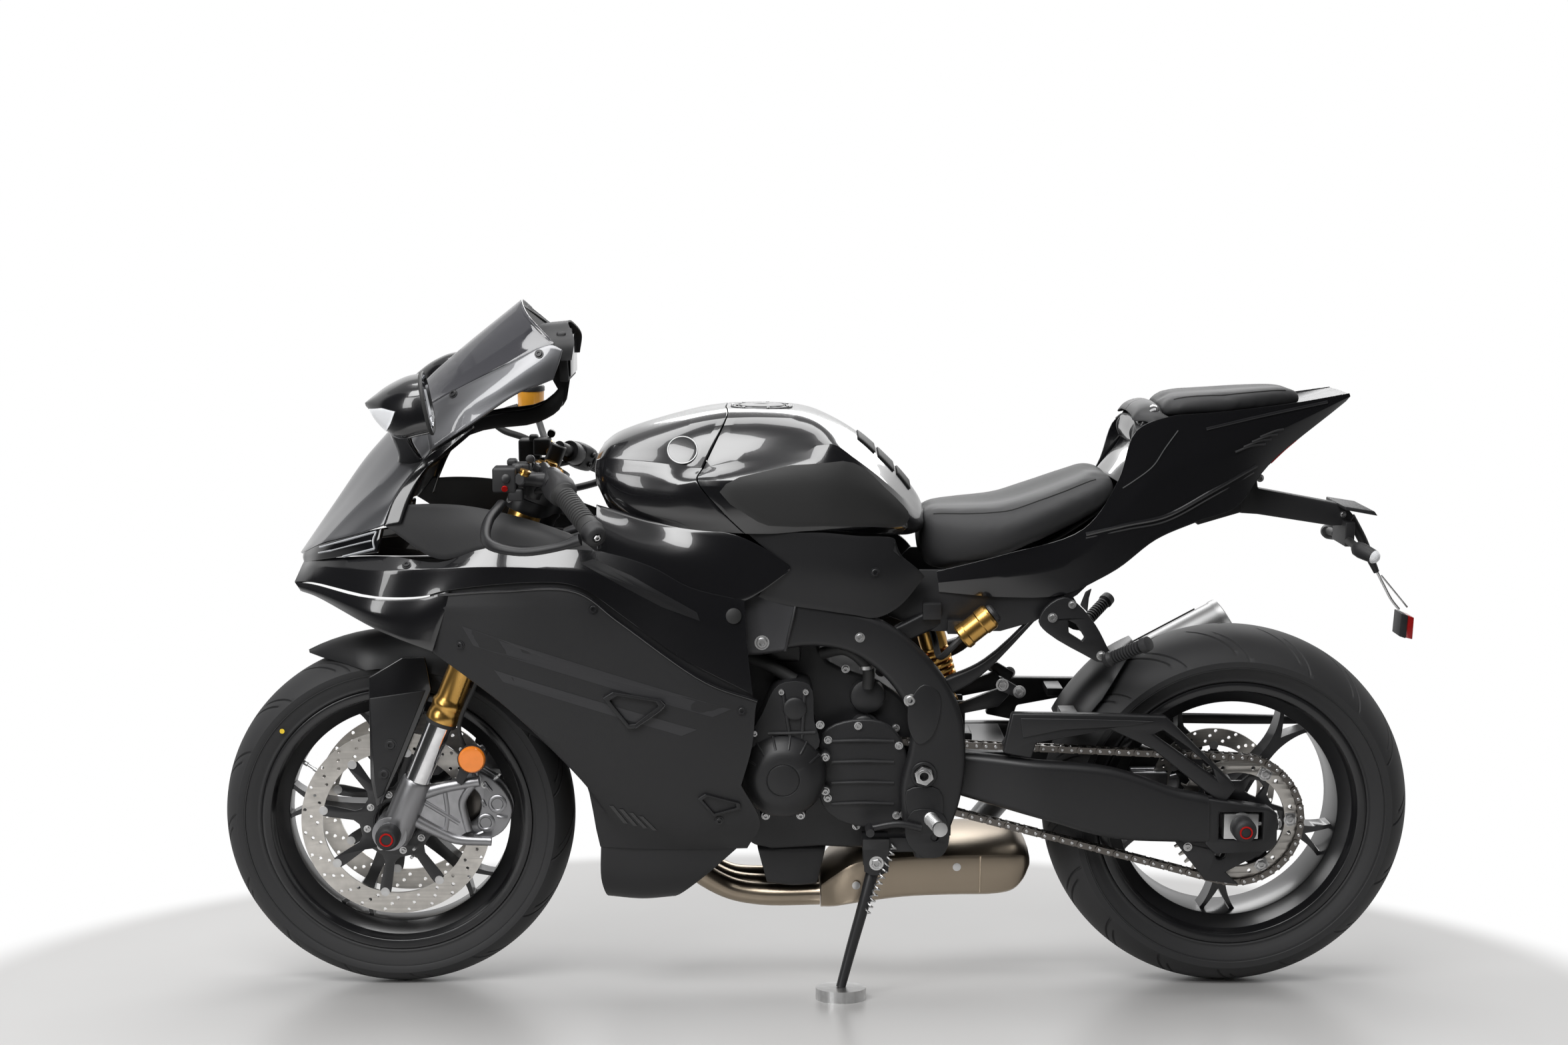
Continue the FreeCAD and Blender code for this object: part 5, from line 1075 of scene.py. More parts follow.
piece("fuel_cap_screws", join(*[bolt((800 + 48 * cos(2 * pi * k / 7), 48 * sin(2 * pi * k / 7), 1005), (0, 0, 1),
    radius=2.6, height=2.2, sides=20, washer=False) for k in range(7)]), "bare_aluminium")

# %% [markdown]
# Rubber pads are stuck to the tank where the rider's knees and belt touch it. Each cell of the honeycomb is a
# shallow six-sided dish, so the whole pattern is laid on the tank cell by cell.

# %% Pads


def inside(x, z, outline):
    odd = False
    for (x1, z1), (x2, z2) in zip(outline, outline[1:] + outline[:1]):
        if (z1 > z) != (z2 > z) and x < (x2 - x1) * (z - z1) / (z2 - z1) + x1:
            odd = not odd
    return odd


def honeycomb(outline, size):
    cells = []
    left_x = min(p[0] for p in outline)
    low_z = min(p[1] for p in outline)
    for row in range(60):
        for column in range(60):
            x = left_x + size * (column + (0.5 if row % 2 else 0))
            z = low_z + size * 0.866 * row
            corners = [(x + size * 0.56 * cos(pi / 6 + pi / 3 * k), z + size * 0.56 * sin(pi / 6 + pi / 3 * k))
                for k in range(6)]
            if not all(inside(a, c, outline) for a, c in corners):
                continue
            rows = []
            for share, proud in line_of("1 2.2, 0.84 2.9, 0.62 2.9, 0.5 2.2"):
                rows.append([tank_surface.at(x + (a - x) * share, z + (c - z) * share, proud)[0]
                    for a, c in corners])
            points, faces = grid(rows, closed=True)
            faces.append([18 + k for k in range(6)])
            cells.append((points, faces))
    return join(*cells)


knee = line_of("""
    836 906, 671 930, 640 918, 604 884, 572 852, 561 834, 572 822, 620 824, 700 829, 790 830, 822 846,
    868 884""")
piece("knee_pads", both(laid(tank_surface, smooth_outline(knee, 2), 2, 3, 10)), "rubber", wall=2, sharp=50)
piece("knee_pad_cells", both(honeycomb(line_of("""
    760 905, 671 920, 642 909, 608 878, 578 848, 569 836, 578 829, 620 831, 700 836, 770 838"""), 9.5)), "rubber",
    sharp=50)
rear_pad = []
for start_x, end_x, half_wide in line_of("640 612 46, 606 580 42, 574 552 34"):
    rows = []
    for i in range(6):
        x = start_x + (end_x - start_x) * i / 5
        row = []
        for j in range(11):
            y = half_wide * (j / 5 - 1)
            hit, normal, index, distance = tank_surface.tree.ray_cast(spot(x, y, 1100), spot(0, 0, -1))
            row.append(hit + spot(-0.6, 0, 0.8) * 3.2)
        rows.append(row)
    rear_pad.append(faced(grid(rows), (-1, 0, 1)))
piece("tank_rear_pads", join(*rear_pad), "rubber", wall=3, bevel=1.2)
duct_rows = rows_of("""
    1068 140 858, 1010 142 842, 950 150 828, 890 160 820, 840 167 811, 796 168 790, 757 167 763
    1066 172 836, 1010 176 806, 950 177 782, 890 175 768, 840 172 763, 796 170 761, 754 168 758
    1064 187 786, 1000 187 766, 950 185 740, 890 181 714, 836 176 704, 806 173 717, 757 168 752""")
piece("inner_linings", both(faced(net(rows_of("""
    1406 164 826, 1319 176 774, 1243 183 792, 1141 186 790, 1064 186 787
    1392 162 842, 1325 170 822, 1255 174 828, 1160 176 818, 1086 174 802
    1378 160 860, 1331 160 862, 1270 160 858, 1180 160 838, 1110 160 814"""), 6, 5), (0, 1, 0))), "matte_plastic",
    wall=2, bevel=0.8)
piece("seam_backings", both(faced(net(rows_of("""
    1332 196 740, 1240 202 746, 1150 204 750, 1090 202 744, 1020 200 700, 925 194 622, 815 184 556
    1332 198 690, 1240 206 690, 1150 208 690, 1090 208 690, 1024 206 650, 905 198 560, 813 184 520"""), 4, 4),
    (0, 1, 0))), "satin_black", wall=2)
piece("duct_panels", both(faced(net(duct_rows, 6, 6), (0, 1, 0))), "gloss_black", wall=3, bevel=1.0, sharp=26)
print("pads done")

# %% [markdown]
# Side covers, seat shells and tail are moulded like the fairing. The tail has a strong crease along its side, a
# deck under the pillion seat and a nose piece that closes the gap behind the rider's seat.

# %% Side covers and tail
cover_side = rows_of("""
    822 158 812, 760 163 815, 700 164 815, 640 160 809, 604 154 807, 584 150 802, 587 149 784
    774 164 762, 722 167 757, 680 168 752, 640 166 747, 604 160 744, 574 152 750, 548 146 754
    808 154 706, 760 157 695, 700 158 686, 650 156 678, 614 150 672, 576 146 690, 534 141 739""")
cover_side_mesh = faced(net(cover_side, 7, 7), (0, 1, 0))
piece("side_covers", both(cover_side_mesh), "satin_black", wall=5, bevel=1.6, segments=3, sharp=26)
place, out = Surface(cover_side_mesh).at(617, 750, 0.2)
piece("side_cover_bolts", both(bolt(place, out, radius=6, height=3.6, sides=20)), "satin_black")
tail_rows = rows_of("""
    512 112 742, 400 118 772, 272 113 813, 216 106 892, 187 98 973, 136 96 996, 60 92 1003, -60 77 1015,
    -172 60 1032
    510 117 724, 400 122 738, 290 119 762, 218 114 828, 172 111 880, 116 105 914, 50 99 934, -52 80 972,
    -174 60 1027
    508 114 708, 400 118 700, 300 114 704, 214 108 746, 150 104 795, 85 96 822, 14 84 846, -40 70 914,
    -168 56 1018""")
tail_mesh = faced(net(tail_rows, 7, 7, creases=(1,)), (0, 1, 0))
piece("tail_cowl", both(tail_mesh), "gloss_black", wall=3, bevel=1.0, sharp=18, angle=14)
piece("tail_deck", faced(net(across(rows_of("""
    182 0 990, 60 0 996, -60 0 1005, -172 0 1032
    184 60 986, 60 56 994, -60 46 1004, -173 36 1031
    188 97 974, 60 91 1001, -60 76 1013, -172 59 1031""")), 6, 5), (0, 0, 1)), "satin_black", wall=3, bevel=1.0)
piece("tail_underside", faced(net(across(list(reversed(rows_of("""
    300 112 700, 214 106 744, 150 102 793, 85 94 820, 14 82 844, -40 68 912, -166 55 1016
    300 0 716, 214 0 754, 150 0 798, 85 0 826, 14 0 852, -40 0 922, -168 0 1020""")))), 6, 5), (0, 0, -1)),
    "matte_plastic", wall=3)
piece("tail_nose", faced(net(across(rows_of("""
    226 0 892, 202 0 922, 180 0 944, 158 0 1000
    222 66 892, 198 66 922, 178 64 944, 156 62 996
    213 102 888, 190 98 922, 172 95 950, 150 90 985""")), 6, 6), (1, 0, 0.3)), "gloss_black", wall=3, bevel=1.0)
piece("tail_lamp_edges", both(sweep("-44 66 917, -66 64 938, -86 62 955", 2.2, 8, 8)), "red_anodised")

# %% [markdown]
# The seats are foam under a grained cover. A remeshed copy is filled with air by the cloth solver for a few frames,
# held close to its first form, which rounds the edges and puts a soft swell in the top, as foam does.

# %% Seats


def cushion(name, sections, stands_for, swell, seams):
    """A padded seat. A section is x, half width, low z, shoulder z, top z and the dish of the middle."""
    rows = []
    for x, wide, low, shoulder, top, dish in sections:
        half = [(0, low), (wide * 0.8, low), (wide, low + (shoulder - low) * 0.3), (wide, shoulder),
            (wide * 0.9, shoulder + (top - shoulder) * 0.62), (wide * 0.55, top), (0, top - dish)]
        ring = half + [(-y, z) for y, z in reversed(half[1:-1])]
        rows.append([(x, y, z) for y, z in ring])
    fine = [spline([row[j] for row in rows], 8) for j in range(len(rows[0]))]
    lines = [list(line) for line in zip(*fine)]
    points, faces = grid([spline(line, 3, True) for line in lines], closed=True)
    wide = len(lines[0]) * 3
    faces += caps(points, wide)
    pad = piece(name, (points, faces), "seat_cover", stands_for=stands_for, bevel=5.0, segments=3, sharp=180,
        angle=40)
    remesh = pad.modifiers.new("even", "REMESH")
    remesh.mode = "VOXEL"
    remesh.voxel_size = 0.006
    settle(pad, 180)
    before = [v.co.copy() for v in pad.data.vertices]
    cloth = pad.modifiers.new("air", "CLOTH")
    cloth.settings.use_pressure = True
    cloth.settings.uniform_pressure_force = 4.0
    cloth.settings.effector_weights.gravity = 0.0
    cloth.settings.quality = 5
    cloth.point_cache.frame_start = 1
    cloth.point_cache.frame_end = 16
    for frame_number in range(1, 17):
        bpy.context.scene.frame_set(frame_number)
    settle(pad, 180)
    for v, first in zip(pad.data.vertices, before):
        step = v.co - first
        if step.length > swell / 1000:
            v.co = first + step.normalized() * swell / 1000
    bpy.context.scene.frame_set(1)
    smooth = pad.modifiers.new("soft", "SMOOTH")
    smooth.factor = 0.6
    smooth.iterations = 6
    fine_step = pad.modifiers.new("fine", "SUBSURF")
    fine_step.levels = fine_step.render_levels = 1
    settle(pad, 180)
    tree = Surface(([v.co.copy() for v in pad.data.vertices], [list(f.vertices) for f in pad.data.polygons])).tree
    turn = bike.to_quaternion()
    for index, seam in enumerate(seams):
        line = []
        for p in spline(seam, 8):
            hit, normal, face, distance = tree.find_nearest(pad.matrix_world.inverted() @ (bike @ p))
            line.append(bike.inverted() @ (pad.matrix_world @ (hit + normal * 0.0002)))
        piece(name + "_seam_%d" % index, both(sweep(line, 1.3, 6, 1)), "seat_thread")
    return pad


cushion("rider_seat", line_of("""
    534 62 752 812 829 0, 524 84 744 812 834 0, 500 104 742 812 837 1, 460 122 752 812 840 3,
    400 136 772 822 846 5, 340 134 796 842 864 6, 280 122 824 864 886 5, 236 108 846 880 901 2,
    218 98 858 882 896 0"""), ("rider_seat",), 3,
    rows_of("516 70 834, 470 92 838, 400 108 846, 330 106 866, 250 90 896"))
cushion("passenger_seat", line_of("""
    140 64 992 1004 1010 0, 124 76 994 1010 1022 0, 90 82 996 1014 1028 1, 35 80 999 1017 1032 2,
    -20 70 1003 1021 1036 2, -72 54 1008 1024 1037 1, -98 40 1013 1024 1031 0"""), ("passenger_seat",), 2,
    rows_of("120 62 1022, 60 66 1030, -10 60 1035, -70 44 1036"))
cap_rows = []
for y, scale in line_of("-84 0.05, -82 0.7, -70 0.95, -40 1, 0 1.02, 40 1, 70 0.95, 82 0.7, 84 0.05"):
    outline = line_of("172 938, 184 944, 190 966, 182 986, 164 1008, 148 1012, 142 1000, 146 970, 158 946")
    cap_rows.append([(162 + (x - 162) * scale, y, 975 + (z - 975) * scale) for x, z in outline])
points, faces = grid([spline(row, 3, True)
    for row in [list(r) for r in zip(*[spline(line, 3) for line in zip(*cap_rows)])]], closed=True)
piece("seat_cap", (points, faces), "gloss_black", sharp=60)
piece("seat_cap_slots", both(sweep("186 60 950, 187 62 968, 180 62 984", [2, 5, 2], 10, 6)), "satin_black")
strap_rows = [[(x, y, z + lift) for x, lift in line_of("188 -10, 178 2, 160 8, 146 6, 138 0")]
    for y, z in ((0, 1008), (50, 1005), (74, 998))]
strap_rows += [line_of("166 90 986, 158 92 992, 146 93 992, 134 92 992, 124 91 990"),
    line_of("162 98 962, 154 99 964, 144 99 966, 134 98 966, 126 96 966")]
piece("seat_strap", both(faced(net(strap_rows, 3, 5), (0, 1, 1))), "matte_plastic", wall=2, bevel=0.6)
tail_surface = Surface(tail_mesh)


def tail_line(points, proud, radius):
    return sweep([tail_surface.at(x, z, proud)[0] for x, z in line_of(points)], radius, 8, 8)


piece("tail_ridges", both(tail_line("268 804, 200 820, 135 833, 60 872, -18 914", 0.2, 3.4),
    tail_line([(72, 976), (-20, 996), (-134, 1018)], 0.2, 2.6)), "gloss_black")
piece("tail_seams", both(tail_line("118 974, 140 944, 159 916, 190 892, 208 880", 0.1, 1.3), tail_line("""
    268 798, 200 812, 135 824, 60 862, -14 902""", 0, 1.6)), "matte_plastic")
piece("tail_vents", both(*[tail_line([(22 - 14 * k, 938 + 8 * k), (-6 - 14 * k, 948 + 8 * k),
    (-30 - 10 * k, 950 + 8 * k)], 0.4, 2) for k in range(4)]), "matte_plastic")
piece("seat_rail_panels", both(plate("""
    596 690, 592 667, 518 641, 405 641, 349 657, 279 702, 240 740, 400 745, 540 745""", 106, 111)), "satin_black",
    bevel=1.5)
print("seats done")

# %% [markdown]
# The chassis is cast and pressed aluminium under satin black paint. The two spars run from the head tube round the
# engine to the pivot plates, with a lighter front section that is welded on, and the seat rails are bolted behind.
# Castings have rounded corners, so each is a bar through stations with corner radii.

# %% Frame
spar_stations = stations_of("""
    1135 785 1165 715 50 40, 1040 812 1068 712 92 36, 930 780 960 655 124 30, 800 716 832 612 137 32,
    700 694 716 624 139 32, 600 664 650 610 137 31, 520 597 590 562 135 29, 474 520 556 500 133 27,
    462 440 556 450 132 26, 470 360 570 380 132 26, 490 300 560 300 132 26, 506 262 545 262 132 26""")
piece("frame", both(loft(spar_stations, rounding=11, steps=5, corner=4)), "frame_black", sharp=50)
piece("frame_front_section", both(loft("""
    1139 787 1169 713 50 42, 1040 814 1068 710 92 39, 930 782 960 653 124 33, 805 720 835 609 137 35,
    741 703 762 615 139 35""", rounding=12, steps=5, corner=4)), "frame_grey", sharp=50)
piece("frame_welds", both(sweep("744 154 700, 748 157 680, 755 157 650, 762 155 618", 2.6, 8, 6)), "frame_black")
piece("frame_rails", both(*[loft("""
    580 652 590 612 118 24, 470 700 470 660 92 28, 330 740 330 690 90 28, 160 850 150 800 80 24,
    40 930 30 890 64 22, -60 960 -60 930 50 20""", 7, 6),
         loft("496 566 504 530 124 22, 430 594 444 560 110 22, 300 716 322 684 94 20", 7, 6)]), "frame_black",
         sharp=50)
head_tube = lathe("0 20, 0 29, 6 31, 14 27.5, 130 27.5, 138 31, 144 29, 144 20", fork_point(0, 0, 446),
    fork_point(0, 0, 590), 40)
gusset = loft("1130 782 1160 712 0 80, 1206 790 1230 716 0 44", 10, 3)
cross = [box_mesh((484, -130, 296), (510, 130, 318)), box_mesh((600, -130, 672), (640, 130, 690)),
    box_mesh((1000, -92, 770), (1030, 92, 800)),
         box_mesh((505, -126, 664), (535, 126, 690)), box_mesh((-60, -52, 934), (-30, 52, 956)),
         box_mesh((400, -92, 678), (440, 92, 700)),
         box_mesh((60, -70, 905), (80, 70, 925)), box_mesh((504, -34, 632), (536, -25, 680)),
         box_mesh((504, 25, 632), (536, 34, 680)),
         box_mesh((458, 98, 640), (494, 127.7, 662)), box_mesh((520, 119.5, 272), (589, 142.5, 296)),
         box_mesh((588, 105.7, 278), (632, 150.3, 296))]
cross += [plate("588 296, 632 296, 629 240, 616 234, 602 234, 589 240", low, low + 8) for low in (105.7, 142.3)]
piece("frame_crosses", join(gusset, *cross), "frame_black", bevel=2.2, segments=3)
piece("frame_head_tube", head_tube, "frame_black", sharp=40)
plates_out = rows_of("""
    534 560, 556 533, 560 500, 552 470, 540 458, 520 470, 506 510, 508 545
    505 380, 560 380, 556 330, 548 285, 516 285, 500 330""")
for index, outline in enumerate(plates_out):
    piece("frame_ribs_%d" % index, both(plate([smooth_outline(outline, 4)], 146, 149.5)), "frame_black", bevel=2.5,
        segments=3, sharp=40)
piece("pivot_rings", both(hub("0 17, 0 22, 3 22, 4 21, 4 17", (532, 145, 406), 40)), "satin_black")
piece("pivot_nuts", both(*[plate([[(532 + 16.5 * cos(pi * k / 3 + 0.3), 406 + 16.5 * sin(pi * k / 3 + 0.3))
    for k in range(6)], circle(532, 406, 7.5, 24)], 145, 157), hub("0 7.4, 0 11.5, 2.5 11, 2.5 7.4",
    (532, 156, 406), 30)]), "bare_aluminium", bevel=0.8)
piece("frame_bolts", both(*[side_cap((556, 147, 533), 8, 5), side_cap((800, 155, 632), 9, 6),
               side_bolt((528, 146.5, 300), 7, 5), side_cap((640, 153, 640), 6, 4)]), "bare_aluminium")

# %% [markdown]
# The swingarm: two tapering beams, braced above on both sides, with slots at the back where the axle moves to set
# the chain.

# %% Swingarm
arm = loft("""
    520 434 520 372 86 42, 440 432 430 348 104 35, 344 426 332 324 127 32, 217 414 217 292 130 30,
    110 378 106 286 132 32, 70 370 66 284 132 32, 56 366 54 284 132 32""", 14, 5, 5)
piece("swingarm_ends", both(plate("""
    64 364, 10 355, -46 346, -60 336, -61 284, -48 272, 44 268, 60 284
    37 339, -36 339, -36 292, 37 292""", 117, 145)), "frame_black", bevel=3.5, segments=3, sharp=40)
brace_outline = line_of("""
    400 440, 386 508, 244 506, 130 502, 19 392, 8 378, 28 350, 60 372, 151 446, 222 479, 345 456, 352 430""")
brace = plate([brace_outline, line_of("150 471, 134 478, 92 448, 50 413, 44 396")], 119.5, 136.5)
piece("swingarm", both(arm), "frame_black", sharp=50)
piece("swingarm_braces", both(brace), "frame_black", bevel=4, segments=3, sharp=40)
piece("swingarm_ribs", both(plate("372 500, 250 498, 150 494, 190 486, 300 480, 368 466", 136, 139)), "frame_black",
    bevel=2.2, segments=3)
middle_parts = [hub("0 0, 0 34, 216 34, 216 0", (532, -108, 404), 40), box_mesh((440, -30, 425), (500, 30, 445)),
                box_mesh((452, -26.3, 440), (498, -16.3, 501)), box_mesh((452, 16.3, 440), (498, 26.3, 501)),
                plate("500 380, 500 430, 380 430, 380 376", -96, 96)]
piece("swingarm_middle", join(*middle_parts), "frame_black", bevel=3, segments=3, sharp=40)
piece("chain_fin", plate([line_of("110 288, -50 288, -50 270, 20.5 231, -3 209, 54.5 217"), circle(30, 262, 9, 20)],
    124.5, 131.5), "matte_plastic", bevel=2.4, segments=3)
piece("swingarm_side_bar", loft("72 440 72 422 -128 12, -60 438 -60 420 -128 12, -176 434 -176 420 -128 12", 4, 3),
    "frame_black", sharp=50)
axle_parts = []
for sign in (1, -1):
    axle_parts.append(plate("-28 294, 30 294, 30 337, -28 337", sign * 128 - 15, sign * 128 + 19))
piece("axle_blocks", join(*axle_parts), "bare_aluminium", bevel=1.6)
nut = [hub("0 0, 0 24, 3 24, 3 0", (0, 142, 315), 40), side_bolt((0, 145, 315), 18, 15),
       hub("0 0, 0 20, 20 20, 26 18.5, 30 14, 31 0", (0, 148, 315), 40)]
piece("axle_nuts", both(*nut[:2]), "bare_aluminium", bevel=0.8)
piece("axle_bobbins", both(nut[2]), "matte_plastic", sharp=40)
piece("axle_bobbin_rings", both(hub("0 8, 0 11, 1.2 10.6, 1.2 8.4", (0, 178.4, 315), 40)), "red_anodised")
piece("chain_adjusters", both(*[lathe("0 0, 0 4, 34 4, 34 0", (-24, 128, 315), (-60, 128, 315), 14),
    bolt((-63, 128, 315), (-1, 0, 0), radius=8, height=7)]), "bare_aluminium")
piece("axle_spacers", join(*[lathe("0 13, 0 20, 22 20, 22 13", (0, sign * 118, 315), (0, sign * 60, 315), 30)
    for sign in (1, -1)]), "bare_aluminium")
piece("chain_sliders", plate("400 446, 388 430, 360 428, 356 452, 386 470", 98, 112), "matte_plastic", bevel=2)
piece("chain_fin_bolts", join(*[side_cap((86, 131.5, 276), 5.5, 4), side_cap((-30, 131.5, 279), 5.5, 4)]),
    "bare_aluminium")

# %% [markdown]
# The engine: a cast crankcase and cylinder block behind the fairing, with the generator cover on the left and the
# clutch cover on the right. The covers have raised ribs and a ring of silver bolts.

# %% Engine
piece("engine_block", plate([smooth_outline("""
    540 300, 545 420, 548 500, 600 548, 690 585, 720 640, 800 650, 958 650, 944 560, 920 420, 850 330,
    815 266, 700 263, 600 263""", 3)], -86, 86), "engine_black", bevel=7, segments=4, sharp=40)
ribs = []
for x1, z1, x2, z2 in line_of("""
    560 330 690 330, 556 372 690 372, 560 440 650 520, 600 300 640 400, 860 350 880 520, 640 300 650 380"""):
    ribs.append(sweep([(x1, 87, z1), ((x1 + x2) / 2, 90, (z1 + z2) / 2), (x2, 87, z2)], 4, 8, 4))
ribs += [hub("0 0, 0 30, 12 28, 16 20, 16 0", (623, 86, 527), 32), hub("0 0, 0 22, 14 20, 18 14, 18 0",
    (629, 86, 474), 32), hub("0 0, 0 50, 10 48, 14 44, 14 0", (632, 86, 414), 40)]
piece("engine_ribs", both(*ribs), "engine_black", sharp=40)
piece("cylinder_head", join(*[box_mesh((735, -96, 585), (955, 96, 640)), box_mesh((760, -90, 640),
    (935, 90, 668))]), "engine_black", bevel=6, segments=3)
cover = [hub("""
    0 0, 0 72, 52 72, 60 71, 68 67, 74 60, 82 50, 86 42, 88 30, 88 27.4, 86.8 27, 86.8 26, 88.4 25.6, 90 0""",
    (765, 88, 405), 64)]
neck_line = smooth_outline("""
    772 560, 722 560, 714 500, 706 455, 765 430, 822 460, 800 510""", 4)
cover += [plate([neck_line], 88, 150), hub("0 0, 0 20, 6 19, 8 15, 8 0", (746, 148, 520), 32)]
piece("engine_covers", join(*cover), "engine_black", bevel=3, segments=3, sharp=34)
fins = []
for k in range(6):
    a = radians(28 + 24 * k)
    inner_p = spot(765 + 50 * cos(a), 168, 405 + 50 * sin(a))
    outer_p = spot(765 + 70 * cos(a), 150, 405 + 70 * sin(a))
    fins.append(sweep([inner_p, (inner_p + outer_p) / 2 + spot(0, 1.5, 0), outer_p], 2.6, 8, 3))
for x1, z1, x2, z2 in line_of("730 545 734 470, 765 545 752 462, 712 480 790 478"):
    fins.append(sweep([(x1, 150, z1), ((x1 + x2) / 2, 152, (z1 + z2) / 2), (x2, 150, z2)], 3, 8, 3))
piece("engine_cover_ribs", join(*fins), "engine_black", sharp=40)
piece("clutch_cover", join(*[lathe("0 0, 0 92, 64 92, 74 88, 82 80, 84 74, 96 72, 97.7 66, 97.7 0", (690, -88, 420),
    (690, -186, 420), 72)]), "engine_black", sharp=30)
piece("oil_pan", loft("808 262 790 193 0 150, 752 262 748 189 0 158, 690 262 706 190 0 150", 12, 3, 4),
    "engine_black", bevel=2, sharp=40)
case_bolts = []
for k in range(8):
    a = radians(22 + 45 * k)
    case_bolts.append(side_cap((765 + 76 * cos(a), 140, 405 + 76 * sin(a)), 5.2, 7))
for x, z in line_of("728 548, 768 548, 704 492, 812 478"):
    case_bolts.append(side_cap((x, 148, z), 5.2, 6))
for x, z in line_of("560 320, 575 470, 610 545, 660 572, 640 300, 600 430, 672 350"):
    case_bolts.append(side_cap((x, 87, z), 5.2, 6))
piece("engine_bolts", join(*case_bolts), "bare_aluminium")
lugs = []
for k in range(8):
    a = radians(22 + 45 * k)
    x, z = 765 + 76 * cos(a), 405 + 76 * sin(a)
    lugs.append(hub("0 0, 0 10, 50 9, 51 0", (x, 89, z), 16))
piece("engine_bolt_lugs", join(*lugs), "engine_black", sharp=40)
piece("coolant_hoses", join(*[sweep("600 60 560, 585 96 590, 560 108 560, 548 100 520", 9, 12, 6), sweep("""
    700 92 600, 660 112 610, 625 112 580, 623 104 545""", 10, 12, 6),
         sweep("900 80 560, 860 106 600, 800 112 590, 746 118 560", 11, 12, 6)]), "rubber")
piece("hose_clips", join(*[lathe("0 9, 0 11.6, 6 11.6, 6 9", (x, y, z), (x + dx, y, z + dz), 20) for x, y, z, dx,
    dz in line_of("""
    560 108 562 -4 -14, 627 112 584 -1 -12, 862 105 599 -10 2""")]), "bare_aluminium")
piece("radiator", plate("1020 362, 1050 352, 1116 626, 1088 636", -158, 158), "radiator_black", bevel=3)
piece("radiator_bars", join(*[box_mesh((1052 + 7.5 * k, -140, 372 + 31 * k), (1058 + 7.5 * k, 140, 374 + 31 * k))
    for k in range(8)]), "bare_aluminium")

# %% [markdown]
# The exhaust: three steel headers under the engine, a collector chamber between the belly and the rear wheel, and
# a short silencer on the right. Heat has tinted the chamber bronze.

# %% Exhaust
pipes = [sweep([(950, side, 600), (1000, side, 594), (1012, side, 520), (1002, side, 370), (980, side, 290),
    (925, side * 0.9, 220), (860, side * 0.8, 176), (800, side, 166), (700, side, 166)], 19, 18, 6)
         for side in (-46, 0, 46)]
piece("exhaust_headers", join(*pipes), "titanium")
piece("exhaust_flanges", join(*[lathe("0 19, 0 27, 8 27, 8 19", (952, side, 600), (962, side, 598), 28)
    for side in (-46, 0, 46)]), "titanium", bevel=1)
rows = []
for x, top, low, half in line_of("""
    698 192 150 70, 676 214 156 86, 640 240 166 98, 560 251 178 101, 480 254 182 102, 400 255 184 102,
    372 254 190 98, 354 249 205 88, 343 240 222 74"""):
    half_ring = [(0, top + 9), (half * 0.6, top + 7), (half - 7, top), (half - 2, top - 3), (half, top - 9),
        (half, (top + low) / 2), (half, low + 8), (half - 2, low + 3), (half - 7, low - 1),
                 (half * 0.6, low - 9), (0, low - 13)]
    outline = half_ring + [(-y, z) for y, z in reversed(half_ring[1:-1])]
    rows.append([(x, y, z) for y, z in outline])
points, faces = grid([list(row) for row in zip(*[spline([row[j] for row in rows], 4) for j in range(20)])],
    closed=True)
total = len(points)
faces += [list(range(20)), [total - 20 + k for k in range(20)][::-1]]
piece("exhaust_chamber", (points, faces), "titanium", sharp=24)
piece("exhaust_seams", both(sweep("430 102 250, 430 102.4 218, 430 102 188", 1.8, 8, 6)), "titanium")
piece("exhaust_rivets", both(*[hub("0 0, 0 7, 2 7, 3 0", (x, 101.5, z), 16) for x, z in ((640, 200), (470, 232))]),
    "bare_aluminium")
link_pipe = sweep("""
    430 -98 205, 424 -150 205, 380 -182 250, 310 -198 320, 215 -204 400, 172 -205 446""", 24, 20, 8)
centre = spot(130, -206, 478)
along = spot(-0.883, -0.04, 0.469)
piece("silencer", join(link_pipe, lathe("""
    -112 24, -108 46, 0 59, 6 60, 192 60, 196 61.5, 206 61, 208 57, 202 44, 198 34, 204 32, 204 29, 150 28,
    150 0""", centre, centre + along, 56)), "satin_metal", sharp=40)
band = lathe("0 60.4, 0 62.4, 18 62.4, 18 60.4", centre + along * 8, centre + along * 20, 56)
guard = []
for k in range(-5, 6):
    a = radians(90 + 12 * k)
    guard.append([centre + along * t + (spot(0, -1, 0) * sin(a) + along.cross(spot(0, -1, 0)) * cos(a)) * 65
        for t in (-60, 0, 60, 120, 170)])
piece("silencer_band", band, "satin_metal")
piece("silencer_shield", grid(guard), "matte_plastic", wall=2, bevel=0.8, sharp=30)

# %% [markdown]
# The mudguard over the rear wheel, the shock with its gold reservoir, and the foot controls.

# %% Hugger, shock and footrests
rows = []
for i in range(15):
    a = radians(28 + 32 * i / 14)
    wide = 76 if i < 9 else 76 - 46 * ((i - 8) / 6) ** 1.5
    flank = 34 if i < 7 else 34 - 24 * (i - 6) / 8
    row = []
    for j in range(13):
        b = (j / 6 - 1)
        r = 337 - flank * abs(b) ** 4
        row.append((r * cos(a), wide * b, 315 + r * sin(a)))
    rows.append(row)
piece("hugger", faced(grid(rows), (0.5, 0.3, 1)), "satin_black", wall=3, bevel=1, sharp=50)
piece("hugger_ears", both(*[box_mesh((272, 60, 488), (300, 119.7, 502))]), "satin_black", bevel=1.5)
foot = spot(476, 0, 492.3)
top = spot(520, 0, 647.7)
along = (top - foot).normalized()
shock_body = lathe("""
    10 0, 10 12, 30 12, 32 22, 38 22, 40 15, 100 15, 102 23, 112 24, 136 24, 138 12, 150 12, 150 0""", foot, top,
    32)
coil = []
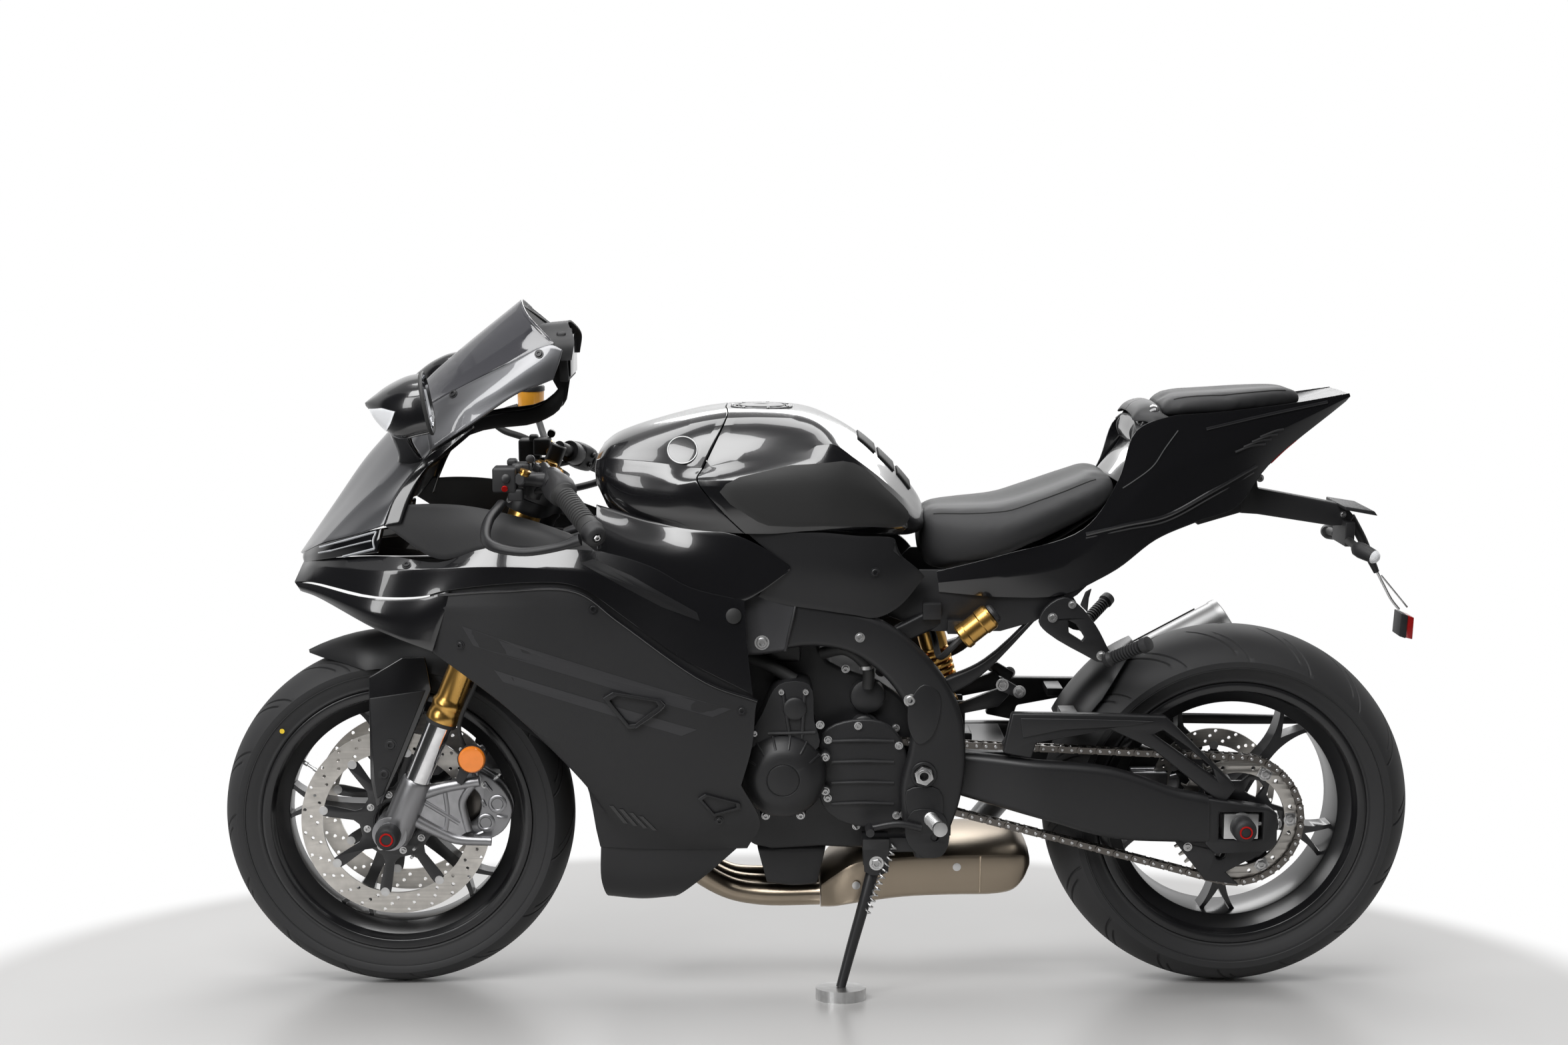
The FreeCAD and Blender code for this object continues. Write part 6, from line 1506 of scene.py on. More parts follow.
for k in range(61):
    a = 2 * pi * k / 10
    side = spot(0, 1, 0) * cos(a) + along.cross(spot(0, 1, 0)) * sin(a)
    coil.append(foot + along * (38 + 64 * k / 60) + side * 21)
piece("shock", join(shock_body, *[lathe("0 7, 0 16, 32 16, 32 7", p + spot(0, -16, 0), p + spot(0, 16, 0), 28)
    for p in (foot, top)]), "gold_anodised", sharp=40)
piece("shock_spring", sweep(coil, 4.2, 8, 1), "gold_anodised")
piece("shock_reservoir", lathe("0 0, 0 19, 3 22, 12 22, 14 20.5, 40 20.5, 42 22, 58 22, 62 19, 64 0",
    (474, 150, 638), (424, 150, 678), 36), "gold_anodised", sharp=34)
piece("shock_reservoir_cap", lathe("0 0, 0 17, 5 16, 8 12, 8 0", (424, 150, 678), (418, 150, 683), 30),
    "engine_black")
piece("shock_hose", sweep("474 150 638, 490 150 622, 505 120 600, 510 60 620, 516 20 640", 5.5, 10, 8), "rubber")
links_out = rows_of("""
    478 500, 470 486, 400 500, 382 520, 392 534, 410 528
    400 544, 388 548, 358 530, 364 516, 396 528""")
piece("shock_links", both(plate([links_out[0]], 52, 62), plate([links_out[1]], 62, 70)), "frame_black", bevel=2)
piece("shock_link_bolts", both(*[side_bolt((395, 70, 540), 8, 6), side_bolt((366, 70, 528), 8, 6),
    side_bolt((476, 62, 494), 7, 6)]), "bare_aluminium")
piece("footrests", both(plate([smooth_outline("""
    500 340, 548 346, 562 318, 556 288, 530 266, 500 268, 488 300""", 4), circle(512, 300, 7, 16)], 143, 152)),
    "frame_black", bevel=2, segments=3)
piece("foot_pegs", both(lathe([(0, 0), (0, 12), (6, 12)] + [(8 + 5 * k + d, r)
    for k in range(12) for d, r in line_of("""
    0 9.6, 1 11.2, 3.4 11.2, 4.4 9.6""")] + [(70, 12.5), (75, 12), (76, 0)], (520, 150, 332), (510, 226, 336), 24)),
    "bare_aluminium", sharp=40)
piece("pedals", both(*[sweep("620 158 318, 575 160 326, 536 158 318", 6, 10, 6), hub("""
    0 0, 0 7, 34 7, 34 0""", (622, 152, 318), 20)]), "frame_black", sharp=40)
piece("shift_rod", join(*[sweep([(669, 112, 396), (674, 112, 358)], 5.5, 12, 2), sweep("""
    674 112 358, 660 114 332, 641 118 304""", 2.2, 8, 4)]), "bare_aluminium")
piece("passenger_brackets", both(plate([smooth_outline("""
    304 702, 280 690, 250 655, 232 622, 224 604, 238 592, 270 606, 330 642, 344 660, 334 684""", 3),
              line_of("296 664, 282 656, 268 634, 272 628, 294 642")], 120, 130)), "frame_black", bevel=2.4,
              segments=3)
piece("strap_hooks", both(plate("276 688, 268 710, 258 716, 262 700, 264 676", 122, 128)), "frame_black", bevel=1.6)
piece("passenger_pegs", both(lathe(line_of("0 0, 0 11, 10 13, 14 10") + [(16 + 6 * k + d, r) for k in range(10)
    for d, r in line_of("""
    0 8.5, 1 11, 4 11, 5 8.5""")] + [(80, 13), (92, 12), (95, 0)], (232, 132, 596), (165, 198, 644), 20)),
    "matte_plastic", sharp=40)
piece("passenger_peg_bolts", both(*[side_bolt((240, 130, 604), 6, 5), side_cap((322, 130, 668), 6, 5),
    side_cap((290, 130, 690), 5, 4)]), "bare_aluminium")
caliper = [plate([line_of("96 330, 40 345, -10 343, -29 326, -29 304, -10 287, 60 280, 110 300"),
    circle(0, 315, 20.4, 32)], -96, -88), box_mesh((84, -100, 290), (146, -84.5, 350)),
           box_mesh((84, -71.5, 290), (146, -58, 350)), box_mesh((118, -85, 292), (146, -71, 348))]
piece("rear_caliper", join(*caliper), "caliper_grey", bevel=3, segments=3)
print("chassis done")

# %% [markdown]
# The fork is the upside-down kind: gold outer tubes held by two clamps, chrome inner tubes that go into cast feet,
# and radial brake calipers bolted to legs on the castings. Everything here turns with the steering.

# %% Fork
TUBE_X = 20.6
TUBE_Y = 105.0


def on_fork(name, mesh, finish_name, **kind):
    return piece(name, mesh, finish_name, body="steering", where=fork, **kind)


clamp_line = smooth_outline("""
    -34 0, -22 34, -14 92, 0 132, 26 144, 50 134, 57 104, 36 66, 30 26, 32 0, 30 -26, 36 -66, 57 -104,
    50 -134, 26 -144, 0 -132, -14 -92, -22 -34""", 3)


def flat_plate(loops, low, high):
    """A plate lying across the fork: (x, y) outlines between two heights."""
    points, faces = plate(loops, low, high)
    return [spot(p[0], p[2], p[1]) for p in points], faces


holes = [circle(TUBE_X, TUBE_Y, 27.4, 32), circle(TUBE_X, -TUBE_Y, 27.4, 32)]
on_fork("fork_clamps", join(flat_plate([clamp_line, *holes], 590.3, 613.6), flat_plate([clamp_line, *holes], 418,
    445.6)), "frame_black", bevel=4, segments=4, sharp=40)
stem_parts = [lathe("0 0, 0 15, 212 15, 212 0", (0, 0, 408), (0, 0, 620), 28), lathe("""
    0 8, 0 22, 8 21, 9 12, 4 10, 4 8""", (0, 0, 613), (0, 0, 640), 36)]
on_fork("fork_stem", join(*stem_parts), "bare_aluminium", sharp=40)
pinch = []
for sign in (1, -1):
    for z in (426, 438, 602):
        pinch.append(bolt((48, sign * 132, z), (0.6, sign * 0.8, 0), radius=5, height=6, sides=20, washer=False))
on_fork("clamp_bolts", join(*pinch), "bare_aluminium")
outer_profile = line_of("""
    206 21.8, 206 25.4, 209 26.8, 222 26.8, 224 25.6, 234 25.6, 236 26.8, 243 26.8, 247 24, 252 23.4,
    300 23.6, 316 27, 636 27, 640 25.5, 640 18""")
outer = lathe(outer_profile, (0, 0, 0), (0, 0, 1), 48)
tops = lathe("636 24, 641 24, 643 22, 643 12, 648 11.5, 649 9.5, 649 0", (0, 0, 0), (0, 0, 1), 40)
placed = [Matrix.Translation((TUBE_X, sign * TUBE_Y, 0)) for sign in (1, -1)]
on_fork("fork_tubes", join(*[moved(outer, m) for m in placed]), "gold_anodised", sharp=40)
on_fork("fork_tops", join(*[moved(tops, m) for m in placed]), "gold_anodised", sharp=40)
seals = lathe("203 21.7, 203 26.5, 209.4 27.4, 209.4 21.7", (0, 0, 0), (0, 0, 1), 40)
on_fork("fork_seals", join(*[moved(seals, m) for m in placed]), "rubber", sharp=40)
inner_tube = lathe("70 0, 70 21.5, 300 21.5, 300 0", (0, 0, 0), (0, 0, 1), 48)
on_fork("fork_chrome", join(*[moved(inner_tube, m) for m in placed]), "chrome", sharp=40)
foot_profile = lathe("-22 0, -22 16, -14 25, 0 27.5, 60 27, 84 26, 90 25.4, 96 25, 98 24, 98 21.6", (0, 0, 0),
    (0, 0, 1), 48)
on_fork("fork_sliders", join(*[moved(foot_profile, m) for m in placed]), "caliper_grey", sharp=40)
arms = []
for sign in (1, -1):
    side = sign * 104
    arms.append(plate([circle(28.5, 0, 29, 40), circle(28.5, 0, 12, 30)], side - 24, side + 24))
on_fork("axle_clamps", join(*arms), "caliper_grey", bevel=4, segments=3, sharp=45)
web = plate("""
    1366 372, 1320 380, 1276 386, 1300 352, 1298 330, 1290 300, 1314 284, 1350 296, 1384 316""", 100, 107)
arms = [web]
for line, radii in (([(1374, 362), (1330, 374), (1272, 384)], [13, 10, 9]), (line_of("""
    1388 322, 1340 296, 1312 284, 1254 280"""), [12, 10, 9, 8]),
                    (line_of("1280 384, 1301 350, 1298 326, 1291 298"), 7),
                    ([(1366, 350), (1334, 330), (1306, 312)], 5.5), ([(1330, 372), (1326, 330), (1330, 296)], 5)):
    arms.append(sweep([(x, 104, z) for x, z in line], radii, 14, 6))
piece("caliper_legs", both(*arms), "caliper_grey", body="steering", sharp=45)
axle = [hub("0 0, 0 12.4, 276 12.4, 276 0", (28.5, -138, 0), 32)]
for sign in (1, -1):
    axle += [lathe("0 12, 0 20, 20 20, 20 12", (28.5, sign * 76, 0), (28.5, sign * 40, 0), 32),
        bolt((28.5, sign * 129, 0), (0, sign, 0), radius=15, height=9)]
    for z in (-16, -7):
        axle.append(bolt((20 - 34 + z * 0.2, sign * 104, z * 1.6 - 4), (-1, 0, -0.4), radius=4.2, height=5,
            sides=20, washer=False))
on_fork("front_axle_parts", join(*axle), "bare_aluminium")
bobbin = hub("0 0, 0 20, 18 20.5, 25 19, 29 15, 30 0", (28.5, 130, 0), 36)
bobbin_ring = lathe("0 8.5, 0 11.5, 1.2 11, 1.2 9", (28.5, 159.6, 0), (28.5, 165, 0), 36)
on_fork("front_bobbins", both(bobbin), "matte_plastic", sharp=40)
on_fork("front_bobbin_rings", both(bobbin_ring), "red_anodised")

# %% [markdown]
# A radial caliper is one block machined from both sides, with two pistons a side, a bridge and cooling ribs. Its
# bolts run along the disc's radius.

# %% Front brakes
caliper_line = smooth_outline("""
    -46 126, -58 142, -84 142, -122 128, -146 100, -144 62, -118 32, -90 18, -74 30, -96 70, -86 104,
    -62 116""", 4)
halves = [plate([caliper_line], 39.6, 54), plate([caliper_line], 71, 85.6)]
bridge = smooth_outline("""
    -100 132, -122 124, -146 98, -144 68, -126 44, -118 66, -122 96, -108 116""", 3)
halves.append(plate([bridge], 53, 72))
on_fork("front_calipers", both(*halves), "caliper_grey", bevel=3.5, segments=3, sharp=45)
ribs = []
for x, z, r in ((-118, 104, 15.5), (-112, 66, 15.5)):
    ribs.append(hub([(0, 0), (0, r), (2.4, r), (4, r - 2), (4, r - 5), (2.6, r - 6.5), (2.6, 0)], (x, 85.4, z), 32))
for x1, z1, x2, z2 in line_of("-84 130 -100 120, -142 88 -126 84, -100 36 -114 48, -92 100 -100 92"):
    ribs.append(sweep([(x1, 85.6, z1), ((x1 + x2) / 2, 87.6, (z1 + z2) / 2), (x2, 85.6, z2)], 3.4, 8, 4))
on_fork("caliper_ribs", both(*ribs), "caliper_grey", sharp=40)
grip_bolts = []
for x, z, way in ((-48, 134, (0.75, 0, 0.66)), (-64, 30, (0.95, 0, -0.1))):
    grip_bolts.append(bolt((x, 62, z), way, radius=6, height=7, sides=20))
for x, z in ((-86, 126), (-98, 34)):
    grip_bolts.append(side_cap((x, 85.4, z), 4.2, 4))
on_fork("caliper_bolts", both(*grip_bolts), "bare_aluminium")
on_fork("bleed_screws", both(*[lathe("0 0, 0 3.4, 8 3.4, 9 2.4, 14 2.4, 14 0", (-98, 74, 138), (-104, 74, 152),
    14)]), "bare_aluminium")
pads = [plate("-92 112, -70 104, -64 74, -80 44, -98 56, -108 88", low, low + 4) for low in (56, 65)]
on_fork("brake_pads", both(*pads), "chain_steel", bevel=0.6)
on_fork("brake_lines", both(sweep("""
    -70 88 132, -52 96 160, -12 118 210, -10 128 300, -6 112 410, 10 60 430, 30 16 440""", 3.6, 10, 8)), "rubber")
on_fork("brake_unions", both(*[side_bolt((-70, 85, 132), 5.5, 8), lathe("0 3, 0 5.4, 16 5.4, 16 3", (-66, 90, 138),
    (-58, 94, 150), 14)]), "bare_aluminium")
reflex = hub("0 0, 0 22.5, 4 22.5, 7 20, 8 0", (1281, 122, 427), 40)
reflex_back = hub("0 0, 0 24.5, 4 24.5, 4 0", (1281, 118, 427), 40)
piece("front_reflectors", both(reflex), "amber_lens", body="steering", sharp=40)
piece("front_reflector_backs", both(reflex_back), "matte_plastic", body="steering", sharp=40)
piece("front_reflector_arms", both(plate("1300 380, 1310 388, 1296 430, 1284 440, 1276 420", 112, 117)),
    "frame_black", body="steering", bevel=1)

# %% [markdown]
# The front mudguard hugs the tyre, comes to a point ahead of it, and is held by a leg on each fork foot.

# %% Front mudguard
rows = []
for i in range(27):
    share = i / 26
    a = radians(39.6 + 98 * share)
    grown = min(1, share * 98 / 18.3)
    wide = (6 + 62 * grown ** 0.75) * min(1, 0.6 + 2.2 * (1 - share))
    drop = (3 + 50 * grown ** 0.8) * min(1, 0.4 + 3 * (1 - share))
    row = []
    for j in range(15):
        b = j / 7 - 1
        r = 322 - drop * abs(b) ** 3 + 2 * max(0, 1 - abs(b) * 3)
        row.append((28.5 + r * cos(a), wide * b, r * sin(a)))
    rows.append(row)
on_fork("front_fender", faced(grid(rows), (0.3, 0.3, 1)), "satin_black", wall=3, bevel=1.0, sharp=40)
piece("fender_legs", both(plate([line_of("""
    1457 556, 1400 590, 1362 590, 1352 534, 1400 420, 1441 336, 1450 330, 1459 376, 1458 470""")], 71, 76)),
    "gloss_black", body="steering", bevel=2.2, segments=3, sharp=40)
piece("fender_leg_faces", both(plate("1456 520, 1362 534, 1438 352, 1448 346, 1452 380", 75, 78)), "satin_black",
    body="steering", bevel=1.6, segments=3)
piece("fender_bolts", both(*[side_cap((x, 78, z), 7.5, 4) for x, z in ((1423, 440), (1435, 389))]), "matte_plastic",
    body="steering")

# %% [markdown]
# Clip-on bars clamp the gold tubes under the screen. Each has a rubber grip with ribs, a steel end weight, a lever
# and a switch box; the right one carries the amber brake fluid pot and its black hose.

# %% Handlebars
BAR_IN = spot(20, 139, 672)
BAR_OUT = spot(-92, 330, 642)
bar_way = (BAR_OUT - BAR_IN).normalized()
bar_long = (BAR_OUT - BAR_IN).length


def bar_at(share):
    return BAR_IN.lerp(BAR_OUT, share)


rings = plate([circle(TUBE_X, TUBE_Y, 38, 44), circle(TUBE_X, TUBE_Y, 27.2, 36)], 614.6, 638.6)
rings = ([spot(p[0], p[2], p[1]) for p in rings[0]], rings[1])
on_fork("handlebars", both(rings, lathe("0 0, 0 15, 52 15, 54 13, 54 0", (20.6, 139, 622), (20.6, 139, 690), 28),
    lathe([(0, 0), (0, 11), (bar_long, 11), (bar_long, 0)], BAR_IN, BAR_OUT, 28)), "frame_black", bevel=1.2,
    sharp=40)
grip_profile = line_of("0 11, 0 20, 4 20.5, 7 18")
for k in range(13):
    grip_profile += [(10 + 7.4 * k, 15.6), (11.4 + 7.4 * k, 17.2), (15.2 + 7.4 * k, 17.2), (16.4 + 7.4 * k, 15.6)]
grip_profile += line_of("108 17, 122 17.4, 126 17, 127 11")
start = BAR_OUT - bar_way * 127
on_fork("grips", both(lathe(grip_profile, start, BAR_OUT, 36)), "rubber", sharp=40)
on_fork("bar_ends", both(lathe("0 0, 0 15, 3 19, 9 19, 11 17.4, 20 17, 24 14, 26 8, 24 6, 24 0", BAR_OUT,
    BAR_OUT + bar_way, 32)), "matte_plastic", sharp=40)
on_fork("bar_end_bolts", both(bolt(BAR_OUT + bar_way * 22, bar_way, radius=5.5, height=5, washer=False)),
    "bare_aluminium")
box_at = bar_at(0.34)
switch_rows = []
for t, half_x, half_z in line_of("-24 15 15, -20 20 21, 0 21 24, 20 20 22, 25 15 16"):
    ring = []
    for k in range(20):
        a = 2 * pi * k / 20
        c, s = cos(a), sin(a)
        offset = spot(1, 0, 0) * half_x * copysign(abs(c) ** 0.6, c)
        offset += spot(0, 0, 1) * half_z * copysign(abs(s) ** 0.6, s)
        ring.append(box_at + bar_way * t + offset)
    switch_rows.append(ring)
points, faces = grid(switch_rows, closed=True)
faces += caps(points, 20)
on_fork("bar_controls", both((points, faces)), "matte_plastic", bevel=1.4, sharp=40)
on_fork("switch_buttons", both(*[lathe("0 0, 0 5, 4 5, 5 4, 5 0", box_at + spot(-20, 0, z),
    box_at + spot(-30, 0, z), 16) for z in (10, -8)]), "satin_black", bevel=0.4)
piece("red_button", hub("0 0, 0 5, 4 5, 5 4, 5 0", (1208, 205, 893), 18), "red_anodised", body="steering")
perch_at = bar_at(0.22)
perch = [lathe("0 11, 0 19, 3 20, 26 20, 29 19, 29 11", perch_at - bar_way * 14, perch_at, 30),
    sweep([perch_at + spot(10, 2, -2), perch_at + spot(30, 8, -8), perch_at + spot(46, 18, -12)], [13, 11, 10], 12,
    6), lathe("0 0, 0 10, 48 10, 50 8, 50 0", perch_at + spot(34, -22, -10), perch_at + spot(50, 26, -14), 24)]
on_fork("lever_perches", both(*perch), "frame_black", sharp=40)
piece("levers", both(sweep("1214 205 868, 1230 250 846, 1224 300 822, 1172 328 813, 1112 342 823, 1078 348 835",
    [8, 8, 7, 5.5, 5.5, 7.5], 12, 6, flat=1.3)), "satin_black", body="steering", sharp=40)
on_fork("lever_adjusters", both(*[
    lathe("0 0, 0 9, 3 9, 3 7, 6 7, 6 9, 9 9, 9 0", perch_at + spot(46, 18, -6), perch_at + spot(46, 18, 20), 20),
    lathe("0 0, 0 6, 16 6, 18 4, 18 0", perch_at + spot(40, -20, -10), perch_at + spot(34, -44, -8), 18)]),
    "gold_anodised", sharp=40)
pot_base = spot(1211, -230, 975)
fluid = lathe("0 0, 0 20, 3 23, 30 24, 33 24, 33 0", pot_base, pot_base + spot(0, 0, 1), 36)
lid = lathe("32 0, 32 25, 39 25, 42 23, 43 14, 43 0", pot_base, pot_base + spot(0, 0, 1), 36)
piece("fluid_pot", fluid, "amber_fluid", body="steering", sharp=40)
piece("fluid_pot_lid", lid, "satin_black", body="steering", sharp=40)
pot_stay = sweep("1205 -226 974, 1196 -214 955, 1186 -190 934, 1176 -168 918", [9, 6, 6, 8], 10, 6)
pot_hose = sweep("""
    1234 -230 978, 1262 -230 968, 1277 -229 952, 1262 -226 937, 1227 -214 926, 1196 -190 916""", 6, 12, 8)
piece("fluid_pot_stay", pot_stay, "frame_black", body="steering")
piece("fluid_hose", pot_hose, "rubber", body="steering")
piece("switch_boxes", both(
    box_mesh((1190, 168, 886), (1228, 206, 926)), box_mesh((1192, 156, 924), (1208, 174, 936)),
    box_mesh((1170, 150, 900), (1200, 182, 930)), box_mesh((1180, 176, 872), (1204, 204, 892))),
    "matte_plastic", body="steering", bevel=4, segments=3)
piece("switch_knobs", both(*[lathe("0 0, 0 7, 8 7, 9 5, 9 0", (1206 - 18 * k, 200 - 14 * k, 908 + 14 * k),
    (1206 - 18 * k, 230, 914 + 14 * k), 18) for k in range(3)]), "satin_black", body="steering")
on_fork("bar_looms", both(*[sweep([bar_at(0.28) + spot(4, -12, -14), bar_at(0.16) + spot(14, -20, -34),
    spot(44, 100, 560), spot(46, 60, 500), spot(40, 30, 460)], 5, 10, 8)]), "rubber")

# %% [markdown]
# Mirrors on short stalks, with a clear indicator lens in each shell, and the instrument behind the screen with the
# dark shroud round it.

# %% Mirrors and instrument
shell_stations = line_of("""
    1417 244 1031 3 2.5, 1410 242 1029 16 9, 1398 240 1024 31 21, 1383 240 1019 44 35, 1366 240 1021 53 42,
    1345 241 1028 59 44, 1322 242 1033 61 44""")
rows = []
for x, y, z, half_y, half_z in shell_stations:
    ring = []
    for k in range(32):
        a = 2 * pi * k / 32
        c, s = cos(a), sin(a)
        out = half_y * copysign(abs(c) ** 0.7, c)
        rise = half_z * copysign(abs(s) ** 0.7, s)
        ring.append((x - 0.1 * out + rise * 0.2, y + out, z + rise - out * 0.08))
    rows.append(ring)
points, faces = grid([list(r) for r in zip(*[spline([row[k] for row in rows], 4) for k in range(32)])], closed=True)
faces.append(list(range(32)))
mirror_shell = (points, faces)
piece("mirrors", both(mirror_shell), "gloss_black", sharp=34)
last = len(points) - 32
middle = sum((points[last + k] for k in range(32)), Vector()) / 32
glass_rows = [[middle.lerp(points[last + k], share) + spot(dx, 0, 0) for k in range(32)]
    for share, dx in line_of("""
    1 0, 0.96 -2.4, 0.9 1.5, 0.02 1.5""")]
points, faces = grid(glass_rows, closed=True)
faces.append([len(points) - 32 + k for k in range(32)])
piece("mirror_glass", both((points, faces)), "mirror_glass", sharp=30)
piece("mirror_trims", both(sweep([mirror_shell[0][last + k] for k in range(32)], 3.2, 8, 1, closed=True)), "rubber")
piece("mirror_indicators", both(laid(Surface(mirror_shell),
    line_of("1407 1026, 1384 1029, 1362 1025, 1370 1006, 1378 994, 1394 1006"), 1.2, 4, 4)), "clear_lens", wall=2,
    sharp=50)
piece("mirror_stalks", both(loft("""
    1392 1006 1350 990 222 22, 1388 974 1354 966 190 20, 1386 940 1346 934 140 24, 1390 926 1340 918 122 26""", 8,
    6)), "gloss_black", sharp=50)
screen_back = box_mesh((1116, -70, 1050), (1132, 70, 1132))
screen_back = ([spot(p[0] - (p[2] - 1050) * -0.05, p[1], p[2]) for p in screen_back[0]], screen_back[1])
piece("instrument", screen_back, "matte_plastic", bevel=4, segments=3)
piece("instrument_face", box_mesh((1113.4, -62, 1058), (1116.4, 62, 1124)), "lamp_dark", bevel=0.8)
shroud_rows = rows_of("""
    1110 84 1087, 1106 78 1118, 1118 40 1142, 1122 0 1146
    1160 92 1082, 1160 82 1110, 1170 40 1134, 1172 0 1138
    1230 88 1052, 1232 72 1076, 1238 36 1092, 1240 0 1096
    1330 66 1012, 1332 50 1024, 1336 26 1030, 1338 0 1032""")
piece("dash_shroud", faced(net(across([list(col) for col in zip(*shroud_rows)][::-1]), 8, 6), (0, 0, 1)),
    "matte_plastic", wall=3, sharp=40)
piece("nose_stays", both(loft("""
    1150 1090 1150 1060 40 12, 1120 1070 1130 1010 40 12, 1165 1010 1170 980 36 12, 1260 992 1262 966 34 10,
    1336 960 1338 934 30 10""", 4, 4)), "frame_black", sharp=40)
print("front done")

# %% [markdown]
# Small things at the back and underneath: the arm for the number plate with its lamps, and the stand that holds
# the machine at its lean.

# %% Tail bracket and rear lamps
piece("plate_bracket", plate([line_of("""
    -4 905, -4 840, -8 824, -39 822, -167 802, -194 804, -204 818, -187 838, -38 866, -32 905""")], -15, 15),
    "matte_plastic", bevel=3, segments=3, sharp=40)
piece("plate_holder", join(*[plate("-174 842, -224 834, -230 826, -224 827, -174 836", -58, 58),
    box_mesh((-198, -39.5, 770.5), (-182, 39.5, 812)), plate("""
    70 816, 66 806, -8 828, -8 846, 20 840""", -30, 30)]), "matte_plastic", bevel=1.6, segments=3)
piece("plate_stem", sweep("-200 0 815, -222 0 778, -238 0 744, -250 0 720", [9, 8, 7, 5], 12, 6), "matte_plastic",
    sharp=50)
piece("plate_rods", join(sweep("-250 0 722, -262 0 700, -278 0 672, -292 0 655", 2.4, 8, 6),
    sweep([(-256, 6, 716), (-304, 6, 660)], 1.6, 8, 2)), "bare_aluminium")
reflector_back = plate("-290 652, -288 612, -300 608, -302 648", -20, 20)
reflector_front = plate("-302 648, -300 609, -312 606, -313 644", -18, 18)
piece("reflector_back", reflector_back, "matte_plastic", bevel=1.6)
piece("reflector", reflector_front, "red_lens", bevel=1.2)
piece("rear_lights", faced(net(rows_of("""
    -61 -48 952, -61 -16 953, -61 16 953, -61 48 952
    -105 -42 976, -105 -14 977, -105 14 977, -105 42 976
    -150 -34 998, -150 -12 999, -150 12 999, -150 34 998"""), 4, 6), (-0.4, 0, -1)), "red_lens", wall=8, bevel=1.5,
    sharp=40)
piece("indicator_stalks", both(sweep("-189 40 780, -189 62 779, -190 86 777", [7.5, 6.5, 7.5], 12, 5)), "rubber")
way = spot(-32, 44, -14).normalized()
head = lathe("0 0, 0 7, 6 12, 16 13.4, 30 12.6, 43 11.4", (-184, 84, 778), spot(-184, 84, 778) + way, 28)
lens_of = lathe("43 11.4, 49 8.5, 52 4, 53 0", (-184, 84, 778), spot(-184, 84, 778) + way, 28)
piece("indicator_shells", both(head), "matte_plastic", sharp=50)
piece("indicator_lenses", both(lens_of), "clear_lens", sharp=50)
piece("plate_bracket_bolts", both(*[side_cap((-44, 15, 918), 5, 4), side_cap((-40, 15, 884), 5, 4),
    side_cap((-184, 15, 822), 4, 3)]), "bare_aluminium")

# %% Side stand
hinge = spot(609, 128, 255)
foot = spot(668, 172, 0)
foot.z = (bike.inverted() @ spot(*(bike @ foot).xy, 0.020)).z
knee_at = hinge.lerp(foot, 0.3) + spot(0, 6, 0)
piece("side_stand", join(sweep([hinge, knee_at, hinge.lerp(foot, 0.7), foot], [11, 10, 9, 8], 14, 8),
    lathe("0 0, 0 17, 26 17, 26 0", hinge - spot(0, 13, 0), hinge + spot(0, 13, 0), 28)), "frame_black",
    body="stand", sharp=40)
piece("side_stand_pin", side_bolt(hinge + spot(0, 22, 0), 9, 6), "bare_aluminium")
spring_line = []
for k in range(97):
    a = 2 * pi * k / 8
    along = (hinge + spot(-30, 18, 30)).lerp(hinge.lerp(foot, 0.42) + spot(-8, 12, 0), k / 96)
    spring_line.append(along + spot(cos(a), sin(a) * 0.9, 0.3 * cos(a)) * 5)
piece("side_stand_spring", sweep(spring_line, 1.5, 6, 1), "bare_aluminium", body="stand")
print("small pieces done")

# %% [markdown]
# The studio is round and white, with a pale polished floor. The wall begins where the floor's grey fades out, and
# the background is white because of Light Path's Is Camera Ray, so the lamps can stay at a level at which colours
# render as they are written.

# %% Studio
FLOOR_FADE = 1.36
ROOM = 1.52
ROOM_MIDDLE = spot(0.07, -0.06, 0)


def studio():
    rows = []
    for radius in [0.02 + 0.1 * i for i in range(40)] + [4.5, 5.5, 7, 9]:
        rows.append([(radius * cos(2 * pi * k / 72), radius * sin(2 * pi * k / 72), 0) for k in range(72)])
    for radius, height in line_of("9.6 0.1, 10 0.5, 10 2, 10 9"):
        rows.append([(radius * cos(2 * pi * k / 72), radius * sin(2 * pi * k / 72), height) for k in range(72)])
    points, faces = grid(rows, closed=True)
    faces.append(list(range(72)))
    data = bpy.data.meshes.new("floor")
    data.from_pydata(points, [], faces)
    kit = bmesh.new()
    kit.from_mesh(data)
    bmesh.ops.recalc_face_normals(kit, faces=kit.faces)
    kit.to_mesh(data)
    kit.free()
    if data.polygons[0].normal.z < 0:
        data.flip_normals()
    floor = bpy.data.objects.new("floor", data)
    bpy.context.scene.collection.objects.link(floor)
    return floor


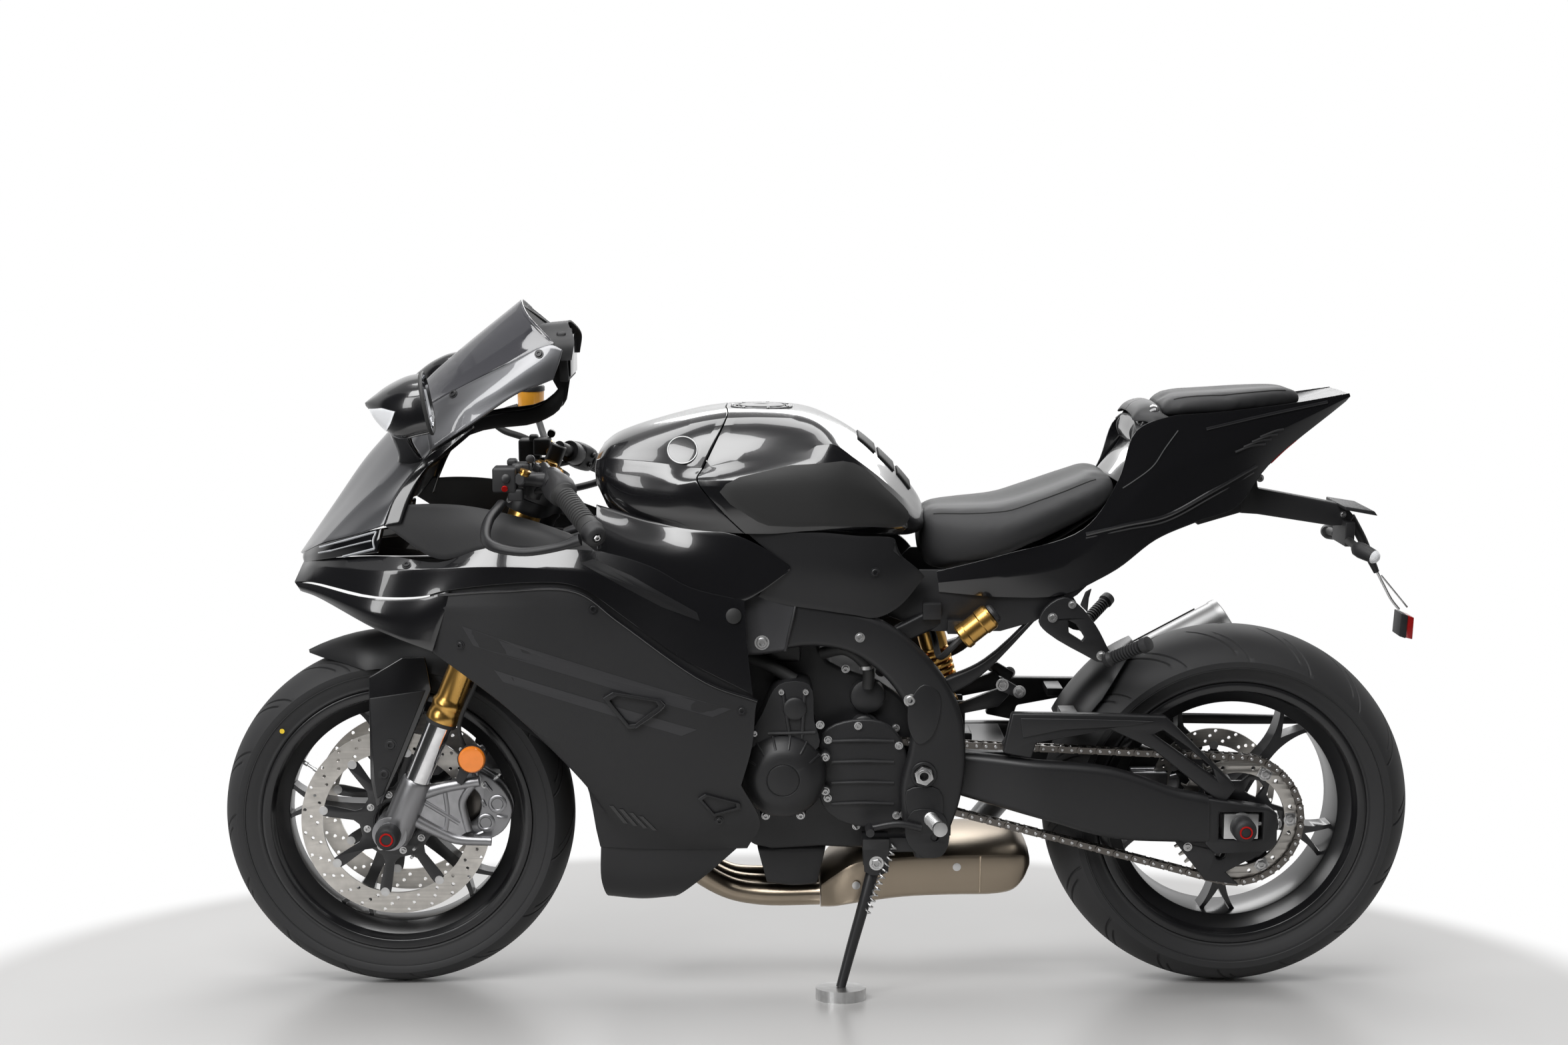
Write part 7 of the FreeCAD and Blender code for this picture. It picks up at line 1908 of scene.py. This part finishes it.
def floor_finish():
    """Pale polished concrete that fades to white away from the machine and up the wall."""
    material, tree, shader = new_material("studio floor")
    place = node(tree, "TexCoord")
    cloud = node(tree, "TexNoise")
    put(cloud, Scale=1.6, Detail=5)
    wire(place, "Object", cloud, "Vector")
    tint = node(tree, "Mix", data_type="RGBA")
    put(tint, A=(0.44, 0.435, 0.43, 1), B=(0.50, 0.495, 0.49, 1))
    wire(cloud, "Fac", tint, "Factor")
    wire(tint, "Result", shader, "Base Color")
    put(shader, Roughness=0.28)
    white = node(tree, "Emission")
    rays = node(tree, "LightPath")
    seen = node(tree, "Math", operation="MAXIMUM")
    wire(rays, "Is Camera Ray", seen, 0)
    wire(rays, "Is Transmission Ray", seen, 1)
    split = node(tree, "SeparateXYZ")
    wire(place, "Object", split, 0)
    side = node(tree, "MapRange")
    side.interpolation_type = "SMOOTHSTEP"
    put(side, From_Min=-1.5, From_Max=1.8, To_Min=0.75, To_Max=0.03)
    wire(split, "Y", side, "Value")
    strength = node(tree, "Math", operation="MAXIMUM")
    wire(seen, 0, strength, 0)
    wire(side, 0, strength, 1)
    wire(strength, 0, white, "Strength")
    away = node(tree, "VectorMath", operation="DISTANCE")
    wire(place, "Object", away, 0)
    away.inputs[1].default_value = ROOM_MIDDLE
    wall = node(tree, "MapRange")
    wall.interpolation_type = "SMOOTHSTEP"
    put(wall, From_Min=FLOOR_FADE, From_Max=ROOM)
    wire(away, "Value", wall, "Value")
    mix = node(tree, "MixShader")
    wire(wall, 0, mix, "Fac")
    wire(shader, 0, mix, 1)
    wire(white, 0, mix, 2)
    wire(mix, 0, tree.nodes["Material Output"], "Surface")
    return material


studio().data.materials.append(floor_finish())

# %% Lamps and world


def softbox(name, place, aim, width, height, power):
    lamp = bpy.data.objects.new(name, bpy.data.lights.new(name, "AREA"))
    lamp.data.shape = "RECTANGLE"
    lamp.data.size = width
    lamp.data.size_y = height
    lamp.data.energy = power
    lamp.location = place
    lamp.rotation_mode = "QUATERNION"
    lamp.rotation_quaternion = (Vector(aim) - Vector(place)).to_track_quat("-Z", "Y")
    bpy.context.scene.collection.objects.link(lamp)
    return lamp


softbox("key over the camera", (1.2, 2.9, 3.3), (0, 0, 0.5), 3.2, 1.7, 150)
softbox("low front", (2.4, 2.6, 1.3), (0.3, 0, 0.4), 0.9, 1.6, 28)
softbox("top", (0, 0, 3.6), (0, 0, 0.4), 3.6, 1.4, 80)
softbox("rear fill", (-0.6, -3, 2.8), (0, 0, 0.5), 3, 1.2, 60)
world = bpy.data.worlds.new("studio world")
bpy.context.scene.world = world
world.use_nodes = True
put(world.node_tree.nodes["Background"], Color=(1, 1, 1, 1), Strength=0.4)
print("lamps", len(bpy.data.lights))
